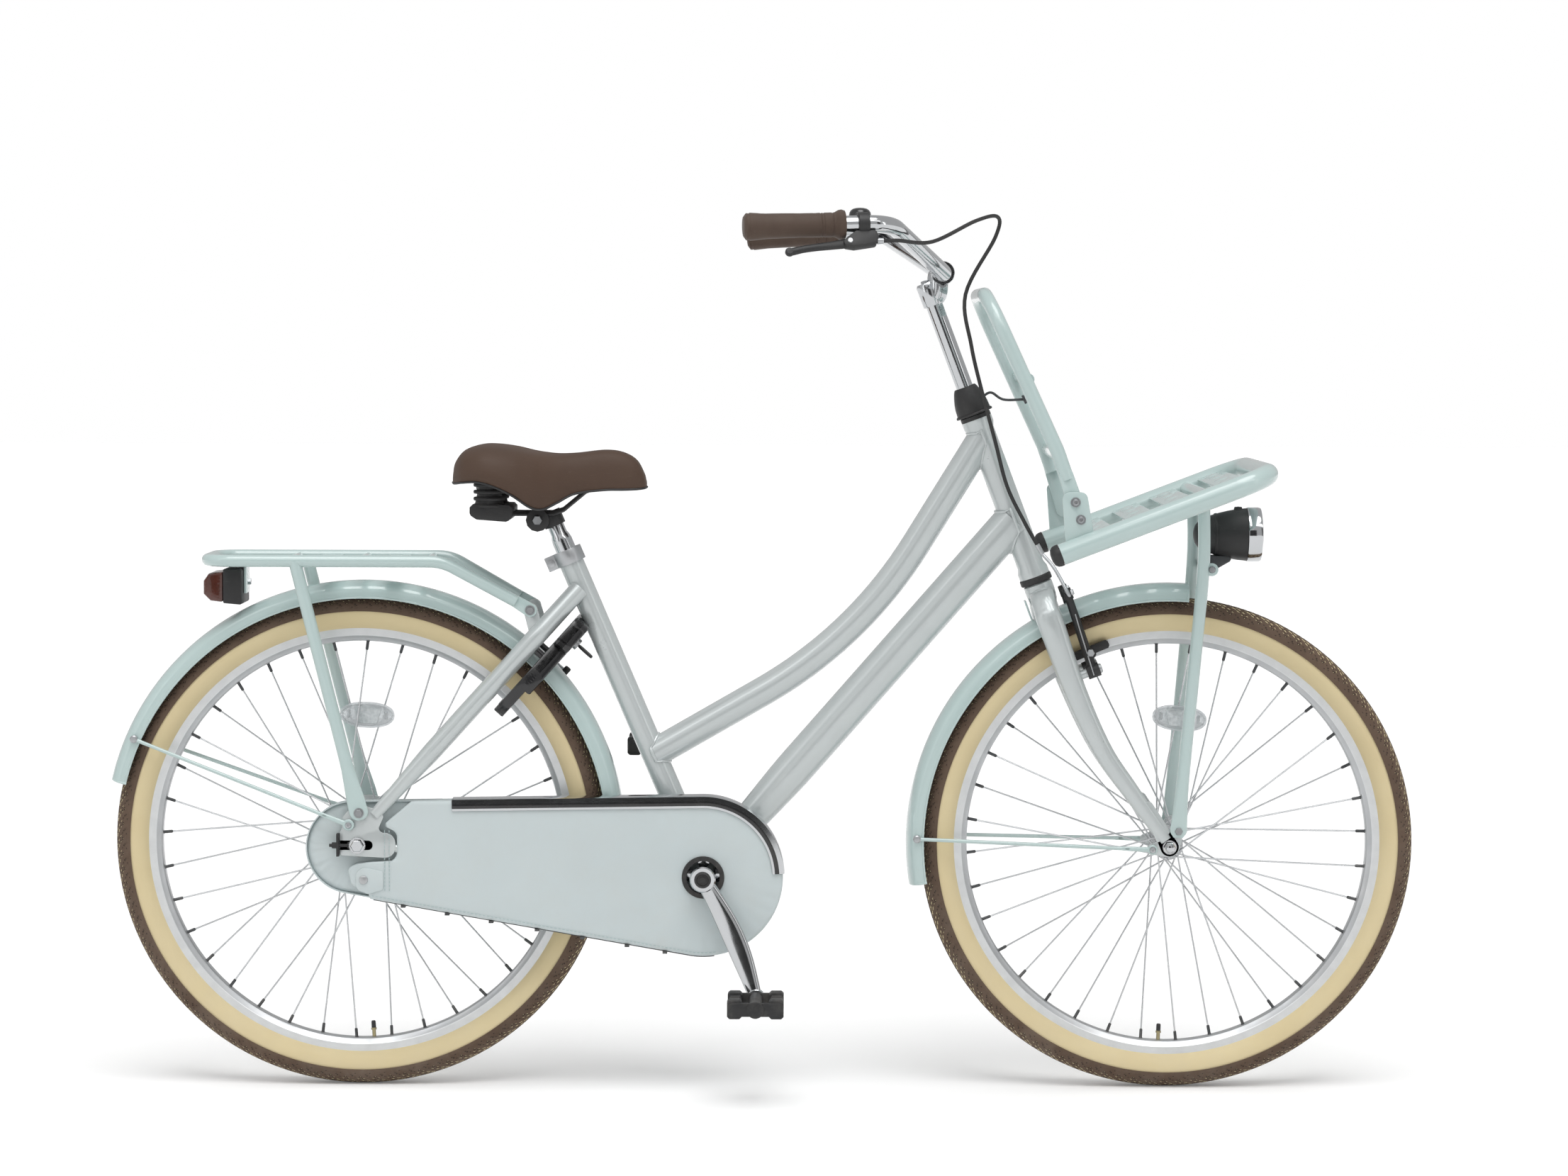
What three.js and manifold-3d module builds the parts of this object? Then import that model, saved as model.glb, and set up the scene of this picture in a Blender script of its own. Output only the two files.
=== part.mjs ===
// A dutch city bike with 26 inch wheels, made of separate pieces. Lengths are in millimetres.
// X points forward, Y to the rider's left and Z up. Places are measured from the rear axle along X,
// from the middle plane along Y and from the ground along Z. The last group moves the origin to the
// middle of the footprint.
import * as THREE from 'three';
import { mergeVertices } from 'three/addons/utils/BufferGeometryUtils.js';
import Module from 'manifold-3d';

const wasm = await Module();
wasm.setup();

const { PI, cos, sin, tan, sqrt, hypot, atan2, acos, ceil, abs } = Math;
const radians = THREE.MathUtils.degToRad;
const point = (x, y, z) => new THREE.Vector3(x, y, z);
const right = -1;
const left = 1;

// Fits and cuts
const clearance = 0.3;
const overrun = 3;
const weldDepth = 1;
const smallest = 0.05;

// Wheels: 26 x 1.75 tyres on 559 mm rims, 36 spokes laced three cross
const wheel = {
  base: 1068.5, tyreRadius: 326.5, tyreWidth: 47, steps: 32, spokes: 36, crosses: 3,
  rimInnerRadius: 265, rimOuterRadius: 285.5, rimWidth: 24, rimNeckWidth: 15.2, rimFlange: 1.6, rimWellDepth: 7,
  rimBevel: 1.4, rimTrackRadius: 272,
  spokeRadius: 1.1, nippleSpread: 3,
};
const rearHub = { flangeRadius: 31, holeRadius: 27.5, flangeSpacing: 60, flangeThickness: 2.6, barrelRadius: 21, length: 66, bore: 7 };
const frontHub = { flangeRadius: 19.5, holeRadius: 16.5, flangeSpacing: 66, flangeThickness: 2.6, barrelRadius: 11, length: 76, bore: 6 };

// Frame
const bottomBracket = { x: 454.5, z: 286, shellRadius: 21, shellLength: 68, shellBore: 17.4 };
const seatTube = { angle: radians(66.7), radius: 16.5, length: 464, bore: 13.9, boreDepth: 230 };
const headTube = { topX: 813, topZ: 888, angle: radians(69.3), length: 222, radius: 18, bore: 14.6 };
const topTube = { radius: 19.5, seatJoint: 170, kneeX: 658, kneeZ: 598.5, kneeRadius: 575, headJoint: 25 };
const downTube = { depth: 51, width: 46, neckDepth: 43, neckStart: 70, neckEnd: 190, headJoint: 142.5 };
const dropout = { inner: 60, thickness: 5, rear: -23.5, front: 50, bottom: 309, top: 343, slotWidth: 10.6, slotEnd: 19, cornerRadius: 4, noseRadius: 15 };
const seatStay = { footX: 22, footZ: 366, footY: 62.5, footRadius: 7.5, radius: 12.6, bendShare: 0.8, bendY: 44, topX: 289, topZ: 662, topY: 17, taperShare: 0.28 };
const chainStay = { height: 9, halfWidth: 6.4, endRadius: 5.4, startY: 25, waistX: 345, waistY: 35.3, endX: 42, endY: 59.2, waistStartX: 392 };
const eyelet = { rackX: 2.4, rackZ: 369.7, stayX: -11.2, stayZ: 353.8, radius: 9, screw: 2.5 };

// Steering: fork, stem, bar
const fork = { rake: 40.5, steererRadius: 12.7, steererBore: 11.4, endThickness: 5, endFrom: 50.2 };
const headset = { cupRadius: 21.5, cupHeight: 9, cupBore: 13.6, lipDepth: 8, upperRadius: 20.4, upperHeight: 6, steererAbove: 22 };
const stem = { quillRadius: 11.1, topZ: 1040, clampX: 767, clampZ: 1080, clampRadius: 15.6, clampWidth: 34, depth: 60, headRadius: 14.4, headFrom: 160, headTo: 192, lugHalf: 6, lugBottom: 1061 };
const bar = { radius: 11.1, bore: 11.4, straight: 32, bendX: 692, bendY: 256, bendZ: 1138, endX: 512, endY: 284, endZ: 1132.5, clampBend: 34, gripBend: 42, leverLeanY: 0.5, leverLeanZ: -0.866 };

const materials = {
  framePaint: { color: 0xcdd2d1, roughness: 0.35, metalness: 0.35 },
  mintPaint: { color: 0xc3d8d4, roughness: 0.35, metalness: 0.1 },
  chrome: { color: 0xd8d8d8, roughness: 0.12, metalness: 1 },
  alloy: { color: 0xb9bbbd, roughness: 0.4, metalness: 0.9 },
  steel: { color: 0x9a9c9e, roughness: 0.45, metalness: 0.9 },
  blackPlastic: { color: 0x1d1d1d, roughness: 0.55, metalness: 0 },
  brownRubber: { color: 0x52413a, roughness: 0.8, metalness: 0 },
  tyreRubber: { color: 0x6e5648, roughness: 0.85, metalness: 0 },
  brownCover: { color: 0x50402f, roughness: 0.7, metalness: 0 },
  vinyl: { color: 0xc4d3d3, roughness: 0.5, metalness: 0 },
  clearPlastic: { color: 0xe6e8e8, roughness: 0.15, metalness: 0 },
  redPlastic: { color: 0xa03024, roughness: 0.2, metalness: 0 },
  cableBlack: { color: 0x222222, roughness: 0.5, metalness: 0 },
};
for (const name of Object.keys(materials)) {
  materials[name] = new THREE.MeshStandardMaterial({ name, ...materials[name] });
}

// Makes a closed solid of a geometry, with its faces pointing out.
function solid(geometry) {
  const source = geometry.index ? geometry.toNonIndexed() : geometry;
  const bare = new THREE.BufferGeometry().setAttribute('position', source.getAttribute('position'));
  const merged = mergeVertices(bare, 1e-3);
  const corners = merged.index.array;
  const kept = [];
  for (let i = 0; i < corners.length; i += 3) {
    const [a, b, c] = [corners[i], corners[i + 1], corners[i + 2]];
    if (a !== b && b !== c && c !== a) kept.push([a, b, c]);
  }
  const build = (faces) => new wasm.Manifold(new wasm.Mesh({
    numProp: 3, vertProperties: merged.getAttribute('position').array, triVerts: new Uint32Array(faces.flat()),
  }));
  const made = build(kept);
  return made.volume() > 0 ? made : build(kept.map(([a, b, c]) => [a, c, b]));
}

const join = (...pieces) => pieces.flat().reduce((whole, piece) => whole.add(piece));
const cut = (base, ...tools) => tools.flat().reduce((rest, tool) => rest.subtract(tool), base);

// A named mesh of a solid.
function piece(name, made, material) {
  const { numProp, vertProperties, triVerts } = made.simplify(smallest).getMesh();
  const positions = new Float32Array((vertProperties.length / numProp) * 3);
  for (let i = 0; i < positions.length / 3; i++) {
    positions.set(vertProperties.subarray(i * numProp, i * numProp + 3), i * 3);
  }
  const geometry = new THREE.BufferGeometry()
    .setAttribute('position', new THREE.BufferAttribute(positions, 3))
    .setIndex(new THREE.BufferAttribute(triVerts, 1));
  geometry.computeVertexNormals();
  const mesh = new THREE.Mesh(geometry, material);
  mesh.name = name;
  return mesh;
}

// The corners of a regular polygon or ellipse, anticlockwise.
function ellipse(radiusX, radiusY, sides, phase = 0) {
  return Array.from({ length: sides }, (_, i) => {
    const angle = phase + (2 * PI * i) / sides;
    return new THREE.Vector2(radiusX * cos(angle), radiusY * sin(angle));
  });
}

// An outline whose corners are rounded, each with the given radius or its own.
function rounded(corners, radius, steps = 3) {
  return corners.flatMap(([x, y], i) => {
    const corner = new THREE.Vector2(x, y);
    const before = new THREE.Vector2(...corners.at(i - 1)).sub(corner).normalize();
    const after = new THREE.Vector2(...corners[(i + 1) % corners.length]).sub(corner).normalize();
    const own = Array.isArray(radius) ? radius[i] : radius;
    const opening = acos(THREE.MathUtils.clamp(before.dot(after), -1, 1));
    if (!own || opening > PI - 0.01) return [corner];
    const reach = own / tan(opening / 2);
    const centre = corner.clone().add(before.clone().add(after).normalize().multiplyScalar(own / sin(opening / 2)));
    const from = corner.clone().addScaledVector(before, reach).sub(centre);
    const to = corner.clone().addScaledVector(after, reach).sub(centre);
    const turn = atan2(from.x * to.y - from.y * to.x, from.dot(to));
    return Array.from({ length: steps + 1 }, (_, k) => {
      return from.clone().rotateAround(new THREE.Vector2(), (turn * k) / steps).add(centre);
    });
  });
}

// The outline round two circles, as a belt lies round two pulleys.
function belt(a, radiusA, b, radiusB, steps = 12) {
  const along = b.clone().sub(a);
  const heading = along.angle();
  const lean = acos((radiusA - radiusB) / along.length());
  const outline = [];
  for (let k = 0; k <= steps; k++) {
    const angle = heading + lean + ((2 * PI - 2 * lean) * k) / steps;
    outline.push(new THREE.Vector2(radiusA * cos(angle), radiusA * sin(angle)).add(a));
  }
  for (let k = 0; k <= steps; k++) {
    const angle = heading - lean + (2 * lean * k) / steps;
    outline.push(new THREE.Vector2(radiusB * cos(angle), radiusB * sin(angle)).add(b));
  }
  return outline;
}

// A plate with an outline in X and Z, between two places along Y.
function plate(outline, fromY, toY) {
  const corners = outline.map((p) => (p.isVector2 ? p : new THREE.Vector2(...p)));
  const geometry = new THREE.ExtrudeGeometry(new THREE.Shape(corners), { depth: toY - fromY, bevelEnabled: false });
  return solid(geometry.rotateX(PI / 2).translate(0, toY, 0));
}

function block(fromX, toX, fromY, toY, fromZ, toZ) {
  const geometry = new THREE.BoxGeometry(toX - fromX, toY - fromY, toZ - fromZ);
  return solid(geometry.translate((fromX + toX) / 2, (fromY + toY) / 2, (fromZ + toZ) / 2));
}

// Turns a geometry that stands along Y so that it stands along a direction at a place.
function standAlong(geometry, at, direction) {
  const turn = new THREE.Quaternion().setFromUnitVectors(point(0, 1, 0), direction.clone().normalize());
  return geometry.applyQuaternion(turn).translate(at.x, at.y, at.z);
}

// A straight bar from one point to another, round or tapered.
function rod(from, to, radius, sides = 8, endRadius = radius) {
  const along = to.clone().sub(from);
  const geometry = new THREE.CylinderGeometry(endRadius, radius, along.length(), sides);
  return solid(standAlong(geometry, from.clone().lerp(to, 0.5), along));
}

// A turned piece: a closed profile of radius and height, standing on a place along a direction.
function turned(profile, at, direction = point(0, 1, 0), sides = 24) {
  const corners = profile.map(([radius, height]) => new THREE.Vector2(radius, height));
  if (corners[0].x > 0 || corners.at(-1).x > 0) corners.push(corners[0].clone());
  return solid(standAlong(new THREE.LatheGeometry(corners, sides), at, direction));
}

// A route through chosen stations. Stations stay where they are, so straight runs take one step.
class Route extends THREE.Curve {
  constructor(stations) {
    super();
    this.stations = stations;
  }

  getPoint(t) {
    const at = t * (this.stations.length - 1);
    const index = Math.min(Math.floor(at + 1e-9), this.stations.length - 2);
    return this.stations[index].clone().lerp(this.stations[index + 1], at - index);
  }

  getPointAt(u) {
    return this.getPoint(u);
  }

  getTangentAt(u) {
    const last = this.stations.length - 1;
    const index = Math.round(u * last);
    const before = this.stations[Math.max(index - 1, 0)];
    const here = this.stations[index];
    const after = this.stations[Math.min(index + 1, last)];
    const into = here.clone().sub(before).normalize();
    const out = after.clone().sub(here).normalize();
    return into.add(out).normalize();
  }
}

// The stations of a bent tube: straight runs, and an arc at each corner between them.
function bent(corners, radius, stepAngle = radians(12)) {
  const stations = [corners[0].clone()];
  for (let i = 1; i < corners.length - 1; i++) {
    const corner = corners[i];
    const back = corners[i - 1].clone().sub(corner).normalize();
    const ahead = corners[i + 1].clone().sub(corner).normalize();
    const turn = PI - back.angleTo(ahead);
    const own = Array.isArray(radius) ? radius[i - 1] : radius;
    const centre = corner.clone().add(back.clone().add(ahead).normalize().multiplyScalar(own / cos(turn / 2)));
    const from = corner.clone().addScaledVector(back, own * tan(turn / 2)).sub(centre);
    const heading = back.clone().negate();
    const steps = Math.max(1, ceil(turn / stepAngle));
    for (let k = 0; k <= steps; k++) {
      const angle = (turn * k) / steps;
      stations.push(centre.clone().addScaledVector(from, cos(angle)).addScaledVector(heading, own * sin(angle)));
    }
  }
  stations.push(corners.at(-1).clone());
  return stations;
}

// A round tube along stations.
function tube(stations, radius, sides = 10) {
  const shape = new THREE.Shape(ellipse(radius, radius, sides));
  const path = new Route(stations);
  return solid(new THREE.ExtrudeGeometry(shape, { steps: stations.length - 1, bevelEnabled: false, extrudePath: path }));
}

// Frames along stations: where the section's own axes point at each of them.
function framesAlong(stations, across) {
  const path = new Route(stations);
  const carried = across.clone();
  return stations.map((at, i) => {
    const heading = path.getTangentAt(i / (stations.length - 1));
    carried.addScaledVector(heading, -carried.dot(heading)).normalize();
    return { at, x: carried.clone(), y: heading.clone().cross(carried) };
  });
}

// A skin through sections that may change along the way. Open ends are closed flat.
function loft(frames, sectionAt, closed = false) {
  const sections = frames.map((_, i) => sectionAt(i));
  const rings = frames.map(({ at, x, y }, i) => {
    return sections[i].map((p) => at.clone().addScaledVector(x, p.x).addScaledVector(y, p.y));
  });
  const positions = [];
  const face = (a, b, c) => positions.push(...a, ...b, ...c);
  const spans = closed ? rings.length : rings.length - 1;
  for (let i = 0; i < spans; i++) {
    const ring = rings[i];
    const next = rings[(i + 1) % rings.length];
    ring.forEach((corner, j) => {
      const k = (j + 1) % ring.length;
      face(corner, next[j], next[k]);
      face(corner, next[k], ring[k]);
    });
  }
  const cap = (section, ring, flip) => {
    const way = Math.sign(THREE.ShapeUtils.area(section)) * (flip ? -1 : 1);
    for (const [a, b, c] of THREE.ShapeUtils.triangulateShape(section, [])) {
      const turn = Math.sign(THREE.ShapeUtils.area([section[a], section[b], section[c]]));
      if (turn === way) face(ring[a], ring[b], ring[c]);
      else face(ring[a], ring[c], ring[b]);
    }
  };
  if (!closed) {
    cap(sections[0], rings[0], false);
    cap(sections.at(-1), rings.at(-1), true);
  }
  return solid(new THREE.BufferGeometry().setAttribute('position', new THREE.Float32BufferAttribute(positions, 3)));
}

// A bar whose round or oval section changes from station to station.
function tapered(stations, radii, sides = 12, across = point(0, 1, 0)) {
  return loft(framesAlong(stations, across), (i) => ellipse(...radii[i], sides));
}

// A prism with an outline in its own two axes, between two places along the third.
function slab(outline, origin, xAxis, yAxis, from, to) {
  const corners = outline.map((p) => (p.isVector2 ? p : new THREE.Vector2(...p)));
  const geometry = new THREE.ExtrudeGeometry(new THREE.Shape(corners), { depth: to - from, bevelEnabled: false });
  const zAxis = xAxis.clone().cross(yAxis);
  const place = new THREE.Matrix4().makeBasis(xAxis, yAxis, zAxis).setPosition(origin);
  return solid(geometry.translate(0, 0, from).applyMatrix4(place));
}

// The radius of a polygon's corners that keeps its flat sides at the given radius.
const around = (radius, sides) => radius / cos(PI / sides);

// A hole, at least as wide everywhere as its radius says.
const bore = (from, to, radius, sides = 8) => rod(from, to, around(radius, sides), sides);
const eyeHole = (x, z, radius, fromY, toY, sides = 6) => bore(point(x, fromY, z), point(x, toY, z), radius, sides);

// A washer or disc standing across Y.
const disc = (x, z, radius, fromY, toY, sides = 8) => rod(point(x, fromY, z), point(x, toY, z), radius, sides);

// A copy on the other side of the bike.
const mirrored = (made) => made.mirror([0, 1, 0]);
const bothSides = (made) => [made, mirrored(made)];

// Lines that several pieces share
const seatDirection = point(-cos(seatTube.angle), 0, sin(seatTube.angle));
const bracketCentre = point(bottomBracket.x, 0, bottomBracket.z);
const alongSeatTube = (distance) => bracketCentre.clone().addScaledVector(seatDirection, distance);
const headDirection = point(-cos(headTube.angle), 0, sin(headTube.angle));
const headForward = point(sin(headTube.angle), 0, cos(headTube.angle));
const headTop = point(headTube.topX, 0, headTube.topZ);
const headBottom = headTop.clone().addScaledVector(headDirection, -headTube.length);
const frontAxle = point(wheel.base, 0, wheel.tyreRadius);
const rearAxle = point(0, 0, wheel.tyreRadius);
// A place on the steering body: how far below the head tube, how far forward of its axis, and how far to the side.
const onFork = (below, forward, side = 0) => headBottom.clone()
  .addScaledVector(headDirection, -below).addScaledVector(headForward, forward).setY(side);
const forkSpan = frontAxle.clone().sub(headBottom).dot(headDirection.clone().negate());

// Wheel pieces, made round the origin with the axle along Y

function tyre() {
  const { tyreRadius, tyreWidth, rimWidth, rimFlange, rimOuterRadius, rimWellDepth, steps } = wheel;
  const casing = tyreWidth / 2;
  const bead = rimWidth / 2 - rimFlange - clearance;
  const seat = rimOuterRadius - rimWellDepth + clearance;
  const mid = tyreRadius - casing;
  const sidewall = [-18, 36].map(radians).map((angle) => [mid + casing * sin(angle), casing * cos(angle)]);
  const crown = casing * cos(radians(74));
  const upper = [[seat, bead], [rimOuterRadius + clearance, bead], ...sidewall, [tyreRadius, crown]];
  const lower = upper.map(([radius, height]) => [radius, -height]).reverse();
  return turned([...upper, ...lower], point(0, 0, 0), point(0, 1, 0), steps);
}

function rim() {
  const { rimInnerRadius, rimTrackRadius, rimOuterRadius, rimWidth, rimNeckWidth, rimBevel, rimFlange, rimWellDepth, steps } = wheel;
  const half = rimWidth / 2;
  const neck = rimNeckWidth / 2;
  const upper = [
    [rimInnerRadius, neck - rimBevel],
    [rimInnerRadius + rimBevel, neck],
    [rimTrackRadius, half],
    [rimOuterRadius, half],
    [rimOuterRadius, half - rimFlange],
    [rimOuterRadius - rimWellDepth, half - rimFlange],
  ];
  const profile = [...upper, ...upper.map(([radius, height]) => [radius, -height]).reverse()];
  return turned(profile, point(0, 0, 0), point(0, 1, 0), steps);
}

// One spoke, from a hole in the flange to the rim.
function spoke(hub, side, hole, phase) {
  const { spokes, crosses, spokeRadius, nippleSpread, rimInnerRadius, steps } = wheel;
  const pitch = (2 * PI) / spokes;
  const leading = hole % 2 === 0 ? 1 : -1;
  const holeAngle = phase + pitch * (2 * hole + (side > 0 ? 0 : 1));
  const rimAngle = holeAngle + leading * crosses * 2 * pitch;
  const offset = leading * (hub.flangeThickness / 2 + spokeRadius * 0.6);
  const start = point(hub.holeRadius * cos(holeAngle), side * (hub.flangeSpacing / 2 + offset), hub.holeRadius * sin(holeAngle));
  const reach = rimInnerRadius * cos(PI / steps) - clearance;
  const end = point(reach * cos(rimAngle), side * nippleSpread, reach * sin(rimAngle));
  return rod(start, end, spokeRadius, 3);
}

// The hub shell with its laced spokes.
function lacedHub(hub, phase) {
  const half = hub.length / 2;
  const face = hub.flangeSpacing / 2;
  const flange = hub.flangeThickness / 2;
  const upper = [
    [hub.bore, half], [hub.barrelRadius, half], [hub.barrelRadius, face + flange], [hub.flangeRadius, face + flange],
    [hub.flangeRadius, face - flange], [hub.barrelRadius, face - flange],
  ];
  const profile = [...upper, ...upper.map(([radius, height]) => [radius, -height]).reverse()];
  const shell = turned(profile, point(0, 0, 0), point(0, 1, 0), 10);
  const spokes = [];
  for (const side of [left, right]) {
    for (let hole = 0; hole < wheel.spokes / 2; hole++) spokes.push(spoke(hub, side, hole, phase));
  }
  return join(shell, spokes);
}

const valve = { radius: 3, stemRadius: 2.2, length: 34, capLength: 10 };

// The valve stands through the rim at the bottom of the wheel, so the rim and the tyre have a hole for it.
function valveSolid(angle) {
  const inward = point(-cos(angle), 0, -sin(angle));
  const base = point(cos(angle), 0, sin(angle)).multiplyScalar(wheel.rimOuterRadius - wheel.rimWellDepth - weldDepth);
  const neck = base.clone().addScaledVector(inward, valve.length - valve.capLength);
  return join(
    rod(base, neck.clone().addScaledVector(inward, weldDepth), valve.stemRadius, 8),
    rod(neck, base.clone().addScaledVector(inward, valve.length), valve.radius, 8),
  );
}

function valveHole(angle) {
  const out = point(cos(angle), 0, sin(angle));
  const inner = out.clone().multiplyScalar(wheel.rimInnerRadius - overrun);
  const outer = out.clone().multiplyScalar(wheel.rimOuterRadius - wheel.rimWellDepth + overrun);
  return rod(inner, outer, valve.stemRadius + clearance, 8);
}

const reflector = { width: 72, height: 34, thickness: 5, distance: 167, sides: 12 };
// How far from the middle plane the inner spokes lie at a distance from the axle.
function spokeAside(hub, distance) {
  const turn = (wheel.crosses * 4 * PI) / wheel.spokes;
  const start = new THREE.Vector2(hub.holeRadius, 0);
  const way = new THREE.Vector2(wheel.rimInnerRadius * cos(turn), wheel.rimInnerRadius * sin(turn)).sub(start);
  const a = way.lengthSq();
  const b = start.dot(way);
  const share = (sqrt(b * b - a * (start.lengthSq() - distance * distance)) - b) / a;
  const inner = hub.flangeSpacing / 2 - hub.flangeThickness / 2;
  return inner + (wheel.nippleSpread - inner) * share;
}

// Name, turn of the lacing, valve and reflector for each wheel
const wheelSpots = { rear: [radians(-1.8), radians(-86.8), radians(87.4)], front: [radians(3.3), radians(-91.7), radians(84.6)] };

// An oval reflector that lies against the right-hand spokes from inside.
function reflectorSolid(hub, angle) {
  const reach = spokeAside(hub, reflector.distance + reflector.height / 2) - wheel.spokeRadius / 2 - clearance;
  const sideY = right * (reach - reflector.thickness / 2);
  const out = new THREE.Vector2(cos(angle), sin(angle));
  const centre = out.clone().multiplyScalar(reflector.distance);
  const outline = ellipse(reflector.width / 2, reflector.height / 2, reflector.sides).map((p) => {
    return p.rotateAround(new THREE.Vector2(), angle - PI / 2).add(centre);
  });
  return plate(outline, sideY - reflector.thickness / 2, sideY + reflector.thickness / 2);
}

// Frame pieces

const frameDetails = {
  bridgeRadius: 6, seatBridge: 0.79, chainBridgeX: 366, chainBridgeRadius: 6, tabInner: 39, tabOuter: 43.8,
  tabX: 226, tabZ: 636, tabRadius: 10, tabShare: 0.8, headRing: 20.5, headRingHeight: 12,
};

// The seat stay's place along its length, as a share from its foot to its top.
function stayPoint(share) {
  const { footX, footZ, footY, topX, topZ, topY, bendShare, bendY } = seatStay;
  const y = share < bendShare ? footY + (bendY - footY) * (share / bendShare)
    : bendY + (topY - bendY) * ((share - bendShare) / (1 - bendShare));
  return point(footX + (topX - footX) * share, y, footZ + (topZ - footZ) * share);
}

function seatStaySolid() {
  const { footRadius, radius, taperShare, bendShare } = seatStay;
  const shares = [0, taperShare, bendShare, 1];
  const radii = shares.map((share) => footRadius + (radius - footRadius) * Math.min(1, share / taperShare));
  return tapered(shares.map(stayPoint), radii.map((r) => [r, r]), 8);
}

// The height of the chain stays at a place along X.
const stayHeight = (x) => bottomBracket.z + (wheel.tyreRadius - bottomBracket.z) * (1 - x / bottomBracket.x);

function chainStaySolid() {
  const { height, halfWidth, endRadius, startY, waistX, waistY, waistStartX, endX, endY } = chainStay;
  const on = (x, y) => point(x, y, stayHeight(x));
  const stations = [
    on(bottomBracket.x - bottomBracket.shellRadius / 2, startY), on(waistStartX, waistY - 1.5 * weldDepth),
    on(waistX, waistY), on((waistX + endX) / 2, (waistY + endY) / 2),
    on(endX + 3 * height, endY - weldDepth), on(endX, endY),
  ];
  const radii = [height, height, height, height, height * 0.8, endRadius];
  return tapered(stations, radii.map((r, i) => [i < 4 ? halfWidth : endRadius, r]), 8);
}

function dropoutSolid() {
  const { inner, thickness, rear, front, bottom, top, slotWidth, slotEnd, cornerRadius, noseRadius } = dropout;
  const { rackX, rackZ, stayX, stayZ, radius } = eyelet;
  const axleZ = wheel.tyreRadius;
  const outline = rounded([
    [rear, bottom + cornerRadius], [front, bottom], [front, top], [front / 2, top],
    [seatStay.footX + radius * 1.5, seatStay.footZ], [seatStay.footX, seatStay.footZ + radius],
    [rackX + radius / 2, rackZ + radius], [rackX - radius, rackZ + radius],
    [stayX - radius, stayZ + radius], [stayX - radius, stayZ - radius / 2], [rear, top],
  ], [cornerRadius, noseRadius, noseRadius, ...Array(8).fill(cornerRadius)], 1);
  const slot = join(
    block(rear - overrun, slotEnd - slotWidth / 2, inner - overrun, inner + thickness + overrun, axleZ - slotWidth / 2, axleZ + slotWidth / 2),
    rod(point(slotEnd - slotWidth / 2, inner - overrun, axleZ), point(slotEnd - slotWidth / 2, inner + thickness + overrun, axleZ), slotWidth / 2, 8),
  );
  const holes = [[rackX, rackZ], [stayX, stayZ]].map(([x, z]) => {
    return eyeHole(x, z, eyelet.screw + clearance, inner - overrun, inner + thickness + overrun);
  });
  return cut(plate(outline, inner, inner + thickness), slot, holes);
}

// The tab on the seat stay that carries the front end of the rear rack.
function rackTabSolid() {
  const { tabX, tabZ, tabRadius, tabInner, tabOuter, tabShare } = frameDetails;
  const foot = stayPoint(tabShare);
  return plate(belt(new THREE.Vector2(foot.x, foot.z), tabRadius, new THREE.Vector2(tabX, tabZ), tabRadius * 0.9, 3), tabInner, tabOuter);
}

function frameSolid() {
  const { shellRadius, shellLength, shellBore } = bottomBracket;
  const half = shellLength / 2;
  const shell = rod(bracketCentre.clone().setY(-half), bracketCentre.clone().setY(half), shellRadius, 14);
  const seat = rod(bracketCentre, alongSeatTube(seatTube.length), seatTube.radius, 12);
  const head = rod(headBottom, headTop, headTube.radius, 12);
  const rings = [[headBottom, 1], [headTop, -1]].map(([at, way]) => {
    const end = at.clone().addScaledVector(headDirection, way * frameDetails.headRingHeight);
    return rod(at, end, frameDetails.headRing, 12);
  });
  const knee = point(topTube.kneeX, 0, topTube.kneeZ);
  const top = tube(bent([
    alongSeatTube(topTube.seatJoint), knee, headTop.clone().addScaledVector(headDirection, -topTube.headJoint),
  ], topTube.kneeRadius, radians(8)), topTube.radius, 8);
  const downTop = headTop.clone().addScaledVector(headDirection, -downTube.headJoint);
  const downWay = downTop.clone().sub(bracketCentre).normalize();
  const alongDown = (distance) => bracketCentre.clone().addScaledVector(downWay, distance);
  const down = tapered(
    [bracketCentre, alongDown(downTube.neckStart), alongDown(downTube.neckEnd), downTop],
    [downTube.neckDepth, downTube.neckDepth, downTube.depth, downTube.depth].map((depth) => [
      downTube.width * (depth / downTube.depth) / 2, depth / 2]), 8);
  const seatBridge = stayPoint(frameDetails.seatBridge);
  const bridge = rod(seatBridge.clone().setY(-seatStay.bendY), seatBridge.clone().setY(seatStay.bendY), frameDetails.bridgeRadius, 6);
  const chainBridgeZ = stayHeight(frameDetails.chainBridgeX);
  const chainBridge = rod(
    point(frameDetails.chainBridgeX, -chainStay.waistY, chainBridgeZ),
    point(frameDetails.chainBridgeX, chainStay.waistY, chainBridgeZ), frameDetails.chainBridgeRadius, 6);
  const sides = [seatStaySolid(), chainStaySolid(), dropoutSolid(), rackTabSolid()].flatMap(bothSides);
  const whole = join(shell, seat, head, rings, top, down, bridge, chainBridge, sides, standPlateSolid());
  const seatBoreFrom = alongSeatTube(seatTube.length - seatTube.boreDepth);
  return cut(
    whole,
    bore(bracketCentre.clone().setY(-half - overrun), bracketCentre.clone().setY(half + overrun), shellBore, 12),
    bore(seatBoreFrom, alongSeatTube(seatTube.length + overrun), seatTube.bore, 12),
    bore(headBottom.clone().addScaledVector(headDirection, -overrun), headTop.clone().addScaledVector(headDirection, overrun), headTube.bore, 12),
  );
}

// Hidden running parts of the frame

const bearing = {
  cupRadius: 20.6, cupLip: 1.8, spindleBore: 8.6, spindleRadius: 7.6, spindleRight: 92, spindleLeft: 68,
};

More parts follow.
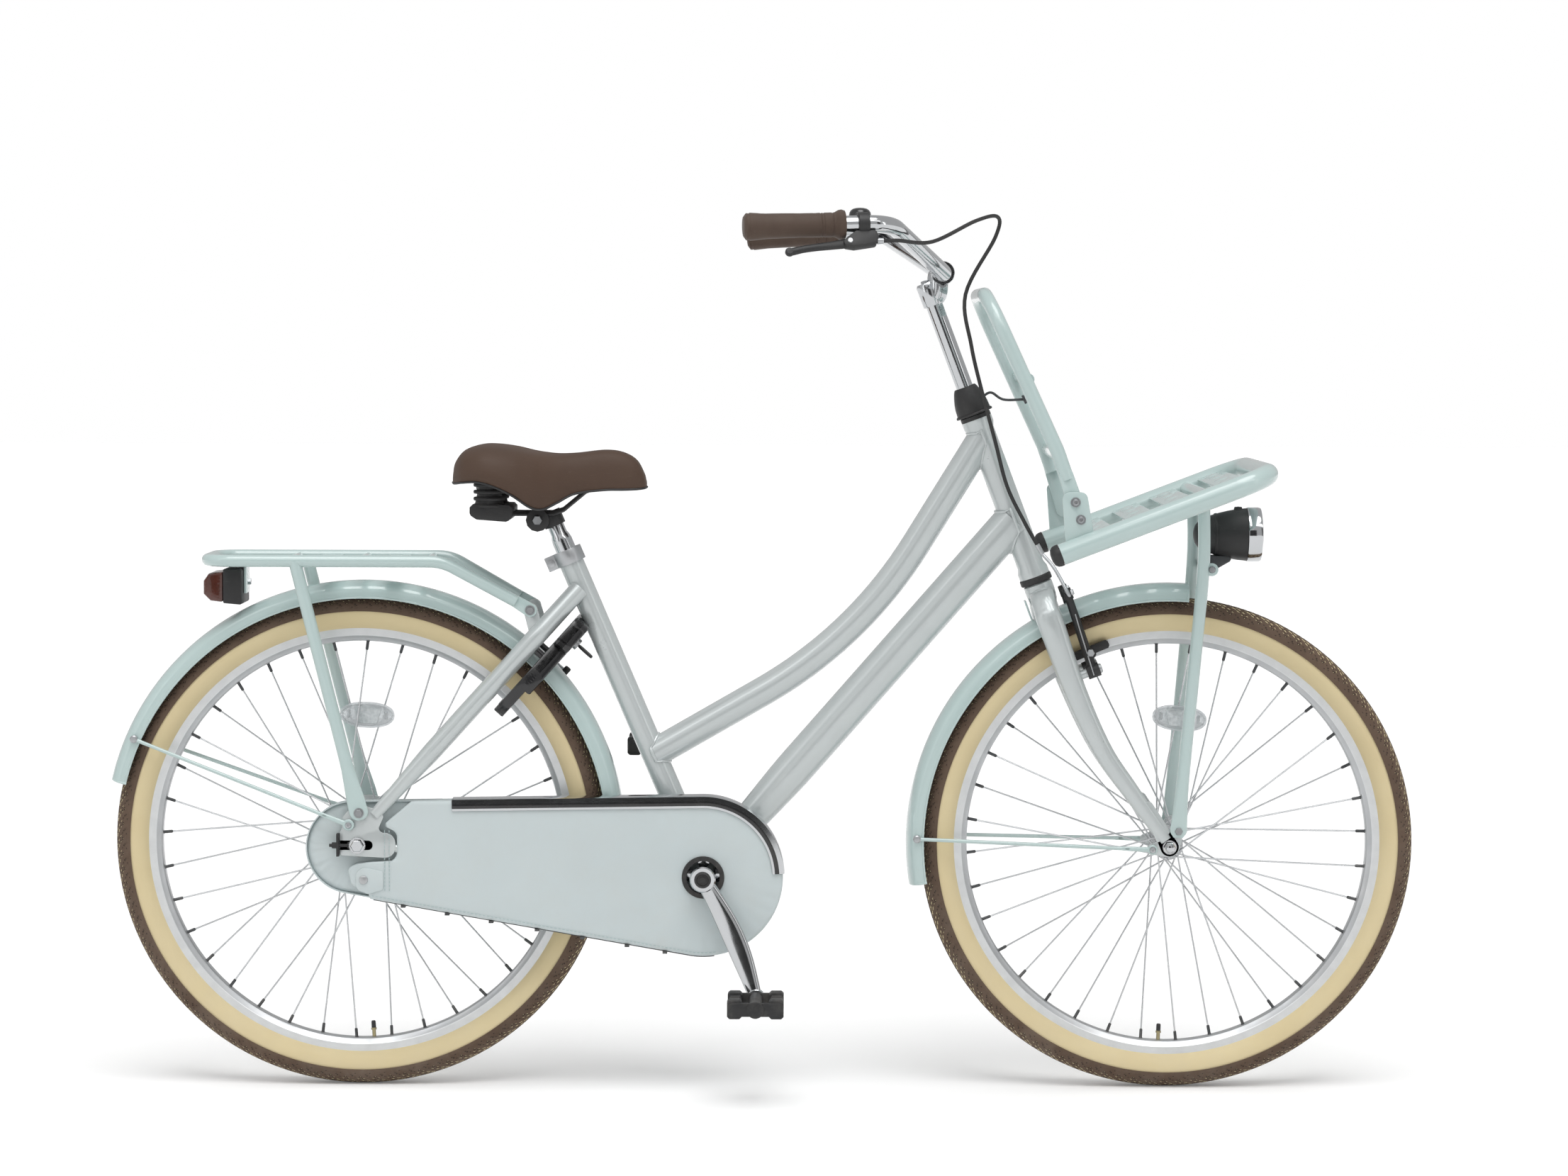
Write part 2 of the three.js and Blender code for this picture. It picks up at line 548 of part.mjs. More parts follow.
function bottomBracketSolid() {
  const half = bottomBracket.shellLength / 2 + clearance;
  const body = bottomBracket.shellBore - clearance;
  const { cupRadius, cupLip, spindleBore } = bearing;
  const upper = [[spindleBore, half + cupLip], [cupRadius, half + cupLip], [cupRadius, half], [body, half]];
  const lower = upper.map(([radius, height]) => [radius, -height]).reverse();
  return turned([...upper, ...lower], bracketCentre, point(0, 1, 0), 12);
}

const axleRear = {
  radius: 4.9, end: 75, spacerRadius: 9, spacerFrom: 51, coneRadius: 6.6, washerRadius: 11, washerThickness: 1.6,
  nutRadius: 8.6, nutThickness: 6, capRadius: 6,
};
const axleFront = {
  radius: 4.6, end: 66, spacerRadius: 8, spacerFrom: 38.5, coneRadius: 5.6, washerRadius: 9.5, washerThickness: 1.5,
  nutRadius: 8, nutThickness: 6, capRadius: 5.5,
};

// An axle with its lock nuts, washers and outer nuts. The outer faces clamp at one distance from the middle.
function axleSolid(centre, axle, innerFace, outerFace) {
  const at = (y) => centre.clone().setY(y);
  const side = join(
    rod(at(axle.spacerFrom), at(innerFace - clearance), axle.spacerRadius, 8),
    rod(at(outerFace + clearance), at(outerFace + clearance + axle.washerThickness), axle.washerRadius, 10),
    rod(at(outerFace + clearance), at(outerFace + axle.washerThickness + axle.nutThickness), axle.nutRadius, 6),
    rod(at(outerFace + axle.nutThickness), at(axle.end), axle.capRadius, 6, axle.capRadius * 0.7),
  );
  const end = outerFace + axle.nutThickness + axle.washerThickness / 2;
  return join(rod(at(-end), at(end), axle.radius, 8), bothSides(side));
}

const tensioner = {
  eyeRadius: 10, eyeBore: 5.4, thickness: 2.4, plateFrom: -27.4, plateTo: -24, plateTop: 342, plateBottom: 312,
  plateInner: 57.5, screwRadius: 2.3, screwEnd: -37, nutRadius: 4.2, nutLength: 6,
};

// The plate behind the dropout, with the screw that pulls the axle back.
function tensionerSolid() {
  const { eyeRadius, eyeBore, thickness, plateFrom, plateTo, plateTop, plateBottom, plateInner } = tensioner;
  const from = dropout.inner + dropout.thickness + clearance;
  const to = from + thickness;
  const middle = (from + to) / 2;
  const height = wheel.tyreRadius;
  const on = (x) => point(x, middle, height);
  const ring = disc(0, height, eyeRadius, from, to);
  const back = block(plateFrom, plateTo, plateInner, to + thickness, plateBottom, plateTop);
  const tab = block(-eyeRadius - overrun, weldDepth - eyeRadius, from, to, height - tensioner.nutRadius, height + tensioner.nutRadius);
  const screw = rod(on(-axleRear.washerRadius - clearance * 2), on(tensioner.screwEnd), tensioner.screwRadius, 6);
  const nut = rod(on(plateFrom), on(plateFrom - tensioner.nutLength), tensioner.nutRadius, 6);
  return cut(join(ring, back, tab, screw, nut), eyeHole(0, height, eyeBore, from - overrun, to + overrun));
}

const brakeArm = {
  inner: 37, thickness: 3, width: 18, endX: 152, hubRadius: 15, coneBore: 7.2, coneRadius: 13, coneTo: 50.4,
  clipRadius: 9.6, clipThickness: 1.8, clipLength: 16,
};

function brakeArmSolid() {
  const { inner, thickness, width, endX, hubRadius, coneBore, coneRadius, coneTo, clipLength } = brakeArm;
  const height = wheel.tyreRadius;
  const outline = belt(new THREE.Vector2(0, height), hubRadius, new THREE.Vector2(endX, stayHeight(endX)), width / 2, 6);
  const arm = plate(outline, inner, inner + thickness);
  const cone = disc(0, height, coneRadius, inner, coneTo);
  const clipX = endX;
  const reach = chainStay.endY;
  const clipFrom = clipX - clipLength / 2;
  const clipTo = clipX + clipLength / 2;
  const below = stayHeight(clipX) - brakeArm.clipRadius;
  const strap = join(
    block(clipFrom, clipTo, inner, reach, below - 2 * brakeArm.clipThickness, below - brakeArm.clipThickness),
    block(clipFrom, clipTo, inner, inner + thickness, below - 2 * brakeArm.clipThickness, stayHeight(clipX)),
    block(clipFrom, clipTo, reach - brakeArm.clipThickness, reach, below - 2 * brakeArm.clipThickness, stayHeight(clipX)),
  );
  const hole = eyeHole(0, height, coneBore, inner - overrun, coneTo + overrun);
  return cut(join(arm, cone, strap), hole);
}

// Chain, sprockets and cranks

const drive = {
  pitch: 12.7, ringTeeth: 36, sprocketTeeth: 18, planeY: -44, toothHeight: 4, thickness: 2.2, plateHeight: 8,
  plateGap: 2.3, plateThickness: 1.3, rollerRadius: 3.9, rollers: 3, rollersFrom: 0.1,
};
const pitchRadius = (teeth) => drive.pitch / (2 * sin(PI / teeth));

// A toothed disc seen from the side, with its teeth as straight-sided points.
function toothed(teeth, x, z) {
  const radius = pitchRadius(teeth);
  const step = (2 * PI) / teeth;
  const outline = [];
  for (let i = 0; i < teeth; i++) {
    for (const [share, height] of [[0, 1], [0.5, -1]]) {
      const angle = (i + share) * step;
      const reach = radius + height * drive.toothHeight;
      outline.push([x + reach * cos(angle), z + reach * sin(angle)]);
    }
  }
  return plate(outline, drive.planeY - drive.thickness / 2, drive.planeY + drive.thickness / 2);
}

function chainSolid() {
  const rear = new THREE.Vector2(0, wheel.tyreRadius);
  const front = new THREE.Vector2(bottomBracket.x, bottomBracket.z);
  const loop = (offset) => belt(
    rear, pitchRadius(drive.sprocketTeeth) + offset, front, pitchRadius(drive.ringTeeth) + offset, 6);
  const half = drive.plateHeight / 2;
  const row = (from, to) => cut(plate(loop(half), from, to), plate(loop(-half), from - overrun, to + overrun));
  const near = drive.planeY + drive.plateGap / 2;
  const far = drive.planeY - drive.plateGap / 2;
  const rows = [row(near, near + drive.plateThickness), row(far - drive.plateThickness, far)];
  const along = front.clone().sub(rear);
  const lean = acos((pitchRadius(drive.sprocketTeeth) - pitchRadius(drive.ringTeeth)) / along.length());
  const runs = [lean, -lean].map((turn) => {
    const way = along.angle() + turn;
    const edge = (centre, teeth) => centre.clone().add(new THREE.Vector2(cos(way), sin(way)).multiplyScalar(pitchRadius(teeth)));
    return [edge(rear, drive.sprocketTeeth), edge(front, drive.ringTeeth)];
  });
  const pins = runs.flatMap(([from, to]) => Array.from({ length: drive.rollers }, (_, i) => {
    const share = drive.rollersFrom + ((1 - 2 * drive.rollersFrom) * i) / (drive.rollers - 1);
    const at = from.clone().lerp(to, share);
    return disc(at.x, at.y, drive.rollerRadius * 0.7, far - weldDepth / 2, near + weldDepth / 2, 6);
  }));
  return join(rows, pins);
}

const carrier = { radius: 18, from: 33.4, to: 49.4, holeRadius: 7 };

function sprocketSolid() {
  const body = disc(0, wheel.tyreRadius, carrier.radius, -carrier.to, -carrier.from, 12);
  const hole = eyeHole(0, wheel.tyreRadius, carrier.holeRadius, -carrier.to - overrun, -carrier.from + overrun);
  return cut(join(toothed(drive.sprocketTeeth, 0, wheel.tyreRadius), body), hole);
}

const crank = {
  length: 170, lean: radians(24.4), bossRadius: 17, bossRight: [40.6, 93], bossLeft: [45, 73], bossBore: 7.9,
  eyeRadius: 12.5, eyeFrom: 93, eyeTo: 105, eyeBore: 5.4, ringInner: 57, spiderArms: 4, spiderWidth: 16,
  depths: [27, 24, 22, 21], widths: [14, 11, 11, 12], shares: [0.02, 0.35, 0.7, 0.97],
  bowShare: 0.025, rightStart: 84, leftStart: 60, capRadius: 10, capThickness: 4,
};
const crankWay = (side) => point(sin(crank.lean), 0, -cos(crank.lean)).multiplyScalar(side === right ? 1 : -1);
const pedalCentre = (side) => bracketCentre.clone().addScaledVector(crankWay(side), crank.length);

function crankSolid(side) {
  const way = crankWay(side);
  const [bossFrom, bossTo] = side === right ? crank.bossRight : crank.bossLeft;
  const start = side === right ? crank.rightStart : crank.leftStart;
  const middle = (crank.eyeFrom + crank.eyeTo) / 2;
  const ahead = point(-way.z, 0, way.x);
  const stations = crank.shares.map((share) => bracketCentre.clone()
    .addScaledVector(way, share * crank.length)
    .addScaledVector(ahead, crank.bowShare * crank.length * sin(PI * share))
    .setY(side * (start + (middle - start) * share ** 1.6)));
  const arm = loft(framesAlong(stations, ahead), (i) => rounded([
    [-crank.depths[i] / 2, -crank.widths[i] / 2], [crank.depths[i] / 2, -crank.widths[i] / 2],
    [crank.depths[i] / 2, crank.widths[i] / 2], [-crank.depths[i] / 2, crank.widths[i] / 2],
  ], crank.widths[i] / 3, 1));
  const boss = rod(bracketCentre.clone().setY(side * bossFrom), bracketCentre.clone().setY(side * bossTo), crank.bossRadius, 14);
  const end = pedalCentre(side);
  const eye = rod(end.clone().setY(side * crank.eyeFrom), end.clone().setY(side * crank.eyeTo), crank.eyeRadius, 12);
  const spindleHole = bore(
    bracketCentre.clone().setY(side * (bossFrom - overrun)),
    bracketCentre.clone().setY(side * (side === right ? bearing.spindleRight : bearing.spindleLeft)), crank.bossBore, 8);
  const pedalHole = bore(
    end.clone().setY(side * (crank.eyeFrom - overrun)), end.clone().setY(side * (crank.eyeTo + overrun)), crank.eyeBore, 8);
  const cap = rod(
    bracketCentre.clone().setY(side * (bossTo - weldDepth)),
    bracketCentre.clone().setY(side * (bossTo + crank.capThickness)), crank.capRadius, 8, crank.capRadius * 0.8);
  const pieces = [arm, boss, eye, cap];
  if (side === right) {
    const half = drive.thickness / 2;
    const window = disc(bracketCentre.x, bracketCentre.z, crank.ringInner, drive.planeY - overrun, drive.planeY + overrun, 16);
    pieces.push(cut(toothed(drive.ringTeeth, bracketCentre.x, bracketCentre.z), window));
    for (let i = 0; i < crank.spiderArms; i++) {
      const angle = (2 * PI * i) / crank.spiderArms;
      const out = new THREE.Vector2(cos(angle), sin(angle));
      const aside = new THREE.Vector2(-out.y, out.x).multiplyScalar(crank.spiderWidth / 2);
      const centre = new THREE.Vector2(bracketCentre.x, bracketCentre.z);
      const tip = centre.clone().addScaledVector(out, crank.ringInner + overrun);
      const corners = [centre.clone().sub(aside), tip.clone().sub(aside), tip.clone().add(aside), centre.clone().add(aside)];
      pieces.push(plate(corners, drive.planeY - half, drive.planeY + half));
    }
  }
  return cut(join(pieces), spindleHole, pedalHole);
}

const pedal = {
  from: 106.5, to: 190, length: 73, height: 25, treadLength: 19, endThickness: 4, tubeRadius: 9.5, spindleRadius: 5,
  spindleFrom: 94, capRadius: 11, capLength: 3, cornerRadius: 6,
};

function pedalSolid(side) {
  const { x, z } = pedalCentre(side);
  const half = pedal.length / 2;
  const tall = pedal.height / 2;
  const sideRange = (from, to) => (side === right ? [-to, -from] : [from, to]);
  const box = (fromX, toX, height) => rounded([
    [x + fromX, z - height], [x + toX, z - height], [x + toX, z + height], [x + fromX, z + height],
  ], pedal.cornerRadius, 1);
  const treads = [-1, 1].map((way) => {
    const [near, far] = [half - pedal.treadLength, half].map((reach) => way * reach).sort((a, b) => a - b);
    return plate(box(near, far, tall), ...sideRange(pedal.from + pedal.endThickness / 2, pedal.to - pedal.endThickness / 2));
  });
  const ends = [[pedal.from, pedal.from + pedal.endThickness], [pedal.to - pedal.endThickness, pedal.to]].map(([from, to]) => {
    return plate(box(-half + weldDepth, half - weldDepth, tall - weldDepth), ...sideRange(from, to));
  });
  const tube = disc(x, z, pedal.tubeRadius, ...sideRange(pedal.from + weldDepth, pedal.to - weldDepth), 10);
  const spindle = disc(x, z, pedal.spindleRadius, ...sideRange(pedal.spindleFrom, pedal.from + overrun), 8);
  const cap = disc(x, z, pedal.capRadius, ...sideRange(pedal.to - weldDepth, pedal.to + pedal.capLength));
  return join(treads, ends, tube, spindle, cap);
}

// The soft chain case

const chainCase = {
  rearX: -8, rearZ: 322, rearRadius: 61.5, frontRadius: 105, inner: -36, outer: -67, rearOuter: -51.6, wall: 1.5,
  crankHole: 24, bracketHole: 26, hubHole: 30, axleHole: 12, slotHalf: 14, slotFrom: -12, stepShift: 2, notchX: 51.5,
  throughTop: 336, throughBottom: 309, trimLift: 2.4, trimGap: 0.3, trimDepth: 14, trimFrom: 124, trimEnd: 290.6,
  trimInner: -40, trimThickness: 1.4,
};
// The rear edge of the outer cover: round the dropout, with the flap below it.
const coverEdge = rounded([
  [620, 430], [82, 430], [76, 389], [30, 346.5], [chainCase.notchX, 346.5], [chainCase.notchX, 305],
  [2, 305], [-14, 296], [-8, 272],
  [14, 266], [20, 120], [620, 120],
], [0, 0, 0, 0, 12, 12, 0, 8, 8, 0, 0, 0], 2);
const caseLoop = (offset) => belt(
  new THREE.Vector2(chainCase.rearX, chainCase.rearZ), chainCase.rearRadius + offset,
  new THREE.Vector2(bottomBracket.x, bottomBracket.z), chainCase.frontRadius + offset, 10);

function chainCaseSolid() {
  const { inner, outer, rearOuter, wall, stepShift, notchX } = chainCase;
  const cover = plate(caseLoop(0), outer, inner).intersect(plate(coverEdge, outer - overrun, inner + overrun));
  const whole = join(cover, plate(caseLoop(0), rearOuter, inner));
  const shifted = coverEdge.map((p) => p.clone().setX(p.x + stepShift));
  const coverRoom = plate(caseLoop(-wall), outer + wall, inner - wall)
    .intersect(plate(shifted, outer - overrun, inner + overrun));
  const room = join(coverRoom, plate(caseLoop(-wall), rearOuter + wall, inner - wall));
  const { x, z } = bracketCentre;
  const slot = (at, side) => [at, stayHeight(at) + side * chainCase.slotHalf];
  return cut(
    whole, room,
    disc(x, z, chainCase.crankHole, outer - overrun, outer + wall + overrun, 20),
    disc(x, z, chainCase.bracketHole, inner - wall - weldDepth, inner + overrun, 14),
    disc(0, wheel.tyreRadius, chainCase.hubHole, inner - wall - weldDepth, inner + overrun, 12),
    disc(0, wheel.tyreRadius, chainCase.axleHole, rearOuter - overrun, rearOuter + wall + weldDepth, 10),
    plate([slot(x, -1), slot(x, 1), slot(chainCase.slotFrom, 1), slot(chainCase.slotFrom, -1)], inner - wall - weldDepth, inner + overrun),
    block(notchX - overrun * 2, notchX + stepShift + overrun, outer + wall, rearOuter, chainCase.throughBottom, chainCase.throughTop),
  );
}

function chainCaseTrimSolid() {
  const { outer, trimLift, trimGap, trimDepth, trimFrom, trimEnd, trimInner, trimThickness } = chainCase;
  const face = cut(
    plate(caseLoop(trimLift), outer - trimGap - trimThickness, outer - trimGap),
    plate(caseLoop(-trimDepth), outer - trimGap - trimThickness - overrun, outer + overrun),
  );
  const edge = cut(
    plate(caseLoop(trimLift), outer - trimGap - trimThickness, trimInner),
    plate(caseLoop(trimGap + clearance), outer - overrun - trimThickness, trimInner + overrun),
  );
  const reach = bottomBracket.x + chainCase.frontRadius + trimLift + overrun;
  const kept = block(trimFrom, reach, outer - trimDepth, trimInner + trimDepth, trimEnd, bottomBracket.z + reach);
  return join(face, edge).intersect(kept);
}

// Mudguards

const guard = {
  radius: 347, shift: 4, halfWidth: 29, wall: 1.5, sideDepth: 22, shoulderDepth: 7, shoulderShare: 0.9, crownDepth: 1,
  crownShare: 0.5, stayRadius: 2.5,
};
const rearGuard = { from: 166.4, to: -2, steps: 15, stayAzimuth: 155.6, stayRadius: 328, stayEndY: 69.2, eyeThickness: 4, eyeRadius: 7.5 };
const frontGuard = { from: 189.3, to: 85.8, steps: 9, stayAzimuth: 178.9, stayRadius: 332, stayEndY: 58.9, eyeThickness: 4, eyeRadius: 6.5 };

function guardShell(centre, shift, from, to, steps) {
  const { radius, halfWidth, wall, sideDepth, shoulderDepth, shoulderShare, crownDepth, crownShare } = guard;
  const outer = [[-sideDepth, 1], [-shoulderDepth, shoulderShare], [-crownDepth, crownShare]];
  const skin = [...outer, ...outer.map(([r, share]) => [r, -share]).reverse()];
  const outside = skin.map(([r, share]) => new THREE.Vector2(r, share * halfWidth));
  const inside = skin.map(([r, share]) => new THREE.Vector2(r === -sideDepth ? r : r - wall, share * (halfWidth - wall))).reverse();
  const section = [...outside, ...inside];
  const frames = Array.from({ length: steps + 1 }, (_, i) => {
    const angle = radians(from + ((to - from) * i) / steps);
    const out = point(cos(angle), 0, sin(angle));
    return { at: centre.clone().addScaledVector(out, radius).add(point(shift, 0, 0)), x: out, y: point(0, 1, 0) };
  });
  return loft(frames, () => section);
}

// A wire stay from the side of the mudguard to an eyelet outside the frame end, with its flat eye and screw.
function guardStay(centre, kind, eyeX, eyeZ, screwFrom) {
  const angle = radians(kind.stayAzimuth);
  const start = centre.clone().add(point(kind.stayRadius * cos(angle), guard.halfWidth + guard.stayRadius / 2, kind.stayRadius * sin(angle)));
  const eye = point(eyeX, kind.stayEndY, eyeZ);
  const near = eye.clone().lerp(start, (kind.eyeRadius * 0.8) / eye.distanceTo(start));
  const face = kind.stayEndY - kind.eyeThickness / 2;
  return join(
    rod(start, near, guard.stayRadius, 6),
    disc(eyeX, eyeZ, kind.eyeRadius, face, face + kind.eyeThickness, 8),
    disc(eyeX, eyeZ, kind.eyeRadius * 0.66, face, face + kind.eyeThickness + guard.stayRadius, 6),
    disc(eyeX, eyeZ, eyelet.screw, screwFrom, face + weldDepth, 6),
  );
}

const guardFixing = {
  bossRadius: 6, bossSink: 4, bridgeGap: 0.4, tabThickness: 2.5, tabHalf: 10, tabDrop: 26, tabLift: 5, screwRadius: 2.6,
  crownTabFrom: 26, crownTabTo: 57.5, crownTabHalf: 9, crownTabBack: 22.5, crownScrewLength: 6, crownScrewRadius: 4,
};

function rearGuardSolid() {
  const shell = guardShell(rearAxle, guard.shift, rearGuard.from, rearGuard.to, rearGuard.steps);
  const stays = bothSides(guardStay(rearAxle, rearGuard, eyelet.stayX, eyelet.stayZ, dropout.inner));
  const bridge = stayPoint(frameDetails.seatBridge).setY(0);
  const out = bridge.clone().sub(rearAxle).normalize();
  const boss = rod(
    rearAxle.clone().addScaledVector(out, guard.radius - guardFixing.bossSink + guard.shift * out.x),
    bridge.clone().addScaledVector(out, -frameDetails.bridgeRadius - guardFixing.bridgeGap), guardFixing.bossRadius, 6);
  const low = radians(rearGuard.to);
  const endX = (guard.radius - guard.wall) * cos(low) + guard.shift;
  const endZ = wheel.tyreRadius + guard.radius * sin(low);
  const { tabThickness, tabHalf, tabDrop, tabLift, screwRadius } = guardFixing;
  const tab = block(endX, endX + tabThickness, -tabHalf, tabHalf, endZ - tabDrop, endZ + tabLift);
  const bridgeX = frameDetails.chainBridgeX;
  const screwZ = stayHeight(bridgeX);
  const screw = rod(
    point(endX + weldDepth, 0, screwZ), point(bridgeX - frameDetails.chainBridgeRadius - clearance, 0, screwZ), screwRadius, 8);
  return join(shell, stays, boss, tab, screw);
}

function frontGuardSolid() {
  const shell = guardShell(frontAxle, 0, frontGuard.from, frontGuard.to, frontGuard.steps);
  const stays = bothSides(guardStay(frontAxle, frontGuard, forkEnd.stayX, forkEnd.stayZ, fork.endFrom));
  const { crownTabFrom, crownTabTo, crownTabHalf, crownTabBack, crownScrewLength, crownScrewRadius, tabThickness } = guardFixing;
  const corner = (below, forward) => onFork(below, forward);
  const outline = [
    [crownTabFrom, -crownTabBack], [crownTabTo, -crownTabBack],
    [crownTabTo, -crownTabBack - tabThickness], [crownTabFrom, -crownTabBack - tabThickness],
  ].map(([below, forward]) => corner(below, forward)).map((p) => new THREE.Vector2(p.x, p.z));
  const tab = plate(outline, -crownTabHalf, crownTabHalf);
  const height = crownTabFrom + crownTabHalf;
  const screw = rod(
    corner(height, -crownTabBack - tabThickness / 2), corner(height, -crownTabBack - crownScrewLength), crownScrewRadius, 8);
  return join(shell, stays, tab, screw);
}

// Rear rack and light

const rearRack = {
  radius: 8, sideY: 65, height: 700.5, rearX: -199, rearBend: 34, kneeX: 112, kneeBend: 60, tabX: 226, tabZ: 636,
  tabY: 46.6, tabThickness: 4.6, tabRadius: 9, tabStartX: 207, tabStartZ: 647.6, barRadius: 5, bars: [-89, 3, 91], legTopX: -81, legRadius: 8.3, legFootY: 67.8,
  footWide: 12.5, footThin: 2.4, footLength: 13, screwRadius: 5, screwHeight: 3, screwHole: 3.2,
  plateFrom: -177, plateTo: -151, plateTop: 696, plateThickness: 3, plateHalf: 60, tongueHalf: 18, tongueBottom: 655,
  slatX: [-43, 47], slatHalf: 14, slatThickness: 2.5,
};

function rearRackSolid() {
  const { radius, sideY, height, rearX, kneeX, tabX, tabZ, tabY, tabThickness, legTopX, legRadius, legFootY } = rearRack;
  const side = (way) => [
    point(rearRack.tabStartX, way * tabY, rearRack.tabStartZ), point(kneeX, way * sideY, height),
    point(rearX, way * sideY, height),
  ];
  const loop = tube(bent(
    [...side(right), ...side(left).reverse()],
    [rearRack.kneeBend, rearRack.rearBend, rearRack.rearBend, rearRack.kneeBend], radians(31)), radius, 8);
  const bars = rearRack.bars.map((x) => rod(point(x, -sideY, height), point(x, sideY, height), rearRack.barRadius, 5));
  const slats = rearRack.slatX.map((x) => block(
    x - rearRack.slatHalf, x + rearRack.slatHalf, weldDepth - sideY, sideY - weldDepth,
    height, height + rearRack.slatThickness));
  const tabEnd = tabY + tabThickness / 2;
  const tabs = bothSides(join(
    plate(belt(
      new THREE.Vector2(tabX, tabZ), rearRack.tabRadius, new THREE.Vector2(rearRack.tabStartX, rearRack.tabStartZ), radius, 4,
    ), tabY - tabThickness / 2, tabEnd),
    disc(tabX, tabZ, rearRack.screwRadius, tabEnd - weldDepth, tabEnd + rearRack.screwHeight, 6),
  ));
  const top = point(legTopX, sideY, height);
  const foot = point(eyelet.rackX, legFootY, eyelet.rackZ);
  const down = foot.clone().sub(top).normalize();
  const bottom = foot.clone().addScaledVector(down, rearRack.footWide * 0.8);
  const along = (distance) => foot.clone().addScaledVector(down, -distance);
  const { footWide, footThin, footLength, screwRadius, screwHeight } = rearRack;
  const legStations = [top, along(5 * footLength), along(footLength / 2), bottom];
  const legRadii = [[legRadius, legRadius], [legRadius, legRadius], [footThin, footWide], [footThin, footWide * 0.6]];
  const legs = bothSides(join(
    tapered(legStations, legRadii, 6),
    disc(eyelet.rackX, eyelet.rackZ, screwRadius, legFootY + footThin - weldDepth, legFootY + footThin + screwHeight, 6),
    disc(eyelet.rackX, eyelet.rackZ, eyelet.screw, dropout.inner, legFootY, 6),
  ));
  const { plateFrom, plateTo, plateTop, plateThickness, plateHalf, tongueHalf, tongueBottom } = rearRack;
  const lightPlate = join(
    block(plateFrom, plateTo, -plateHalf, plateHalf, plateTop - plateThickness, plateTop),
    block(plateTo - plateThickness, plateTo, -tongueHalf, tongueHalf, tongueBottom, plateTop),
  );
  return join(loop, bars, slats, tabs, legs, lightPlate);
}

const rearLight = {
  housing: [[-179, 643], [-156, 641], [-154.4, 643], [-154.4, 686], [-157, 688], [-179, 688]], half: 38,
  lens: [[-179.4, 644], [-196, 646], [-205, 655], [-205, 672], [-198, 682], [-179.4, 684]], lensHalf: 36,
  screwHeight: 669, screwRadius: 4.5, screwLength: 4, corner: 2,
};

function rearLightHousing() {
  const body = plate(rounded(rearLight.housing, rearLight.corner, 1), -rearLight.half, rearLight.half);
  return body;
}
const rearLightLens = () => plate(rounded(rearLight.lens, rearLight.corner, 2), -rearLight.lensHalf, rearLight.lensHalf);

// Ring lock, standing square to the seat stays in front of them

const lock = {
  distance: 307, tilt: radians(48.06), back: 13.4, legDepth: 15, bodyDepth: 22, innerRadius: 52, outerRadius: 67,
  legEnd: radians(148), shoulder: radians(70), shoulderY: 61, shoulderUp: 62, topY: 45, topUp: 108, topCorner: 16,
  bodyLow: -8, channelRadius: 59.2, channelWide: 5.9, shackleRadius: 3.8, channelBack: 7.2, steps: 12,
  stepAngle: radians(17.5), channelSteps: [-9, 9], shackleSteps: [-2, 8], seatTubeGap: 1.5,
  spacerShare: 0.76, spacerRadius: 5, knobAt: radians(52.5), travel: radians(90), knobRadius: 2.4,
  knobReach: 34, knobHead: 7, knobHeadLength: 8, slotWidth: 3.8, keyWidth: 22, keyLength: 24, keyThickness: 3, keyUp: 78,
  barrelRadius: 8, barrelLength: 5,
};
const lockUp = point(cos(lock.tilt), 0, sin(lock.tilt));
const lockOut = point(sin(lock.tilt), 0, -cos(lock.tilt));
const lockCentre = rearAxle.clone().addScaledVector(lockUp, lock.distance);
const lockSide = point(0, 1, 0);
const onRing = (radius, angle) => new THREE.Vector2(radius * sin(angle), radius * cos(angle));
const arcPoints = (radius, from, to, steps) => Array.from(
  { length: steps + 1 }, (_, i) => onRing(radius, from + ((to - from) * i) / steps));
const lockSlab = (outline, from, to) => slab(outline, lockCentre, lockSide, lockUp, from, to);

// A round bar along the ring, between two of its steps.
function ringBar([from, to], radius) {
  const stations = ringPath(from * lock.stepAngle, to * lock.stepAngle, to - from);
  return tapered(stations, stations.map(() => [radius, radius]), 6, lockOut);
}

function ringPath(from, to, steps) {
  return arcPoints(lock.channelRadius, from, to, steps).map((p) => lockCentre.clone()
    .addScaledVector(lockSide, p.x).addScaledVector(lockUp, p.y)
    .addScaledVector(lockOut, lock.back + lock.channelBack));
}

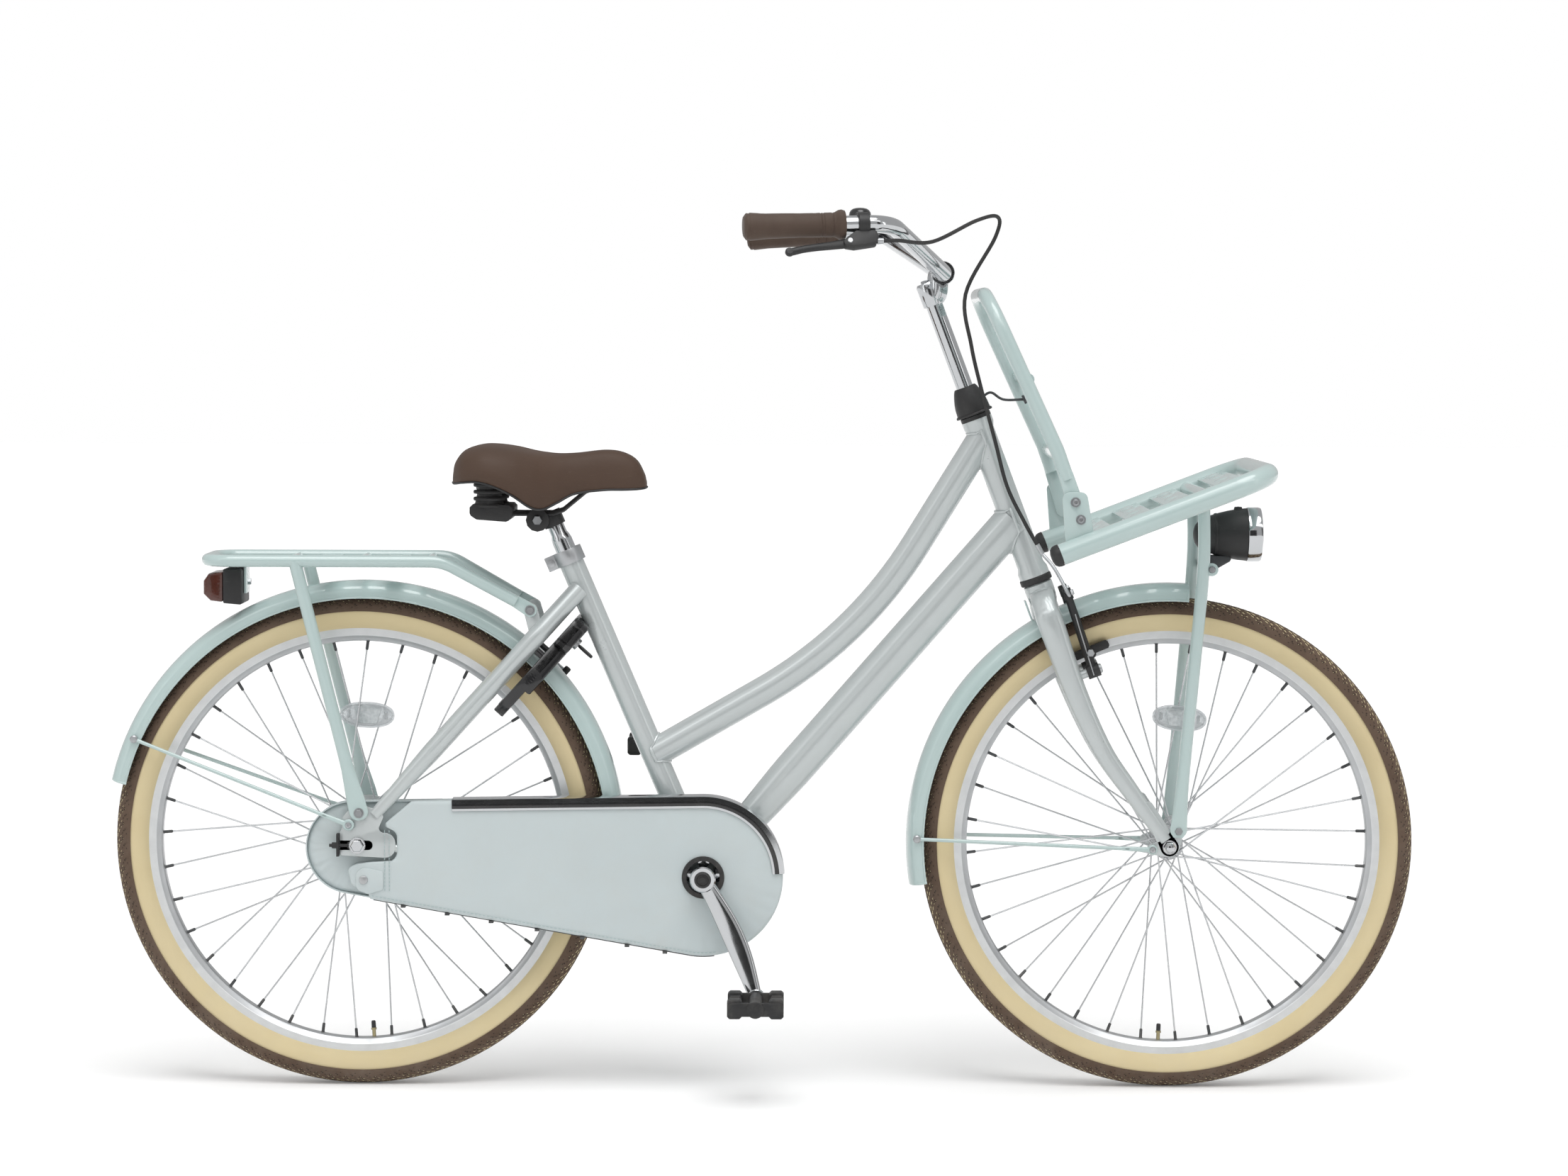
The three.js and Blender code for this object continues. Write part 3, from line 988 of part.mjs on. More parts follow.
function lockHousingSolid() {
  const { innerRadius, outerRadius, legEnd, shoulder, back, legDepth, bodyDepth, bodyLow, steps } = lock;
  const body = rounded([
    [lock.shoulderY, lock.shoulderUp], [lock.topY, lock.topUp], [-lock.topY, lock.topUp], [-lock.shoulderY, lock.shoulderUp],
  ].map(([y, up]) => [y, up]), [lock.topCorner, lock.topCorner, lock.topCorner, lock.topCorner], 2);
  const outline = [
    ...arcPoints(outerRadius, legEnd, shoulder, steps / 4), ...body, ...arcPoints(outerRadius, -shoulder, -legEnd, steps / 4),
    ...arcPoints(innerRadius, -legEnd, legEnd, steps),
  ];
  const legs = lockSlab(outline, back, back + legDepth);
  const frontFace = back + bodyDepth;
  const over = outerRadius + lock.topUp;
  const thick = lockSlab(outline, back + weldDepth, frontFace)
    .intersect(lockSlab([[-over, bodyLow], [over, bodyLow], [over, over], [-over, over]], back, frontFace));
  const channel = ringBar(lock.channelSteps, lock.channelWide);
  const stay = stayPoint(lock.spacerShare);
  const stayOut = stay.clone().sub(lockCentre).dot(lockOut);
  const spacer = rod(
    stay.clone().addScaledVector(lockOut, seatStay.radius + clearance),
    stay.clone().addScaledVector(lockOut, back + weldDepth - stayOut), lock.spacerRadius, 6);
  const tubeRoom = bore(alongSeatTube(0), alongSeatTube(seatTube.length), seatTube.radius + lock.seatTubeGap, 12);
  const slotFrom = lock.knobAt - radians(7);
  const slotTo = lock.knobAt + lock.travel + radians(7);
  const near = lock.channelRadius - lock.slotWidth;
  const far = lock.channelRadius + lock.slotWidth;
  const slot = lockSlab(
    [...arcPoints(far, slotFrom, slotTo, steps / 2), ...arcPoints(near, slotTo, slotFrom, steps / 2)],
    back + lock.channelBack, frontFace + overrun);
  const barrelAt = lockCentre.clone().addScaledVector(lockUp, lock.keyUp).addScaledVector(lockOut, frontFace - weldDepth);
  const barrelEnd = barrelAt.clone().addScaledVector(lockOut, lock.barrelLength + weldDepth);
  const barrel = rod(barrelAt, barrelEnd, lock.barrelRadius, 8);
  const key = slab(
    rounded([
      [-lock.keyWidth / 2, 0], [lock.keyWidth / 2, 0], [lock.keyWidth / 2, lock.keyLength], [-lock.keyWidth / 2, lock.keyLength],
    ], lock.keyWidth / 3, 1),
    barrelEnd.clone().addScaledVector(lockOut, -weldDepth), lockSide, lockOut, -lock.keyThickness / 2, lock.keyThickness / 2);
  return join(cut(join(legs, thick), channel, slot, tubeRoom), bothSides(spacer), barrel, key);
}

function lockShackleSolid() {
  const bow = ringBar(lock.shackleSteps, lock.shackleRadius);
  const [base] = ringPath(lock.knobAt, lock.knobAt, 1);
  const tip = base.clone().addScaledVector(lockOut, lock.knobReach - lock.channelBack);
  const end = tip.clone().addScaledVector(lockOut, lock.knobHeadLength);
  return join(bow, rod(base, tip, lock.knobRadius, 6), rod(tip.clone().addScaledVector(lockOut, -weldDepth), end, lock.knobHead, 8));
}

// Kickstand, folded back along the left chain stay

const stand = {
  plateFromX: 372, plateToX: 420, plateTop: 290, plateBottom: 272, plateHalf: 24, lugRadius: 9, pivotX: 396, pivotZ: 258,
  lugFrom: -14, lugTo: 8, knuckleFrom: 8.4, knuckleTo: 30, legRadius: 7, footRadius: 8.5, footLength: 16,
  waistX: 332, waistY: 39, waistZ: 262, footX: 146, footY: 62, footZ: 282,
};

function standPlateSolid() {
  const { plateFromX, plateToX, plateTop, plateBottom, plateHalf, lugRadius, pivotX, pivotZ, lugFrom, lugTo } = stand;
  return join(
    block(plateFromX, plateToX, -plateHalf, plateHalf, plateBottom, plateTop),
    block(pivotX - lugRadius, pivotX + lugRadius, lugFrom, lugTo, pivotZ, plateBottom + weldDepth),
    disc(pivotX, pivotZ, lugRadius, lugFrom, lugTo),
  );
}

function kickstandSolid() {
  const knuckle = disc(stand.pivotX, stand.pivotZ, stand.lugRadius, stand.knuckleFrom, stand.knuckleTo);
  const start = point(stand.pivotX, (stand.knuckleFrom + stand.knuckleTo) / 2, stand.pivotZ);
  const waist = point(stand.waistX, stand.waistY, stand.waistZ);
  const foot = point(stand.footX, stand.footY, stand.footZ);
  const near = foot.clone().lerp(waist, stand.footLength / foot.distanceTo(waist));
  const leg = tube(bent([start, waist, foot], stand.lugRadius * 3, radians(30)), stand.legRadius, 8);
  return join(knuckle, leg, rod(near, foot.clone().addScaledVector(near.clone().sub(foot).normalize(), -weldDepth), stand.footRadius, 8));
}

// Seat clamp, post and saddle

const clamp = {
  from: 446, to: 465, outerRadius: 20.3, earFrom: 17, earTo: 31, earHalf: 8, split: 1.3, screwRadius: 3, screwAt: 25,
  headRadius: 5, headLength: 3,
};
const seatBack = point(-sin(seatTube.angle), 0, -cos(seatTube.angle));

function seatClampSolid() {
  const { from, to, outerRadius, earFrom, earTo, earHalf, split, screwRadius, screwAt, headRadius, headLength } = clamp;
  const low = alongSeatTube(from);
  const ring = rod(low, alongSeatTube(to), outerRadius, 14);
  const ear = slab(
    [[earFrom, 0], [earTo, 0], [earTo, to - from], [earFrom, to - from]], low, seatBack, seatDirection, -earHalf, earHalf);
  const hole = bore(alongSeatTube(from - overrun), alongSeatTube(to + overrun), seatTube.radius + clearance, 14);
  const gap = slab(
    [[0, -overrun], [earTo + overrun, -overrun], [earTo + overrun, to - from + overrun], [0, to - from + overrun]],
    low, seatBack, seatDirection, -split, split);
  const screwPlace = alongSeatTube((from + to) / 2).addScaledVector(seatBack, screwAt);
  const at = (y) => screwPlace.clone().setY(y);
  return join(
    cut(join(ring, ear), hole, gap),
    rod(at(-earHalf - weldDepth), at(earHalf + weldDepth), screwRadius, 6),
    rod(at(-earHalf - headLength), at(-earHalf + weldDepth), headRadius, 6),
    rod(at(earHalf - weldDepth), at(earHalf + headLength), headRadius, 6),
  );
}

const post = {
  radius: 13.6, neckRadius: 11, from: 250, taperFrom: 478, taperTo: 488, to: 516, dimpleDepth: 1.2, dimpleFrom: 480,
};

function seatPostSolid() {
  const { radius, neckRadius, from, taperFrom, taperTo, to } = post;
  return turned(
    [[0, from], [radius, from], [radius, taperFrom], [neckRadius + weldDepth, taperTo - overrun], [neckRadius, taperTo], [neckRadius, to], [0, to]],
    bracketCentre, seatDirection, 12);
}

const saddle = {
  // X, half width, top, skirt edge, underside
  stations: [
    [124.5, 44, 818, 803, 806], [128, 62, 832, 802, 807], [140, 86, 846, 804, 809], [160, 101, 852.5, 805, 810],
    [180, 105, 853, 800, 809], [205, 101, 850, 788, 806], [228, 88, 845, 772, 803], [244, 74, 842.5, 769, 801],
    [262, 59, 841, 777, 800], [285, 45, 842, 788.5, 799], [322, 34, 846, 793, 798.5], [346, 31, 843, 793.5, 798],
    [364, 27, 833, 794, 798], [374, 20, 816, 795, 798], [377.5, 11, 804, 796, 798.5],
  ],
  lip: 7, rimShare: 0.93, baseDrop: 3.6, baseShare: 0.86, baseGap: 0.4, baseInset: 1.2,
};
// The crown of the seat across its width: share of the half width, share of the height.
const saddleCrown = [[1, 0.36], [0.93, 0.68], [0.74, 0.9], [0.42, 0.985], [0, 1]];

function saddleSection([, wide, top, skirt, under]) {
  const height = top - skirt;
  const upper = saddleCrown.map(([across, up]) => [across * wide, skirt + up * height]);
  const lip = Math.min(saddle.lip, wide / 3);
  const lower = [[0, under], [saddle.rimShare * wide - lip, under], [saddle.rimShare * wide - lip / 3, skirt], [saddle.rimShare * wide, skirt]];
  const half = [...lower, ...upper];
  const other = half.slice(1, -1).map(([y, z]) => [-y, z]).reverse();
  return [...half, ...other].map(([y, z]) => new THREE.Vector2(y, z));
}
const saddleFrames = (stations) => stations.map(([x]) => ({ at: point(x, 0, 0), x: point(0, 1, 0), y: point(0, 0, 1) }));

function saddleCoverSolid() {
  return loft(saddleFrames(saddle.stations), (i) => saddleSection(saddle.stations[i]));
}

const saddleParts = {
  bumperX: 172, bumperY: 36, bumperRadius: 20, bumperWaist: 16, bumperBottom: 771, bracket: [[147, 761], [156, 755], [196, 752], [203, 758], [203, 774], [147, 775]],
  bracketHalf: 52, bracketCorner: 4, railRadius: 3.4, railY: 21, railNoseY: 11, railFrontX: 322, railRiseX: 288, railLowX: 262, railLowZ: 762,
  barrelX: 234.5, barrelZ: 753.4, barrelRadius: 15.3, barrelHalf: 29, hubRadius: 7, hubHeight: 3, socketRadius: 14.2, socketFrom: 500, socketTo: 517,
};

function saddleFrameSolid() {
  const p = saddleParts;
  const last = saddle.stations.length - 1;
  const stations = saddle.stations.slice(2, last - 1);
  const base = loft(saddleFrames(stations), (i) => {
    const [, wide, , , under] = stations[i];
    const reach = Math.min(saddle.baseShare * wide, saddle.rimShare * wide - saddle.lip - saddle.baseInset);
    const high = under - saddle.baseGap;
    return [[-reach, high - saddle.baseDrop], [reach, high - saddle.baseDrop], [reach, high], [-reach, high]]
      .map(([y, z]) => new THREE.Vector2(y, z));
  });
  const under = saddle.stations[3][4] - saddle.baseDrop + weldDepth;
  const bumpers = bothSides(turned([
    [0, p.bumperBottom], [p.bumperRadius, p.bumperBottom], [p.bumperWaist, (p.bumperBottom + under) / 2],
    [p.bumperRadius, under], [0, under],
  ], point(p.bumperX, p.bumperY, 0), point(0, 0, 1), 8));
  const bracket = plate(rounded(p.bracket, p.bracketCorner, 1), -p.bracketHalf, p.bracketHalf);
  const noseZ = saddle.stations[10][4] - saddle.baseDrop;
  const rails = bothSides(tube(bent([
    point(p.bumperX, p.railY * 1.4, p.railLowZ), point(p.barrelX, p.railY, p.railLowZ), point(p.railLowX, p.railY, p.railLowZ),
    point(p.railRiseX + p.railRadius * 4, p.railNoseY, noseZ), point(p.railFrontX, p.railNoseY, noseZ),
  ], [p.railRadius * 6, p.railRadius * 6, p.railRadius * 5], radians(60)), p.railRadius, 5));
  const at = (y) => point(p.barrelX, y, p.barrelZ);
  const barrel = join(
    rod(at(-p.barrelHalf), at(p.barrelHalf), p.barrelRadius, 12),
    bothSides(rod(at(p.barrelHalf - weldDepth), at(p.barrelHalf + p.hubHeight), p.hubRadius, 6)),
  );
  const postRoom = bore(alongSeatTube(p.socketFrom - overrun), alongSeatTube(p.socketTo), post.neckRadius + clearance, 10);
  const socket = cut(
    rod(alongSeatTube(p.socketFrom), alongSeatTube(p.socketTo + overrun), p.socketRadius, 10),
    postRoom,
  );
  return join(cut(join(base, bumpers, bracket, rails, barrel), postRoom), socket);
}

// Fork and headset

const blade = {
  // Below the head tube, forward of its axis, aside, depth, width
  stations: [
    [24, 0, 4, 31, 20], [30, -1, 24, 33, 23], [45, -2.4, 39, 34, 23], [68, -3.3, 45.4, 35, 23], [160, -4.3, 46, 30, 20],
    [244, 2.4, 46.6, 26, 18], [308, 18.5, 48.4, 23, 16], [384, 39, 52.6, 17, 9],
  ],
  crownRadius: 19.5, crownFrom: 9.8, crownTo: 40, bossRadius: 6, bossBelow: 140.8, bossY: 42, bossFrom: 4, bossTo: 34,
};
const forkEnd = {
  axleRadius: 13, stayX: 1045.8, stayZ: 323.6, stayRadius: 7, legX: 1079.5, legZ: 348.4, legRadius: 8, slotHalf: 5, tongue: 60,
};

function forkEndSolid() {
  const axle = new THREE.Vector2(wheel.base, wheel.tyreRadius);
  const stay = new THREE.Vector2(forkEnd.stayX, forkEnd.stayZ);
  const leg = new THREE.Vector2(forkEnd.legX, forkEnd.legZ);
  const from = fork.endFrom;
  const to = from + fork.endThickness;
  const top = onFork(forkSpan - forkEnd.tongue, fork.rake - forkEnd.axleRadius * 0.6);
  const body = join(
    plate(belt(axle, forkEnd.axleRadius, stay, forkEnd.stayRadius, 3), from, to),
    plate(belt(axle, forkEnd.axleRadius, leg, forkEnd.legRadius, 3), from, to),
    plate(belt(axle, forkEnd.axleRadius, new THREE.Vector2(top.x, top.z), forkEnd.stayRadius, 3), from, to),
  );
  const slotEnd = onFork(forkSpan + forkEnd.axleRadius * 2, fork.rake);
  return cut(
    body,
    eyeHole(axle.x, axle.y, forkEnd.slotHalf, from - overrun, to + overrun, 8),
    plate(belt(axle, forkEnd.slotHalf, new THREE.Vector2(slotEnd.x, slotEnd.z), forkEnd.slotHalf * 0.99, 3), from - overrun, to + overrun),
    eyeHole(stay.x, stay.y, eyelet.screw + clearance, from - overrun, to + overrun),
    eyeHole(leg.x, leg.y, eyelet.screw + clearance, from - overrun, to + overrun),
  );
}

function forkSolid() {
  const { crownRadius, crownFrom, crownTo, bossRadius, bossBelow, bossY, bossFrom, bossTo } = blade;
  const stations = blade.stations.map(([below, forward, aside]) => onFork(below, forward, aside));
  const legs = tapered(stations, blade.stations.map(([, , , deep, wide]) => [deep / 2, wide / 2]), 8, headForward);
  const boss = rod(onFork(bossBelow, bossFrom, bossY), onFork(bossBelow, bossTo, bossY), bossRadius, 8);
  const crown = rod(onFork(crownFrom, 0), onFork(crownTo, 0), crownRadius, 10, crownRadius * 0.86);
  const steererTop = -(headTube.length + headset.steererAbove);
  const steerer = rod(onFork(crownTo / 2, 0), onFork(steererTop, 0), fork.steererRadius, 10);
  const room = bore(onFork(crownTo - overrun * 2, 0), onFork(steererTop - overrun, 0), fork.steererBore, 10);
  return cut(join(crown, steerer, bothSides(join(legs, boss, forkEndSolid()))), room);
}

function headsetLowerSolid() {
  const { cupRadius, cupHeight, cupBore, lipDepth } = headset;
  const skirt = headTube.bore - clearance;
  return turned(
    [[cupBore, -cupHeight], [cupRadius, -cupHeight], [cupRadius, -clearance], [skirt, -clearance], [skirt, lipDepth], [cupBore, lipDepth]],
    headBottom, headDirection, 12);
}

function headsetUpperSolid() {
  const { upperRadius, upperHeight, cupBore, lipDepth } = headset;
  const skirt = headTube.bore - clearance;
  return turned(
    [[cupBore, -lipDepth], [skirt, -lipDepth], [skirt, clearance], [upperRadius, clearance], [upperRadius, upperHeight], [cupBore, upperHeight]],
    headTop, headDirection, 12);
}

const cap = {
  from: 6.6, to: 45, baseRadius: 22.6, midRadius: 21, topRadius: 14, baseHeight: 7, midHeight: 20, lipRadius: 24.5, lipHeight: 3,
  quillHole: 11.4, roomRadius: 13.6, room: 19, braceRadius: 1.7, braceFrom: 25, braceEndX: 876, braceEndZ: 914, braceEye: 6, braceEyeThickness: 3,
};

function headsetCapSolid() {
  const { from, to, baseRadius, midRadius, topRadius, baseHeight, midHeight, lipRadius, lipHeight, quillHole, roomRadius, room } = cap;
  const sides = 10;
  const inner = around(quillHole, sides);
  const bell = turned([
    [roomRadius, from], [lipRadius, from], [lipRadius, from + lipHeight], [baseRadius, from + lipHeight], [baseRadius, from + baseHeight],
    [midRadius, from + midHeight], [topRadius * 1.2, to - lipHeight], [topRadius, to], [inner, to], [inner, from + room], [roomRadius, from + room],
  ], headTop, headDirection, sides);
  const height = headTop.clone().addScaledVector(headDirection, cap.braceFrom);
  const start = height.clone().addScaledVector(headForward, midRadius - overrun);
  const end = point(cap.braceEndX, 0, cap.braceEndZ);
  const wire = rod(start, end, cap.braceRadius, 5);
  const eye = rod(
    end.clone().addScaledVector(uprightOut, -cap.braceEyeThickness), end, cap.braceEye, 8);
  return join(bell, wire, eye);
}

// Stem and handlebar

function stemSolid() {
  const { quillRadius, clampX, clampZ, clampRadius, clampWidth, depth, headRadius, headFrom, headTo } = stem;
  const clampAt = (y) => point(clampX, y, clampZ);
  const onAxis = (height) => headTop.clone().addScaledVector(headDirection, height);
  const quill = rod(onAxis(-depth), onAxis(headFrom + overrun), quillRadius, 10);
  const head = rod(onAxis(headFrom), onAxis(headTo), headRadius, 10);
  const ring = rod(clampAt(-clampWidth / 2), clampAt(clampWidth / 2), clampRadius, 10);
  const neck = tapered(
    [onAxis(headFrom + headRadius * 0.7), clampAt(0)],
    [[headRadius * 0.9, headRadius], [clampRadius, clampWidth / 2 - weldDepth]].map(([deep, wide]) => [wide, deep]), 8);
  const lug = block(clampX - stem.lugHalf, clampX + stem.lugHalf, -clampWidth / 3, clampWidth / 3, stem.lugBottom, clampZ);
  const hole = bore(clampAt(-clampWidth), clampAt(clampWidth), bar.bore, 8);
  return cut(join(quill, head, ring, neck, lug), hole);
}

const barBend = point(bar.bendX, bar.bendY, bar.bendZ);
const barEnd = point(bar.endX, bar.endY, bar.endZ);
const barHeading = barEnd.clone().sub(barBend).normalize();
// A place on the left grip end of the bar: how far behind the bend, and how far out from the middle of the tube.
const gripOut = (() => {
  const lean = point(0, bar.leverLeanY, bar.leverLeanZ);
  return lean.addScaledVector(barHeading, -lean.dot(barHeading)).normalize();
})();
const onBar = (behind, out = 0) => barBend.clone().addScaledVector(barHeading, behind).addScaledVector(gripOut, out);

function handlebarSolid() {
  const half = [barEnd, barBend, point(stem.clampX, bar.straight, stem.clampZ)];
  const other = half.map((p) => p.clone().setY(-p.y)).reverse();
  return tube(bent([...half, ...other], [bar.gripBend, bar.clampBend, bar.clampBend, bar.gripBend], radians(18)), bar.radius, 8);
}

const grip = { length: 128, sides: 8, radius: 15.6, flareRadius: 19, flareLength: 5, waist: 14.8, endRadius: 17.5, endCap: 4, endInset: 3 };

function gripSolid() {
  const { length, sides, radius, flareRadius, flareLength, waist, endRadius, endCap, endInset } = grip;
  const reach = barEnd.clone().sub(barBend).length() - length + endCap + clearance;
  const inner = length - endCap;
  const innerRadius = around(bar.bore, sides);
  return turned([
    [0, inner], [innerRadius, inner], [innerRadius, 0], [flareRadius, 0], [flareRadius, flareLength], [radius, flareLength * 2],
    [waist, length * 0.45], [radius, length * 0.75], [endRadius, length - endCap * 2], [endRadius, length - endInset],
    [endRadius - endInset, length], [0, length],
  ], onBar(reach), barHeading, sides);
}

// Bell on the left side of the bar

const bell = {
  behind: 30, clampRadius: 14.6, clampWidth: 12, domeRadius: 15.6, domeHeight: 15, wall: 1.5, stemRadius: 3, baseRadius: 14,
  baseLift: 15, baseHeight: 3, domeLift: 21.6, armLength: 29, armWidth: 5, armHeight: 2, armLift: 18.4, armTurn: radians(200), armBore: 3.4,
};
const bellUp = point(0, 0, 1);
const bellAt = (height) => onBar(bell.behind).addScaledVector(bellUp, height);

function bellBaseSolid() {
  const { clampRadius, clampWidth, domeRadius, domeHeight, wall, stemRadius, baseRadius, baseLift, baseHeight, domeLift } = bell;
  const ring = rod(onBar(bell.behind - clampWidth / 2), onBar(bell.behind + clampWidth / 2), clampRadius, 8);
  const hole = bore(onBar(bell.behind - clampWidth), onBar(bell.behind + clampWidth), bar.bore, 10);
  const base = rod(bellAt(clampRadius - overrun), bellAt(baseLift + baseHeight - weldDepth), baseRadius * 0.6, 8, baseRadius);
  const dome = turned([
    [0, domeLift + domeHeight - wall], [domeRadius * 0.55, domeLift + domeHeight * 0.75], [domeRadius - wall, domeLift + domeHeight * 0.2],
    [domeRadius - wall, domeLift], [domeRadius, domeLift], [domeRadius, domeLift + domeHeight * 0.3],
    [domeRadius * 0.65, domeLift + domeHeight * 0.88], [0, domeLift + domeHeight],
  ], bellAt(0), bellUp, 10);
  const centre = rod(bellAt(baseLift), bellAt(domeLift + domeHeight - weldDepth), stemRadius, 6);
  return join(cut(join(ring, base), hole), dome, centre);
}

function bellStrikerSolid() {
  const { armLength, armWidth, armHeight, armLift, armTurn, armBore } = bell;
  const x = point(cos(armTurn), sin(armTurn), 0);
  const y = point(-sin(armTurn), cos(armTurn), 0);
  const outline = rounded([[-armWidth, -armWidth], [armLength, -armWidth / 2], [armLength, armWidth / 2], [-armWidth, armWidth]], armWidth / 3, 1);
  const arm = slab(outline, bellAt(0), x, y, armLift, armLift + armHeight);
  const thumb = rod(
    bellAt(armLift).addScaledVector(x, armLength - armWidth / 2), bellAt(armLift + armHeight * 3).addScaledVector(x, armLength), armWidth * 0.7, 8);
  return cut(join(arm, thumb), bore(bellAt(armLift - overrun), bellAt(armLift + armHeight * 2), armBore, 6));
}

// Brake lever on the right side, made on the left and mirrored

const lever = {
  ringFrom: 28, ringTo: 42, ringRadius: 15, bodyHalf: 6.5, slotHalf: 3.4, armHalf: 3, pivotBehind: 55, pivotOut: 27, pinRadius: 2.3,
  eyeRadius: 6.5, tipBehind: 131, tipOut: 38, tipRadius: 6, tipWidth: 4.4, midBehind: 92, midOut: 32, midWidth: 5,
  body: [[20, 12], [18, 22], [22, 31], [50, 35], [62, 32.5], [64, 27], [58, 21], [46, 12]], bodyCorner: 3,
  slotFrom: 45, slotOut: 17, slotFar: 80, cableBehind: 20, cableOut: 25, ferruleRadius: 4, ferruleLength: 8,
};
const gripAcross = barHeading.clone().cross(gripOut);
const leverSlab = (outline, half) => slab(outline, barBend, barHeading, gripOut, -half, half);

function leverBracketSolid() {
  const { ringFrom, ringTo, ringRadius, bodyHalf, slotHalf, pivotBehind, pivotOut, pinRadius, cableBehind, cableOut } = lever;
  const ring = rod(onBar(ringFrom), onBar(ringTo), ringRadius, 10);
  const body = leverSlab(rounded(lever.body, lever.bodyCorner, 1), bodyHalf);
  const room = leverSlab([
    [lever.slotFrom, lever.slotOut], [lever.slotFar, lever.slotOut], [lever.slotFar, lever.slotFar], [lever.slotFrom, lever.slotFar],
  ], slotHalf);
  const hole = bore(onBar(ringFrom - ringTo), onBar(ringTo * 2), bar.bore, 8);
  const pivot = onBar(pivotBehind, pivotOut);
  const pin = rod(
    pivot.clone().addScaledVector(gripAcross, -bodyHalf), pivot.clone().addScaledVector(gripAcross, bodyHalf), pinRadius, 6);
  const ferrule = rod(onBar(cableBehind, cableOut), onBar(cableBehind - lever.ferruleLength, cableOut), lever.ferruleRadius, 6);
  return mirrored(join(cut(join(ring, body, ferrule), room, hole), pin));
}

function leverSolid() {
  const { pivotBehind, pivotOut, armHalf, eyeRadius, tipBehind, tipOut, tipRadius, tipWidth, midBehind, midOut, midWidth, pinRadius } = lever;
  const at = (behind, out) => new THREE.Vector2(behind, out);
  const arm = join(
    leverSlab(belt(at(pivotBehind, pivotOut), eyeRadius, at(midBehind, midOut), midWidth, 3), armHalf),
    leverSlab(belt(at(midBehind, midOut), midWidth, at(tipBehind, tipOut), tipWidth, 3), armHalf),
  );
  const tip = onBar(tipBehind, tipOut);
  const ball = rod(
    tip.clone().addScaledVector(gripAcross, -armHalf * 1.5), tip.clone().addScaledVector(gripAcross, armHalf * 1.5), tipRadius, 8);
  const pivot = onBar(pivotBehind, pivotOut);
  const hole = bore(
    pivot.clone().addScaledVector(gripAcross, -tipRadius), pivot.clone().addScaledVector(gripAcross, tipRadius), pinRadius + clearance, 6);
  return mirrored(cut(join(arm, ball), hole));
}

// Rim brake: two arms on posts in front of the fork. The cable's bent guide runs through the right arm,
// and its bare wire goes on through the left one.

const brake = {
  armBase: 19, armTopBelow: 32, armTopForward: 31, armTopY: 38.5, armDepth: 12, armThickness: 9, armTopDepth: 10, armTopThickness: 7,
  hubRadius: 9.5, hubTo: 36, pivotHole: 6.3, padBelow: 116.6, padForward: 32, padAway: 1.8, padThickness: 9, padHalf: 28, padHeight: 11,
  padRadius: 277, boltRadius: 3.4, noodleHole: 3.3, wireHole: 1.7,
};

function brakeArmSide(side) {
  const { armBase, armTopBelow, armTopForward, armTopY, armDepth, armThickness, armTopDepth, armTopThickness, hubRadius, hubTo, pivotHole } = brake;
  const { bossBelow, bossY } = blade;
  const hubAt = (forward) => onFork(bossBelow, forward, bossY);
  const hub = rod(hubAt(armBase), hubAt(hubTo), hubRadius, 8);
  const mid = (armBase + hubTo) / 2;
  const arm = tapered([
    onFork(bossBelow, mid, bossY), onFork((bossBelow * 2 + armTopBelow) / 3, mid + weldDepth, bossY + weldDepth),
    onFork(armTopBelow, armTopForward, armTopY),
  ], [[armDepth / 2, armThickness / 2], [armDepth / 2, armThickness / 2], [armTopDepth / 2, armTopThickness / 2]], 6, headForward);
  const head = rod(
    onFork(armTopBelow - armTopDepth / 2, armTopForward, armTopY), onFork(armTopBelow + armTopDepth, armTopForward, armTopY), armTopDepth * 0.62, 6);
  const pivotRoom = bore(hubAt(armBase - overrun), hubAt(blade.bossTo + clearance), pivotHole, 8);
  const padCentre = onFork(brake.padBelow, brake.padForward);
  const out = padCentre.clone().sub(frontAxle).normalize();
  const way = point(-out.z, 0, out.x);
  const faceY = wheel.rimWidth / 2 + brake.padAway;
  const onPad = frontAxle.clone().addScaledVector(out, brake.padRadius);
  const padBlock = slab(rounded([
    [-brake.padHalf, -brake.padHeight / 2], [brake.padHalf, -brake.padHeight / 2],
    [brake.padHalf, brake.padHeight / 2], [-brake.padHalf, brake.padHeight / 2],
  ], brake.padHeight / 4, 1), onPad, way, out, 0, brake.padThickness);
  const lift = padBlock.boundingBox();
  const pad = padBlock.translate([0, faceY - lift.min[1], 0]);
  const bolt = rod(onPad.clone().setY(faceY + brake.padThickness - weldDepth), onPad.clone().setY(bossY + armThickness), brake.boltRadius, 6);
  const boltHead = rod(onPad.clone().setY(bossY + armThickness / 2 - weldDepth), onPad.clone().setY(bossY + armThickness), brake.boltRadius * 1.7, 6);
  const link = plate(
    belt(new THREE.Vector2(onPad.x, onPad.z), brake.boltRadius * 2, new THREE.Vector2(hubAt(mid).x, hubAt(mid).z).lerp(new THREE.Vector2(onPad.x, onPad.z), 0.8), brake.boltRadius * 2.2, 2),
    bossY - armThickness / 2, bossY + armThickness / 2);
  const wireAt = (y) => onFork(armTopBelow, armTopForward, y);
  const wireRoom = bore(
    wireAt(armTopY - armTopDepth), wireAt(armTopY + armTopDepth), side === left ? brake.wireHole : brake.noodleHole, 6);
  const whole = cut(join(hub, arm, head, pad, bolt, boltHead, link), pivotRoom, wireRoom);
  return side === left ? whole : mirrored(whole);
}

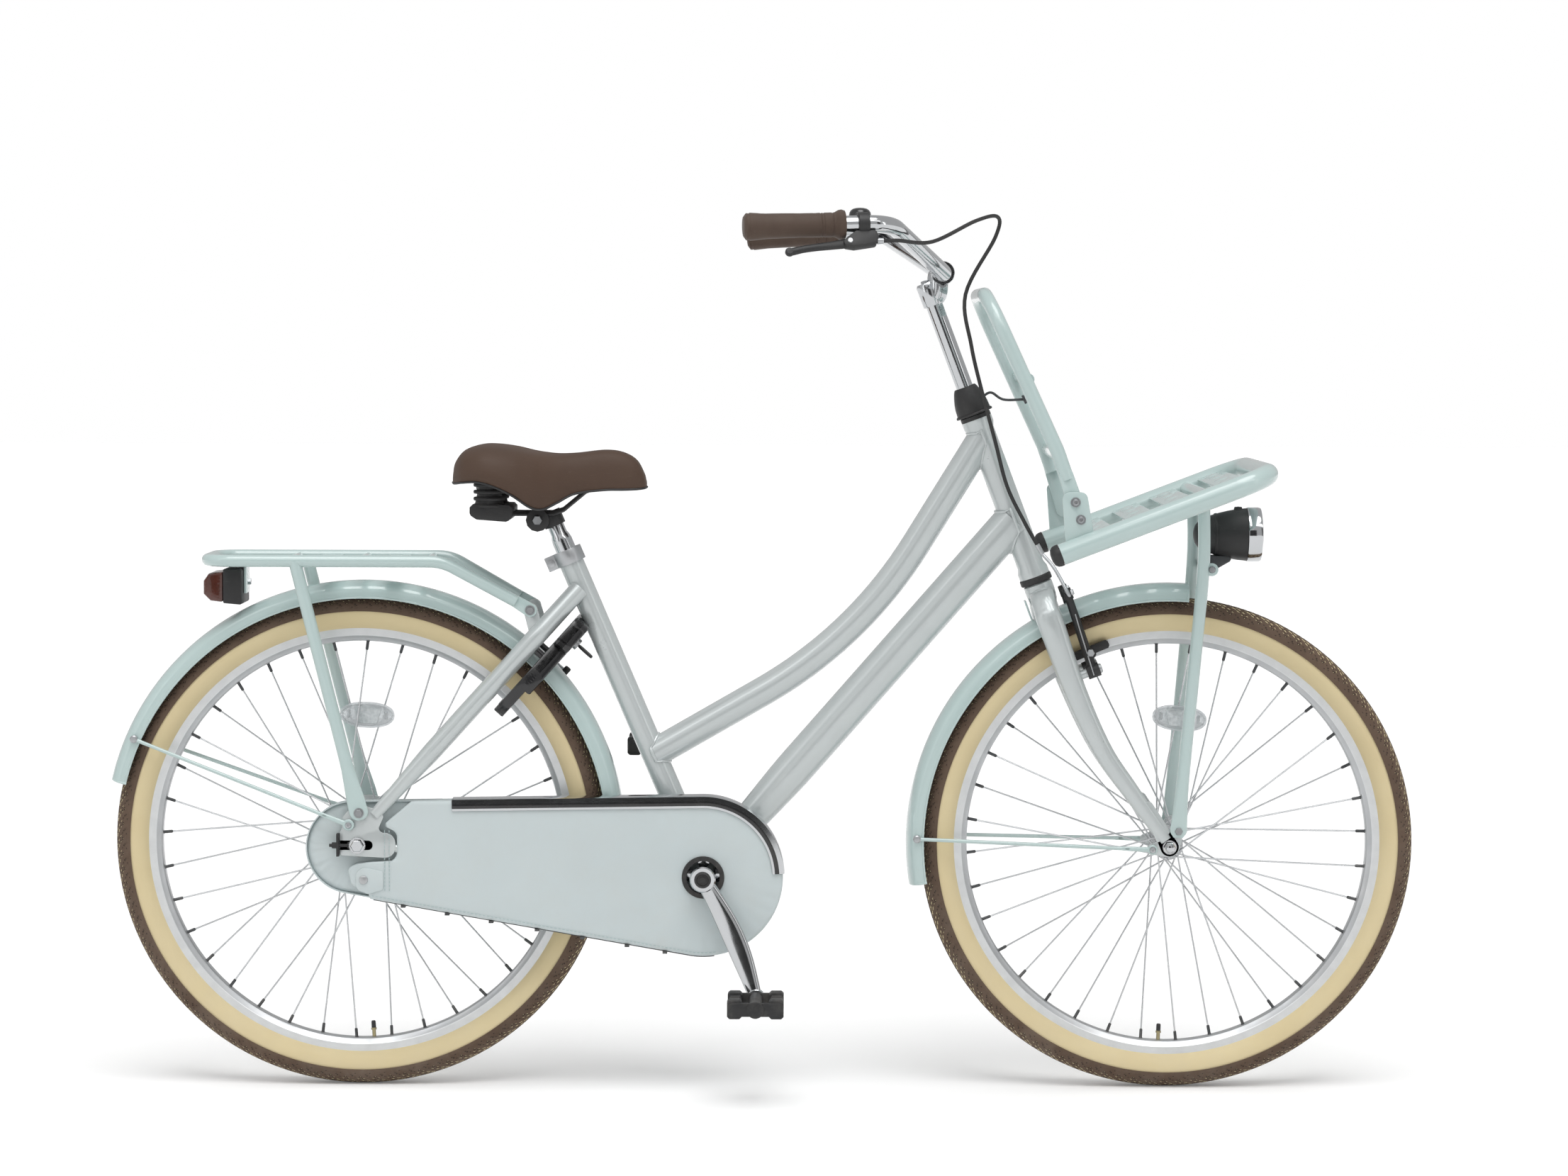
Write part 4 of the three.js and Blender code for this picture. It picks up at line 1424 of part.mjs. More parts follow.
const cable = {
  radius: 2.5, bend: 26,
  route: [
    [747, -190, 1117], [806, -110, 1146], [836, -66, 1152], [834, -42, 1126], [796, -36, 1052], [804, -36, 985],
    [818, -36, 926], [836, -36, 860], [852, -36.5, 801], [875, -37.5, 754], [899, -39, 712],
  ],
  noodle: [[920, -58, 692]], elbowY: -64, endY: -24, wireRadius: 0.9, wireEnd: 54,
};

function cableSolid() {
  const first = onBar(lever.cableBehind - lever.ferruleLength - clearance, lever.cableOut);
  first.setY(-first.y);
  const away = onBar(lever.cableBehind - lever.ferruleLength * 3.4, lever.cableOut);
  away.setY(-away.y);
  const route = [...cable.route, ...cable.noodle].map((p) => point(...p));
  const across = (y) => onFork(brake.armTopBelow, brake.armTopForward, y);
  const corners = [first, away, ...route, across(cable.elbowY), across(cable.endY)];
  const bends = corners.slice(1, -1).map((corner, i) => {
    const reach = Math.min(corner.distanceTo(corners[i]), corner.distanceTo(corners[i + 2])) * 0.45;
    const turn = PI - corners[i].clone().sub(corner).angleTo(corners[i + 2].clone().sub(corner));
    return Math.min(reach / tan(Math.max(turn, radians(2)) / 2), cable.bend * 8);
  });
  const wire = rod(across(cable.endY - weldDepth), across(cable.wireEnd), cable.wireRadius, 4);
  return join(tube(bent(corners, bends, radians(45)), cable.radius, 5), wire);
}

// Front rack with its upright, and the headlamp under it

const rack = {
  radius: 14, sideY: 163, rearX: 913, rearZ: 716.8, frontX: 1184, frontZ: 820.8, bend: 46, capLength: 13, capOver: 0.4,
  crossX: 1107, crossRadius: 9, slatXs: [972, 1024, 1074, 1140], slatHalf: 18, slatThickness: 3, slatLift: 3.5,
  legTopY: 72, legFootY: 59.6, legRadius: 8.2, footWide: 11, footThin: 2.3,
  legPath: [[1084.6, 66, 422.6], [1108, 71, 702.4]], lugX: 1118.6, lugZ: 694, lugRadius: 8.5, lugHalf: 3, lugHole: 3,
  bracketX: [922, 959], bracketTopX: [916, 948], bracketTopZ: 798, bracketY: 157.6, bracketThickness: 4, bracketCorner: 9,
};
const rackSlope = atan2(rack.frontZ - rack.rearZ, rack.frontX - rack.rearX);
const rackHeight = (x) => rack.rearZ + (x - rack.rearX) * tan(rackSlope);
const rackUp = point(-sin(rackSlope), 0, cos(rackSlope));
const rackAlong = point(cos(rackSlope), 0, sin(rackSlope));

const upright = {
  radius: 9.3, legY: 150, tubeShare: 0.45, footThin: 2.6, footWide: 14, footTop: [933.5, 785], footLow: [940.4, 762.7], knee: [911, 849], top: [846, 990],
  head: [818, 1051], bend: 58, headTilt: 34, rungs: [[874, 942.8], [914.5, 843]], rungThick: 4.5, rungHalf: 11, screwRadius: 4.6, screwHeight: 3, footY: 154.6,
};
const uprightAlong = point(upright.head[0] - upright.knee[0], 0, upright.head[1] - upright.knee[1]).normalize();
const uprightOut = point(uprightAlong.z, 0, -uprightAlong.x);

function frontRackSolid() {
  const p = rack;
  const corner = (x, way) => point(x, way * p.sideY, rackHeight(x));
  const start = p.rearX + p.capLength * 0.2;
  const loop = tube(bent(
    [corner(start, right), corner(p.frontX, right), corner(p.frontX, left), corner(start, left)], [p.bend, p.bend], radians(23)), p.radius, 10);
  const crossAt = (y) => point(p.crossX, y, rackHeight(p.crossX));
  const cross = rod(crossAt(-p.sideY), crossAt(p.sideY), p.crossRadius, 8);
  const slats = p.slatXs.map((x) => {
    const centre = point(x, 0, rackHeight(x)).addScaledVector(rackUp, p.slatLift);
    return slab([
      [-p.slatHalf, -p.sideY], [p.slatHalf, -p.sideY], [p.slatHalf, p.sideY], [-p.slatHalf, p.sideY],
    ], centre, rackAlong, point(0, 1, 0), 0, p.slatThickness);
  });
  const top = crossAt(p.legTopY);
  const foot = point(forkEnd.legX, p.legFootY, forkEnd.legZ);
  const middle = p.legPath.map((q) => point(...q));
  const down = foot.clone().sub(middle[0]).normalize();
  const stations = [
    top, middle[1], middle[0], foot.clone().addScaledVector(down, -p.footWide * 0.3), foot.clone().addScaledVector(down, p.footWide * 0.8),
  ];
  const radii = [
    [p.legRadius, p.legRadius], [p.legRadius, p.legRadius], [p.legRadius, p.legRadius], [p.footThin, p.footWide],
    [p.footThin, p.footWide * 0.5],
  ];
  const screwTop = p.legFootY + p.footThin;
  const lugY = middle[1].y;
  const legs = bothSides(join(
    tapered(stations, radii, 6),
    disc(foot.x, foot.z, rearRack.screwRadius, screwTop - weldDepth, screwTop + rearRack.screwHeight, 6),
    disc(foot.x, foot.z, eyelet.screw, fork.endFrom, p.legFootY, 6),
    plate(belt(
      new THREE.Vector2(middle[1].x, p.lugZ), p.lugRadius * 0.8, new THREE.Vector2(p.lugX, p.lugZ), p.lugRadius, 4), lugY - p.lugHalf, lugY + p.lugHalf),
  ));
  const screwHole = disc(p.lugX, p.lugZ, p.lugHole, -p.legTopY - p.legRadius, p.legTopY + p.legRadius, 6);
  const [nearX, farX] = p.bracketX;
  const [topNear, topFar] = p.bracketTopX;
  const bracket = plate(rounded([
    [nearX, rackHeight(nearX)], [farX, rackHeight(farX)], [topFar, p.bracketTopZ], [topNear, p.bracketTopZ],
  ], [0, 0, p.bracketCorner, p.bracketCorner], 2), p.bracketY, p.bracketY + p.bracketThickness);
  return join(cut(join(loop, cross, slats, legs), screwHole), bothSides(bracket));
}

function rackCapSolid() {
  const p = rack;
  const base = point(p.rearX, p.sideY, rackHeight(p.rearX)).addScaledVector(rackAlong, p.capLength * 0.2 - clearance);
  return turned([
    [0, 0], [p.radius + p.capOver, 0], [p.radius + p.capOver, p.capLength * 0.3], [p.radius * 0.82, p.capLength * 0.75],
    [p.radius * 0.4, p.capLength], [0, p.capLength],
  ], base, rackAlong.clone().negate(), 10);
}

function uprightSolid() {
  const p = upright;
  const at = ([x, z], y) => point(x, y, z);
  const low = new THREE.Vector2(...p.footTop).lerp(new THREE.Vector2(...p.knee), p.tubeShare);
  const half = [at(low.toArray(), p.legY), at(p.knee, p.legY), at(p.head, p.legY)];
  const other = half.map((q) => q.clone().setY(-q.y)).reverse();
  const hoop = tube(bent([...half, ...other], [p.bend, p.bend, p.bend, p.bend], radians(23)), p.radius, 8);
  const rungs = p.rungs.map((place) => {
    const flat = rounded([
      [-p.rungThick, -p.rungHalf], [p.rungThick, -p.rungHalf], [p.rungThick, p.rungHalf], [-p.rungThick, p.rungHalf],
    ], p.rungThick * 0.9, 1);
    const axisX = uprightOut.clone().negate();
    return slab(flat, at(place, 0), axisX, uprightAlong, -p.legY, p.legY);
  });
  const feet = bothSides(join(
    plate(belt(new THREE.Vector2(...p.footTop).lerp(new THREE.Vector2(...p.knee), p.tubeShare * 1.2), p.radius, new THREE.Vector2(...p.footLow), p.footWide * 0.8, 4),
      p.footY - p.footThin, p.footY + p.footThin),
  ));
  return join(hoop, rungs, feet);
}

const lamp = {
  z: 736.5, rearX: 1100, profile: [[1102, 9], [1106, 16], [1115, 22], [1135, 28.5], [1155, 33], [1171, 35]], ringFrom: 1171.4, ringTo: 1190,
  ringRadius: 35.6, faceRadius: 31, domeX: 1194, knobX: 1160, knobZ: 773, knobRadius: 6, barRadius: 5, barY: 64.4,
  arm: [[1108, 694], [1118.6, 684], [1150, 702], [1150, 709], [1112, 709]], armHalf: 12, armCorner: 3,
};

function headlampShellSolid() {
  const { profile, z } = lamp;
  const outer = profile.map(([x, radius]) => [radius, x]);
  const [rearX] = profile[0];
  const shell = turned([[0, rearX], ...outer, [0, profile.at(-1)[0]]], point(0, 0, z), point(1, 0, 0), 12);
  const knob = rod(point(lamp.knobX, 0, z + profile.at(-2)[1] - overrun), point(lamp.knobX, 0, lamp.knobZ), lamp.knobRadius, 6, lamp.knobRadius * 0.8);
  return join(shell, knob);
}

function headlampLensSolid() {
  const { ringFrom, ringTo, ringRadius, faceRadius, domeX, z } = lamp;
  return turned([
    [0, ringFrom], [ringRadius, ringFrom], [ringRadius, ringTo - overrun], [ringRadius - overrun / 2, ringTo], [faceRadius, ringTo - weldDepth],
    [faceRadius * 0.5, domeX], [0, domeX],
  ], point(0, 0, z), point(1, 0, 0), 12);
}

function headlampBracketSolid() {
  const { arm, armHalf, armCorner, barRadius, barY, z, profile } = lamp;
  const body = plate(rounded(arm, armCorner, 1), -armHalf, armHalf);
  const rodAcross = rod(point(rack.lugX, -barY, rack.lugZ), point(rack.lugX, barY, rack.lugZ), barRadius, 6);
  const pins = rod(
    point(rack.lugX, -rack.legTopY - rack.lugHalf, rack.lugZ), point(rack.lugX, rack.legTopY + rack.lugHalf, rack.lugZ), rack.lugHole - clearance * 2, 6);
  const room = turned(
    [[0, profile[0][0] - overrun], ...profile.map(([x, radius]) => [radius + clearance, x]), [0, profile.at(-1)[0]]],
    point(0, 0, z), point(1, 0, 0), 12);
  return cut(join(body, rodAcross, pins), room);
}

// Assembly

const frameGroup = new THREE.Group();
const steering = new THREE.Group();
const rearWheel = new THREE.Group();
rearWheel.position.copy(rearAxle);
const frontWheel = new THREE.Group();
frontWheel.position.copy(frontAxle);

const { framePaint, mintPaint, chrome, alloy, steel, blackPlastic, brownRubber, tyreRubber } = materials;
const { brownCover, vinyl, clearPlastic, redPlastic, cableBlack } = materials;
const centre = right * bearing.spindleRight;

frameGroup.add(
  piece('frame', frameSolid(), framePaint),
  piece('headset_lower_cup', headsetLowerSolid(), blackPlastic),
  piece('headset_upper_cup', headsetUpperSolid(), blackPlastic),
  piece('seat_clamp', seatClampSolid(), alloy),
  piece('rear_mudguard', rearGuardSolid(), mintPaint),
  piece('rear_rack', rearRackSolid(), mintPaint),
  piece('rear_light_housing', rearLightHousing(), blackPlastic),
  piece('rear_light_lens', rearLightLens(), redPlastic),
  piece('chain_case', chainCaseSolid(), vinyl),
  piece('chain_case_trim', chainCaseTrimSolid(), chrome),
  piece('chain', chainSolid(), steel),
  piece('bottom_bracket', bottomBracketSolid(), steel),
  piece('rear_axle', axleSolid(rearAxle, axleRear, dropout.inner, dropout.inner + dropout.thickness + tensioner.thickness + clearance), steel),
  piece('chain_tensioner_right', mirrored(tensionerSolid()), blackPlastic),
  piece('chain_tensioner_left', tensionerSolid(), blackPlastic),
  piece('coaster_brake_arm', brakeArmSolid(), steel),
  piece('lock_housing', lockHousingSolid(), blackPlastic),
);
const seatGroup = new THREE.Group();
seatGroup.add(
  piece('seat_post', seatPostSolid(), chrome),
  piece('saddle_frame', saddleFrameSolid(), blackPlastic),
  piece('saddle_cover', saddleCoverSolid(), brownCover),
);
const cranks = new THREE.Group();
cranks.add(
  piece('crank_spindle', rod(bracketCentre.clone().setY(centre + overrun), bracketCentre.clone().setY(bearing.spindleLeft - overrun), bearing.spindleRadius, 8), steel),
  piece('crank_right', crankSolid(right), chrome),
  piece('crank_left', crankSolid(left), chrome),
);
const movers = new THREE.Group();
movers.add(
  piece('pedal_right', pedalSolid(right), blackPlastic),
  piece('pedal_left', pedalSolid(left), blackPlastic),
  piece('rear_sprocket', sprocketSolid(), steel),
  piece('lock_shackle', lockShackleSolid(), steel),
  piece('kickstand', kickstandSolid(), blackPlastic),
);
for (const [name, group, hub] of [['rear', rearWheel, rearHub], ['front', frontWheel, frontHub]]) {
  const [phase, valveAngle, reflect] = wheelSpots[name];
  group.add(
    piece(`${name}_tyre`, tyre(), tyreRubber),
    piece(`${name}_rim`, cut(rim(), valveHole(valveAngle)), alloy),
    piece(`${name}_hub`, lacedHub(hub, phase), steel),
    piece(`${name}_valve`, valveSolid(valveAngle), brownRubber),
    piece(`${name}_reflector`, reflectorSolid(hub, reflect), clearPlastic),
  );
}
steering.add(
  piece('fork', forkSolid(), framePaint),
  piece('headset_cap', headsetCapSolid(), blackPlastic),
  piece('stem', stemSolid(), chrome),
  piece('handlebar', handlebarSolid(), chrome),
  piece('grip_left', gripSolid(), brownRubber),
  piece('grip_right', mirrored(gripSolid()), brownRubber),
  piece('brake_lever_bracket', leverBracketSolid(), blackPlastic),
  piece('brake_lever', leverSolid(), blackPlastic),
  piece('bell_base', bellBaseSolid(), blackPlastic),
  piece('bell_striker', bellStrikerSolid(), blackPlastic),
  piece('brake_cable', cableSolid(), cableBlack),
  piece('brake_arm_right', brakeArmSide(right), blackPlastic),
  piece('brake_arm_left', brakeArmSide(left), blackPlastic),
  piece('front_mudguard', frontGuardSolid(), mintPaint),
  piece('front_rack', frontRackSolid(), mintPaint),
  piece('rack_upright', uprightSolid(), mintPaint),
  piece('rack_cap_left', rackCapSolid(), blackPlastic),
  piece('rack_cap_right', mirrored(rackCapSolid()), blackPlastic),
  piece('headlamp_shell', headlampShellSolid(), blackPlastic),
  piece('headlamp_lens', headlampLensSolid(), clearPlastic),
  piece('headlamp_bracket', headlampBracketSolid(), blackPlastic),
  piece('front_axle', axleSolid(frontAxle, axleFront, fork.endFrom, fork.endFrom + fork.endThickness), steel),
);

const bike = new THREE.Group();
bike.add(frameGroup, seatGroup, cranks, movers, rearWheel, frontWheel, steering);
const rearEnd = guard.shift + (guard.radius - guard.crownDepth) * cos(radians(rearGuard.from));
const frontEnd = wheel.base + wheel.tyreRadius;
bike.position.x = -(rearEnd + frontEnd) / 2;
export default bike;
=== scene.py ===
import bmesh
import bpy
import numpy as np
from mathutils import Matrix, Vector


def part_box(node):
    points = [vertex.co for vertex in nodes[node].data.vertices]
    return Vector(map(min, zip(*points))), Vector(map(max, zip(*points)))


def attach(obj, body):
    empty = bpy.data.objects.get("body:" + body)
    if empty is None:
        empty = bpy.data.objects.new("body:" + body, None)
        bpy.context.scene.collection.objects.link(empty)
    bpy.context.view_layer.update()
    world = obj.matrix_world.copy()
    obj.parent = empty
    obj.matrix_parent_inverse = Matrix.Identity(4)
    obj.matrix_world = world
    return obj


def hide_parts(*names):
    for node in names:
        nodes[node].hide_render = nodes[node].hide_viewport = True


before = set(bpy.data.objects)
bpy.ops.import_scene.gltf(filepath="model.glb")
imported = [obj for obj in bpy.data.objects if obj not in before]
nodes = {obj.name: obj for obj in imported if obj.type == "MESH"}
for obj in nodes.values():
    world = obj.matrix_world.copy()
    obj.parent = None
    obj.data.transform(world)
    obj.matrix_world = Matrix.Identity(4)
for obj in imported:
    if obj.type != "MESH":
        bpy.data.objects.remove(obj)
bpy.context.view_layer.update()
print("frame loaded:", len(nodes), "nodes")

layout = {"bracketX": 454.5, "bracketZ": 286.0, "axleZ": 326.5, "wheelBase": 1068.5, "seatAngle": 66.7,
    "headTopX": 813.0, "headTopZ": 888.0, "headAngle": 69.3, "headLength": 222.0}
shellLow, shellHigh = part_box("bottom_bracket")
shiftX = (shellLow.x + shellHigh.x) * 500 - layout["bracketX"]  # the frame's origin is the middle of the bike


def vec(*numbers):
    return np.array(numbers, float)


def unit(rows):
    return rows / np.linalg.norm(rows, axis=-1, keepdims=True)


def turn(degrees):  # a direction in the X and Z plane
    return vec(np.cos(np.radians(degrees)), 0, np.sin(np.radians(degrees)))


sideWay = vec(0, 1, 0)
bracketCentre = vec(layout["bracketX"], 0, layout["bracketZ"])
rearAxle = vec(0, 0, layout["axleZ"])
frontAxle = vec(layout["wheelBase"], 0, layout["axleZ"])
seatWay = turn(180 - layout["seatAngle"])
headWay = turn(180 - layout["headAngle"])
headForward = vec(headWay[2], 0, -headWay[0])
headTop = vec(layout["headTopX"], 0, layout["headTopZ"])
headBottom = headTop - headWay * layout["headLength"]


def onSeatTube(distance):
    return bracketCentre + seatWay * distance


def onFork(below, ahead, aside=0.0):
    return headBottom - headWay * below + headForward * ahead + sideWay * aside


# surfaces


# A grid of points, rows by columns. Each column closes on itself; quads
# join neighbours, flat faces close both ends.
def skin(grid, loop=False, caps=True):
    rows, cols = grid.shape[:2]
    a, b = np.meshgrid(np.arange(rows if loop else rows - 1), np.arange(cols), indexing="ij")
    below, beside = (a + 1) % rows, (b + 1) % cols
    quads = np.stack([a * cols + b, a * cols + beside, below * cols + beside, below * cols + b],
        -1).reshape(-1, 4)
    faces = quads.tolist()
    if caps and not loop:
        faces += [list(range(cols)), list(range((rows - 1) * cols, rows * cols))]
    return grid.reshape(-1, 3), faces


# Unit circle or rounded box: the angle runs once round, and a power under 1 squares the corners off.
def ring(sides, power=1.0):
    angle = np.linspace(0, 2 * np.pi, sides, endpoint=False)
    c, s = np.cos(angle), np.sin(angle)
    return np.stack([np.sign(c) * abs(c) ** power, np.sign(s) * abs(s) ** power], -1)


# Axes carried along a path: the sideways axis is kept square to the way ahead at each station.
def carried(path, across):
    ahead = unit(np.gradient(path, axis=0))
    x = np.zeros_like(path)
    side = np.array(across, float)
    for i, way in enumerate(ahead):
        side = unit(side - way * side.dot(way))
        x[i] = side
    return x, np.cross(ahead, x)


# A tube: at each station of the path a section is scaled by the two radii there and set on the carried axes.
def sweep(path, radii, sides=24, across=(0, 1, 0), power=1.0, loop=False, section=None):
    path = np.asarray(path, float)
    radii = np.broadcast_to(np.asarray(radii, float), (len(path), 2))
    x, y = carried(path, across)
    shape = ring(sides, power) if section is None else np.asarray(section, float)
    grid = (path[:, None] + x[:, None] * (shape[:, 0, None] * radii[:, None, :1]) + y[:, None]
        * (shape[:, 1, None] * radii[:, None, 1:]))
    return skin(grid, loop)


# A straight bar between two points, its radius going from one value to the other.
def rod(start, end, radius, endRadius=None, sides=24):
    radii = np.linspace(radius, radius if endRadius is None else endRadius, 2)
    way = np.asarray(end, float) - np.asarray(start, float)
    across = (0, 0, 1) if abs(way[1]) > 0.7 * np.linalg.norm(way) else (0, 1, 0)
    return sweep([start, end], np.stack([radii, radii], -1), sides, across)


# A turned piece: each (radius, height) of the profile goes once round the axis.
def turned(profile, at, way=(0, 1, 0), sides=48, loop=False):
    way = unit(np.asarray(way, float))
    first = unit(np.cross(way, (0, 0, 1) if abs(way[2]) < 0.9 else (1, 0, 0)))
    second = np.cross(way, first)
    shape = ring(sides)
    spokes = shape[:, :1] * first + shape[:, 1:] * second
    profile = np.asarray(profile, float)
    grid = np.asarray(at, float) + profile[:, None, 1:] * way + profile[:, None, :1] * spokes
    return skin(grid, loop)


# Rounded corners: each corner of an outline becomes an arc that touches both its edges.
def rounded(corners, radius, steps=6):
    corners = np.asarray(corners, float)
    radii = np.broadcast_to(np.asarray(radius, float), (len(corners),))
    before = unit(np.roll(corners, 1, 0) - corners)
    after = unit(np.roll(corners, -1, 0) - corners)
    opening = np.arccos(np.clip((before * after).sum(-1), -1, 1))
    middle = unit(before + after + 1e-9)
    centre = corners + middle * (radii / np.sin(opening / 2))[:, None]
    share = np.linspace(-1, 1, steps + 1)
    swing = (np.pi - opening)[:, None] / 2 * share
    flip = np.sign(before[:, 0] * after[:, 1] - before[:, 1] * after[:, 0])[:, None]
    c, s = np.cos(swing), np.sin(swing) * flip
    toCorner = -middle[:, None, :]
    spin = np.stack([toCorner[..., 0] * c + toCorner[..., 1] * s,
        toCorner[..., 1] * c - toCorner[..., 0] * s], -1)
    return (centre[:, None] + spin * radii[:, None, None]).reshape(-1, 2)


# The outline round two circles, as a belt lies round two wheels; offset grows both.
def belt(a, radiusA, b, radiusB, steps=24):
    a, b = np.asarray(a, float), np.asarray(b, float)
    along = b - a
    heading = np.arctan2(along[1], along[0])
    lean = np.arccos((radiusA - radiusB) / np.hypot(*along))
    first = heading + np.linspace(lean, 2 * np.pi - lean, steps)
    second = heading + np.linspace(-lean, lean, steps)
    return np.concatenate([a + radiusA * np.stack([np.cos(first), np.sin(first)], -1),
        b + radiusB * np.stack([np.cos(second), np.sin(second)], -1)])


# A plate in the X and Z plane between two places along Y, with its rim rounded in a few rows.
def plate(outline, fromY, toY, edge=0.6):
    outline = np.asarray(outline, float)
    ahead = unit(np.roll(outline, -1, 0) - np.roll(outline, 1, 0))
    area = (outline[:, 0] * np.roll(outline[:, 1], -1) - outline[:, 1] * np.roll(outline[:, 0], -1)).sum()
    out = np.stack([ahead[:, 1], -ahead[:, 0]], -1) * np.sign(area)
    low, high = min(fromY, toY), max(fromY, toY)
    edge = min(edge, (high - low) / 2.1)
    rows = [(-edge, low), (-edge * 0.3, low + edge * 0.3), (0, low + edge), (0, high - edge),
        (-edge * 0.3, high - edge * 0.3), (-edge, high)]
    grid = np.stack([np.stack([p[:, 0], np.full(len(p), y), p[:, 1]], -1) for p,
        y in [(outline + out * inset, y) for inset, y in rows]])
    return skin(grid)


# A plate as above, but set on its own axes: its outline along x and
# y, its thickness along their cross product.
def slab(outline, origin, x, y, low, high, edge=0.6):
    points, faces = plate(outline, low, high, edge)
    z = np.cross(x, y)
    placed = (np.asarray(origin) + points[:, :1] * np.asarray(x) + points[:, 2:] * np.asarray(y)
        + points[:, 1:2] * z)
    return placed, faces


# Straight runs joined by arcs: each inner corner is replaced by an arc of the given radius.
def bent(corners, radius, stepAngle=4.0):
    corners = [np.asarray(c, float) for c in corners]
    radii = radius if isinstance(radius, (list, tuple)) else [radius] * (len(corners) - 2)
    path = [corners[0][None]]
    for before, corner, after, own in zip(corners, corners[1:], corners[2:], radii):
        back, ahead = unit(before - corner), unit(after - corner)
        swing = np.pi - np.arccos(np.clip(back.dot(ahead), -1, 1))
        centre = corner + unit(back + ahead) * own / np.cos(swing / 2)
        start = corner + back * own * np.tan(swing / 2) - centre
        angle = np.linspace(0, swing, max(3, int(np.degrees(swing) / stepAngle)))[:, None]
        path.append(centre + start * np.cos(angle) - back * own * np.sin(angle))
    path.append(corners[-1][None])
    return np.concatenate(path)


# A smooth line through rows of numbers: on each span a cubic whose slopes come from the neighbours.
def flow(rows, count=12):
    rows = np.asarray(rows, float)
    t = np.linspace(0, len(rows) - 1, (len(rows) - 1) * count + 1)
    i = np.clip(t.astype(int), 0, len(rows) - 2)
    u = (t - i)[:, None]
    slope = np.gradient(rows, axis=0)
    a, b, va, vb = rows[i], rows[i + 1], slope[i], slope[i + 1]
    return ((2 * u**3 - 3 * u**2 + 1) * a + (u**3 - 2 * u**2 + u) * va + (3 * u**2 - 2 * u**3) * b
        + (u**3 - u**2) * vb)


# Copies of a small shape: each gets a centre and three axes, all worked out in one product.
def scattered(shape, centres, x, y, z):
    points, faces = shape
    centres = np.asarray(centres, float)
    axes = np.stack([np.broadcast_to(a, centres.shape) for a in (x, y, z)], 1)
    placed = centres[:, None] + np.einsum("pk,nkj->npj", points, axes)
    count = len(points)
    return placed.reshape(-1, 3), [[v + n * count for v in face] for n in range(len(centres))
        for face in faces]


def box(x, y, z):  # a plain block, the seed of small repeated pieces
    corners = vec(-1, 1)
    grid = (np.array([[[i * x, j * y, k * z] for j, k in ((-1, -1), (1, -1), (1, 1), (-1, 1))]
        for i in corners]) / 2)
    return skin(grid)


def mirrored(part):
    return part[0] * vec(1, -1, 1), part[1]


def both(*parts):
    return [p for part in parts for p in (part, mirrored(part))]


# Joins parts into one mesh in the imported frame, in metres, with outward faces and sharp edges by angle.
def piece(name, parts, body, finish, replaces=(), sharp=38):
    points, faces, count = [], [], 0
    for own, its in parts:
        points.append(own)
        faces += [[v + count for v in face] for face in its]
        count += len(own)
    mesh = bpy.data.meshes.new(name)
    mesh.from_pydata(((np.concatenate(points) + vec(shiftX, 0, 0)) / 1000).tolist(), [], faces)
    work = bmesh.new()
    work.from_mesh(mesh)
    bmesh.ops.remove_doubles(work, verts=work.verts, dist=1e-6)
    bmesh.ops.dissolve_degenerate(work, edges=work.edges, dist=1e-7)
    bmesh.ops.recalc_face_normals(work, faces=work.faces)
    work.to_mesh(mesh)
    work.free()
    mesh.shade_smooth()
    mesh.set_sharp_from_angle(angle=np.radians(sharp))
    mesh.materials.append(looks[finish])
    made = bpy.data.objects.new(name, mesh)
    bpy.context.scene.collection.objects.link(made)
    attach(made, body)
    if replaces:
        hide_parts(*replaces)
    return made


# materials


def newGroup(name, inputs, outputs):
    tree = bpy.data.node_groups.new(name, "ShaderNodeTree")
    for kind, label, value in inputs:
        made = tree.interface.new_socket(label, in_out="INPUT", socket_type="NodeSocket" + kind)
        if value is not None:
            made.default_value = value
    for kind, label in outputs:
        tree.interface.new_socket(label, in_out="OUTPUT", socket_type="NodeSocket" + kind)
    return tree, tree.nodes.new("NodeGroupInput"), tree.nodes.new("NodeGroupOutput")


def addNode(tree, kind, inputs=None, **settings):
    made = tree.nodes.new("ShaderNode" + kind)
    for key, value in settings.items():
        setattr(made, key, value)
    for key, value in (inputs or {}).items():
        if isinstance(value, bpy.types.NodeSocket):
            tree.links.new(value, made.inputs[key])
        else:
            made.inputs[key].default_value = value
    return made


# Patches: two sizes of noise shift a colour towards its second tone, and the roughness with it.
patches, pin, pout = newGroup("patches", [("Vector", "Place", None), ("Color", "Tone", (1, 1, 1, 1)),
    ("Color", "Second Tone", (0.8, 0.8, 0.8, 1)), ("Float", "Size", 8.0), ("Float", "Spread", 0.3),
    ("Float", "Roughness", 0.4), ("Float", "Roughness Spread", 0.1)],
    [("Color", "Tone"), ("Float", "Roughness"), ("Float", "Mask")])
wide = addNode(patches, "TexNoise", {"Vector": pin.outputs["Place"], "Scale": pin.outputs["Size"],
    "Detail": 5.0})
band = addNode(patches, "MapRange", {"Value": wide.outputs[0], "From Min": 0.3, "From Max": 0.7})
share = addNode(patches, "Math", {0: band.outputs[0], 1: pin.outputs["Spread"]}, operation="MULTIPLY")
mixed = addNode(patches, "Mix", {0: share.outputs[0], 6: pin.outputs["Tone"], 7: pin.outputs["Second Tone"]},
    data_type="RGBA")
rougher = addNode(patches, "Math", {0: band.outputs[0], 1: pin.outputs["Roughness Spread"],
    2: pin.outputs["Roughness"]}, operation="MULTIPLY_ADD")
patches.links.new(mixed.outputs[2], pout.inputs["Tone"])
patches.links.new(rougher.outputs[0], pout.inputs["Roughness"])
patches.links.new(band.outputs[0], pout.inputs["Mask"])

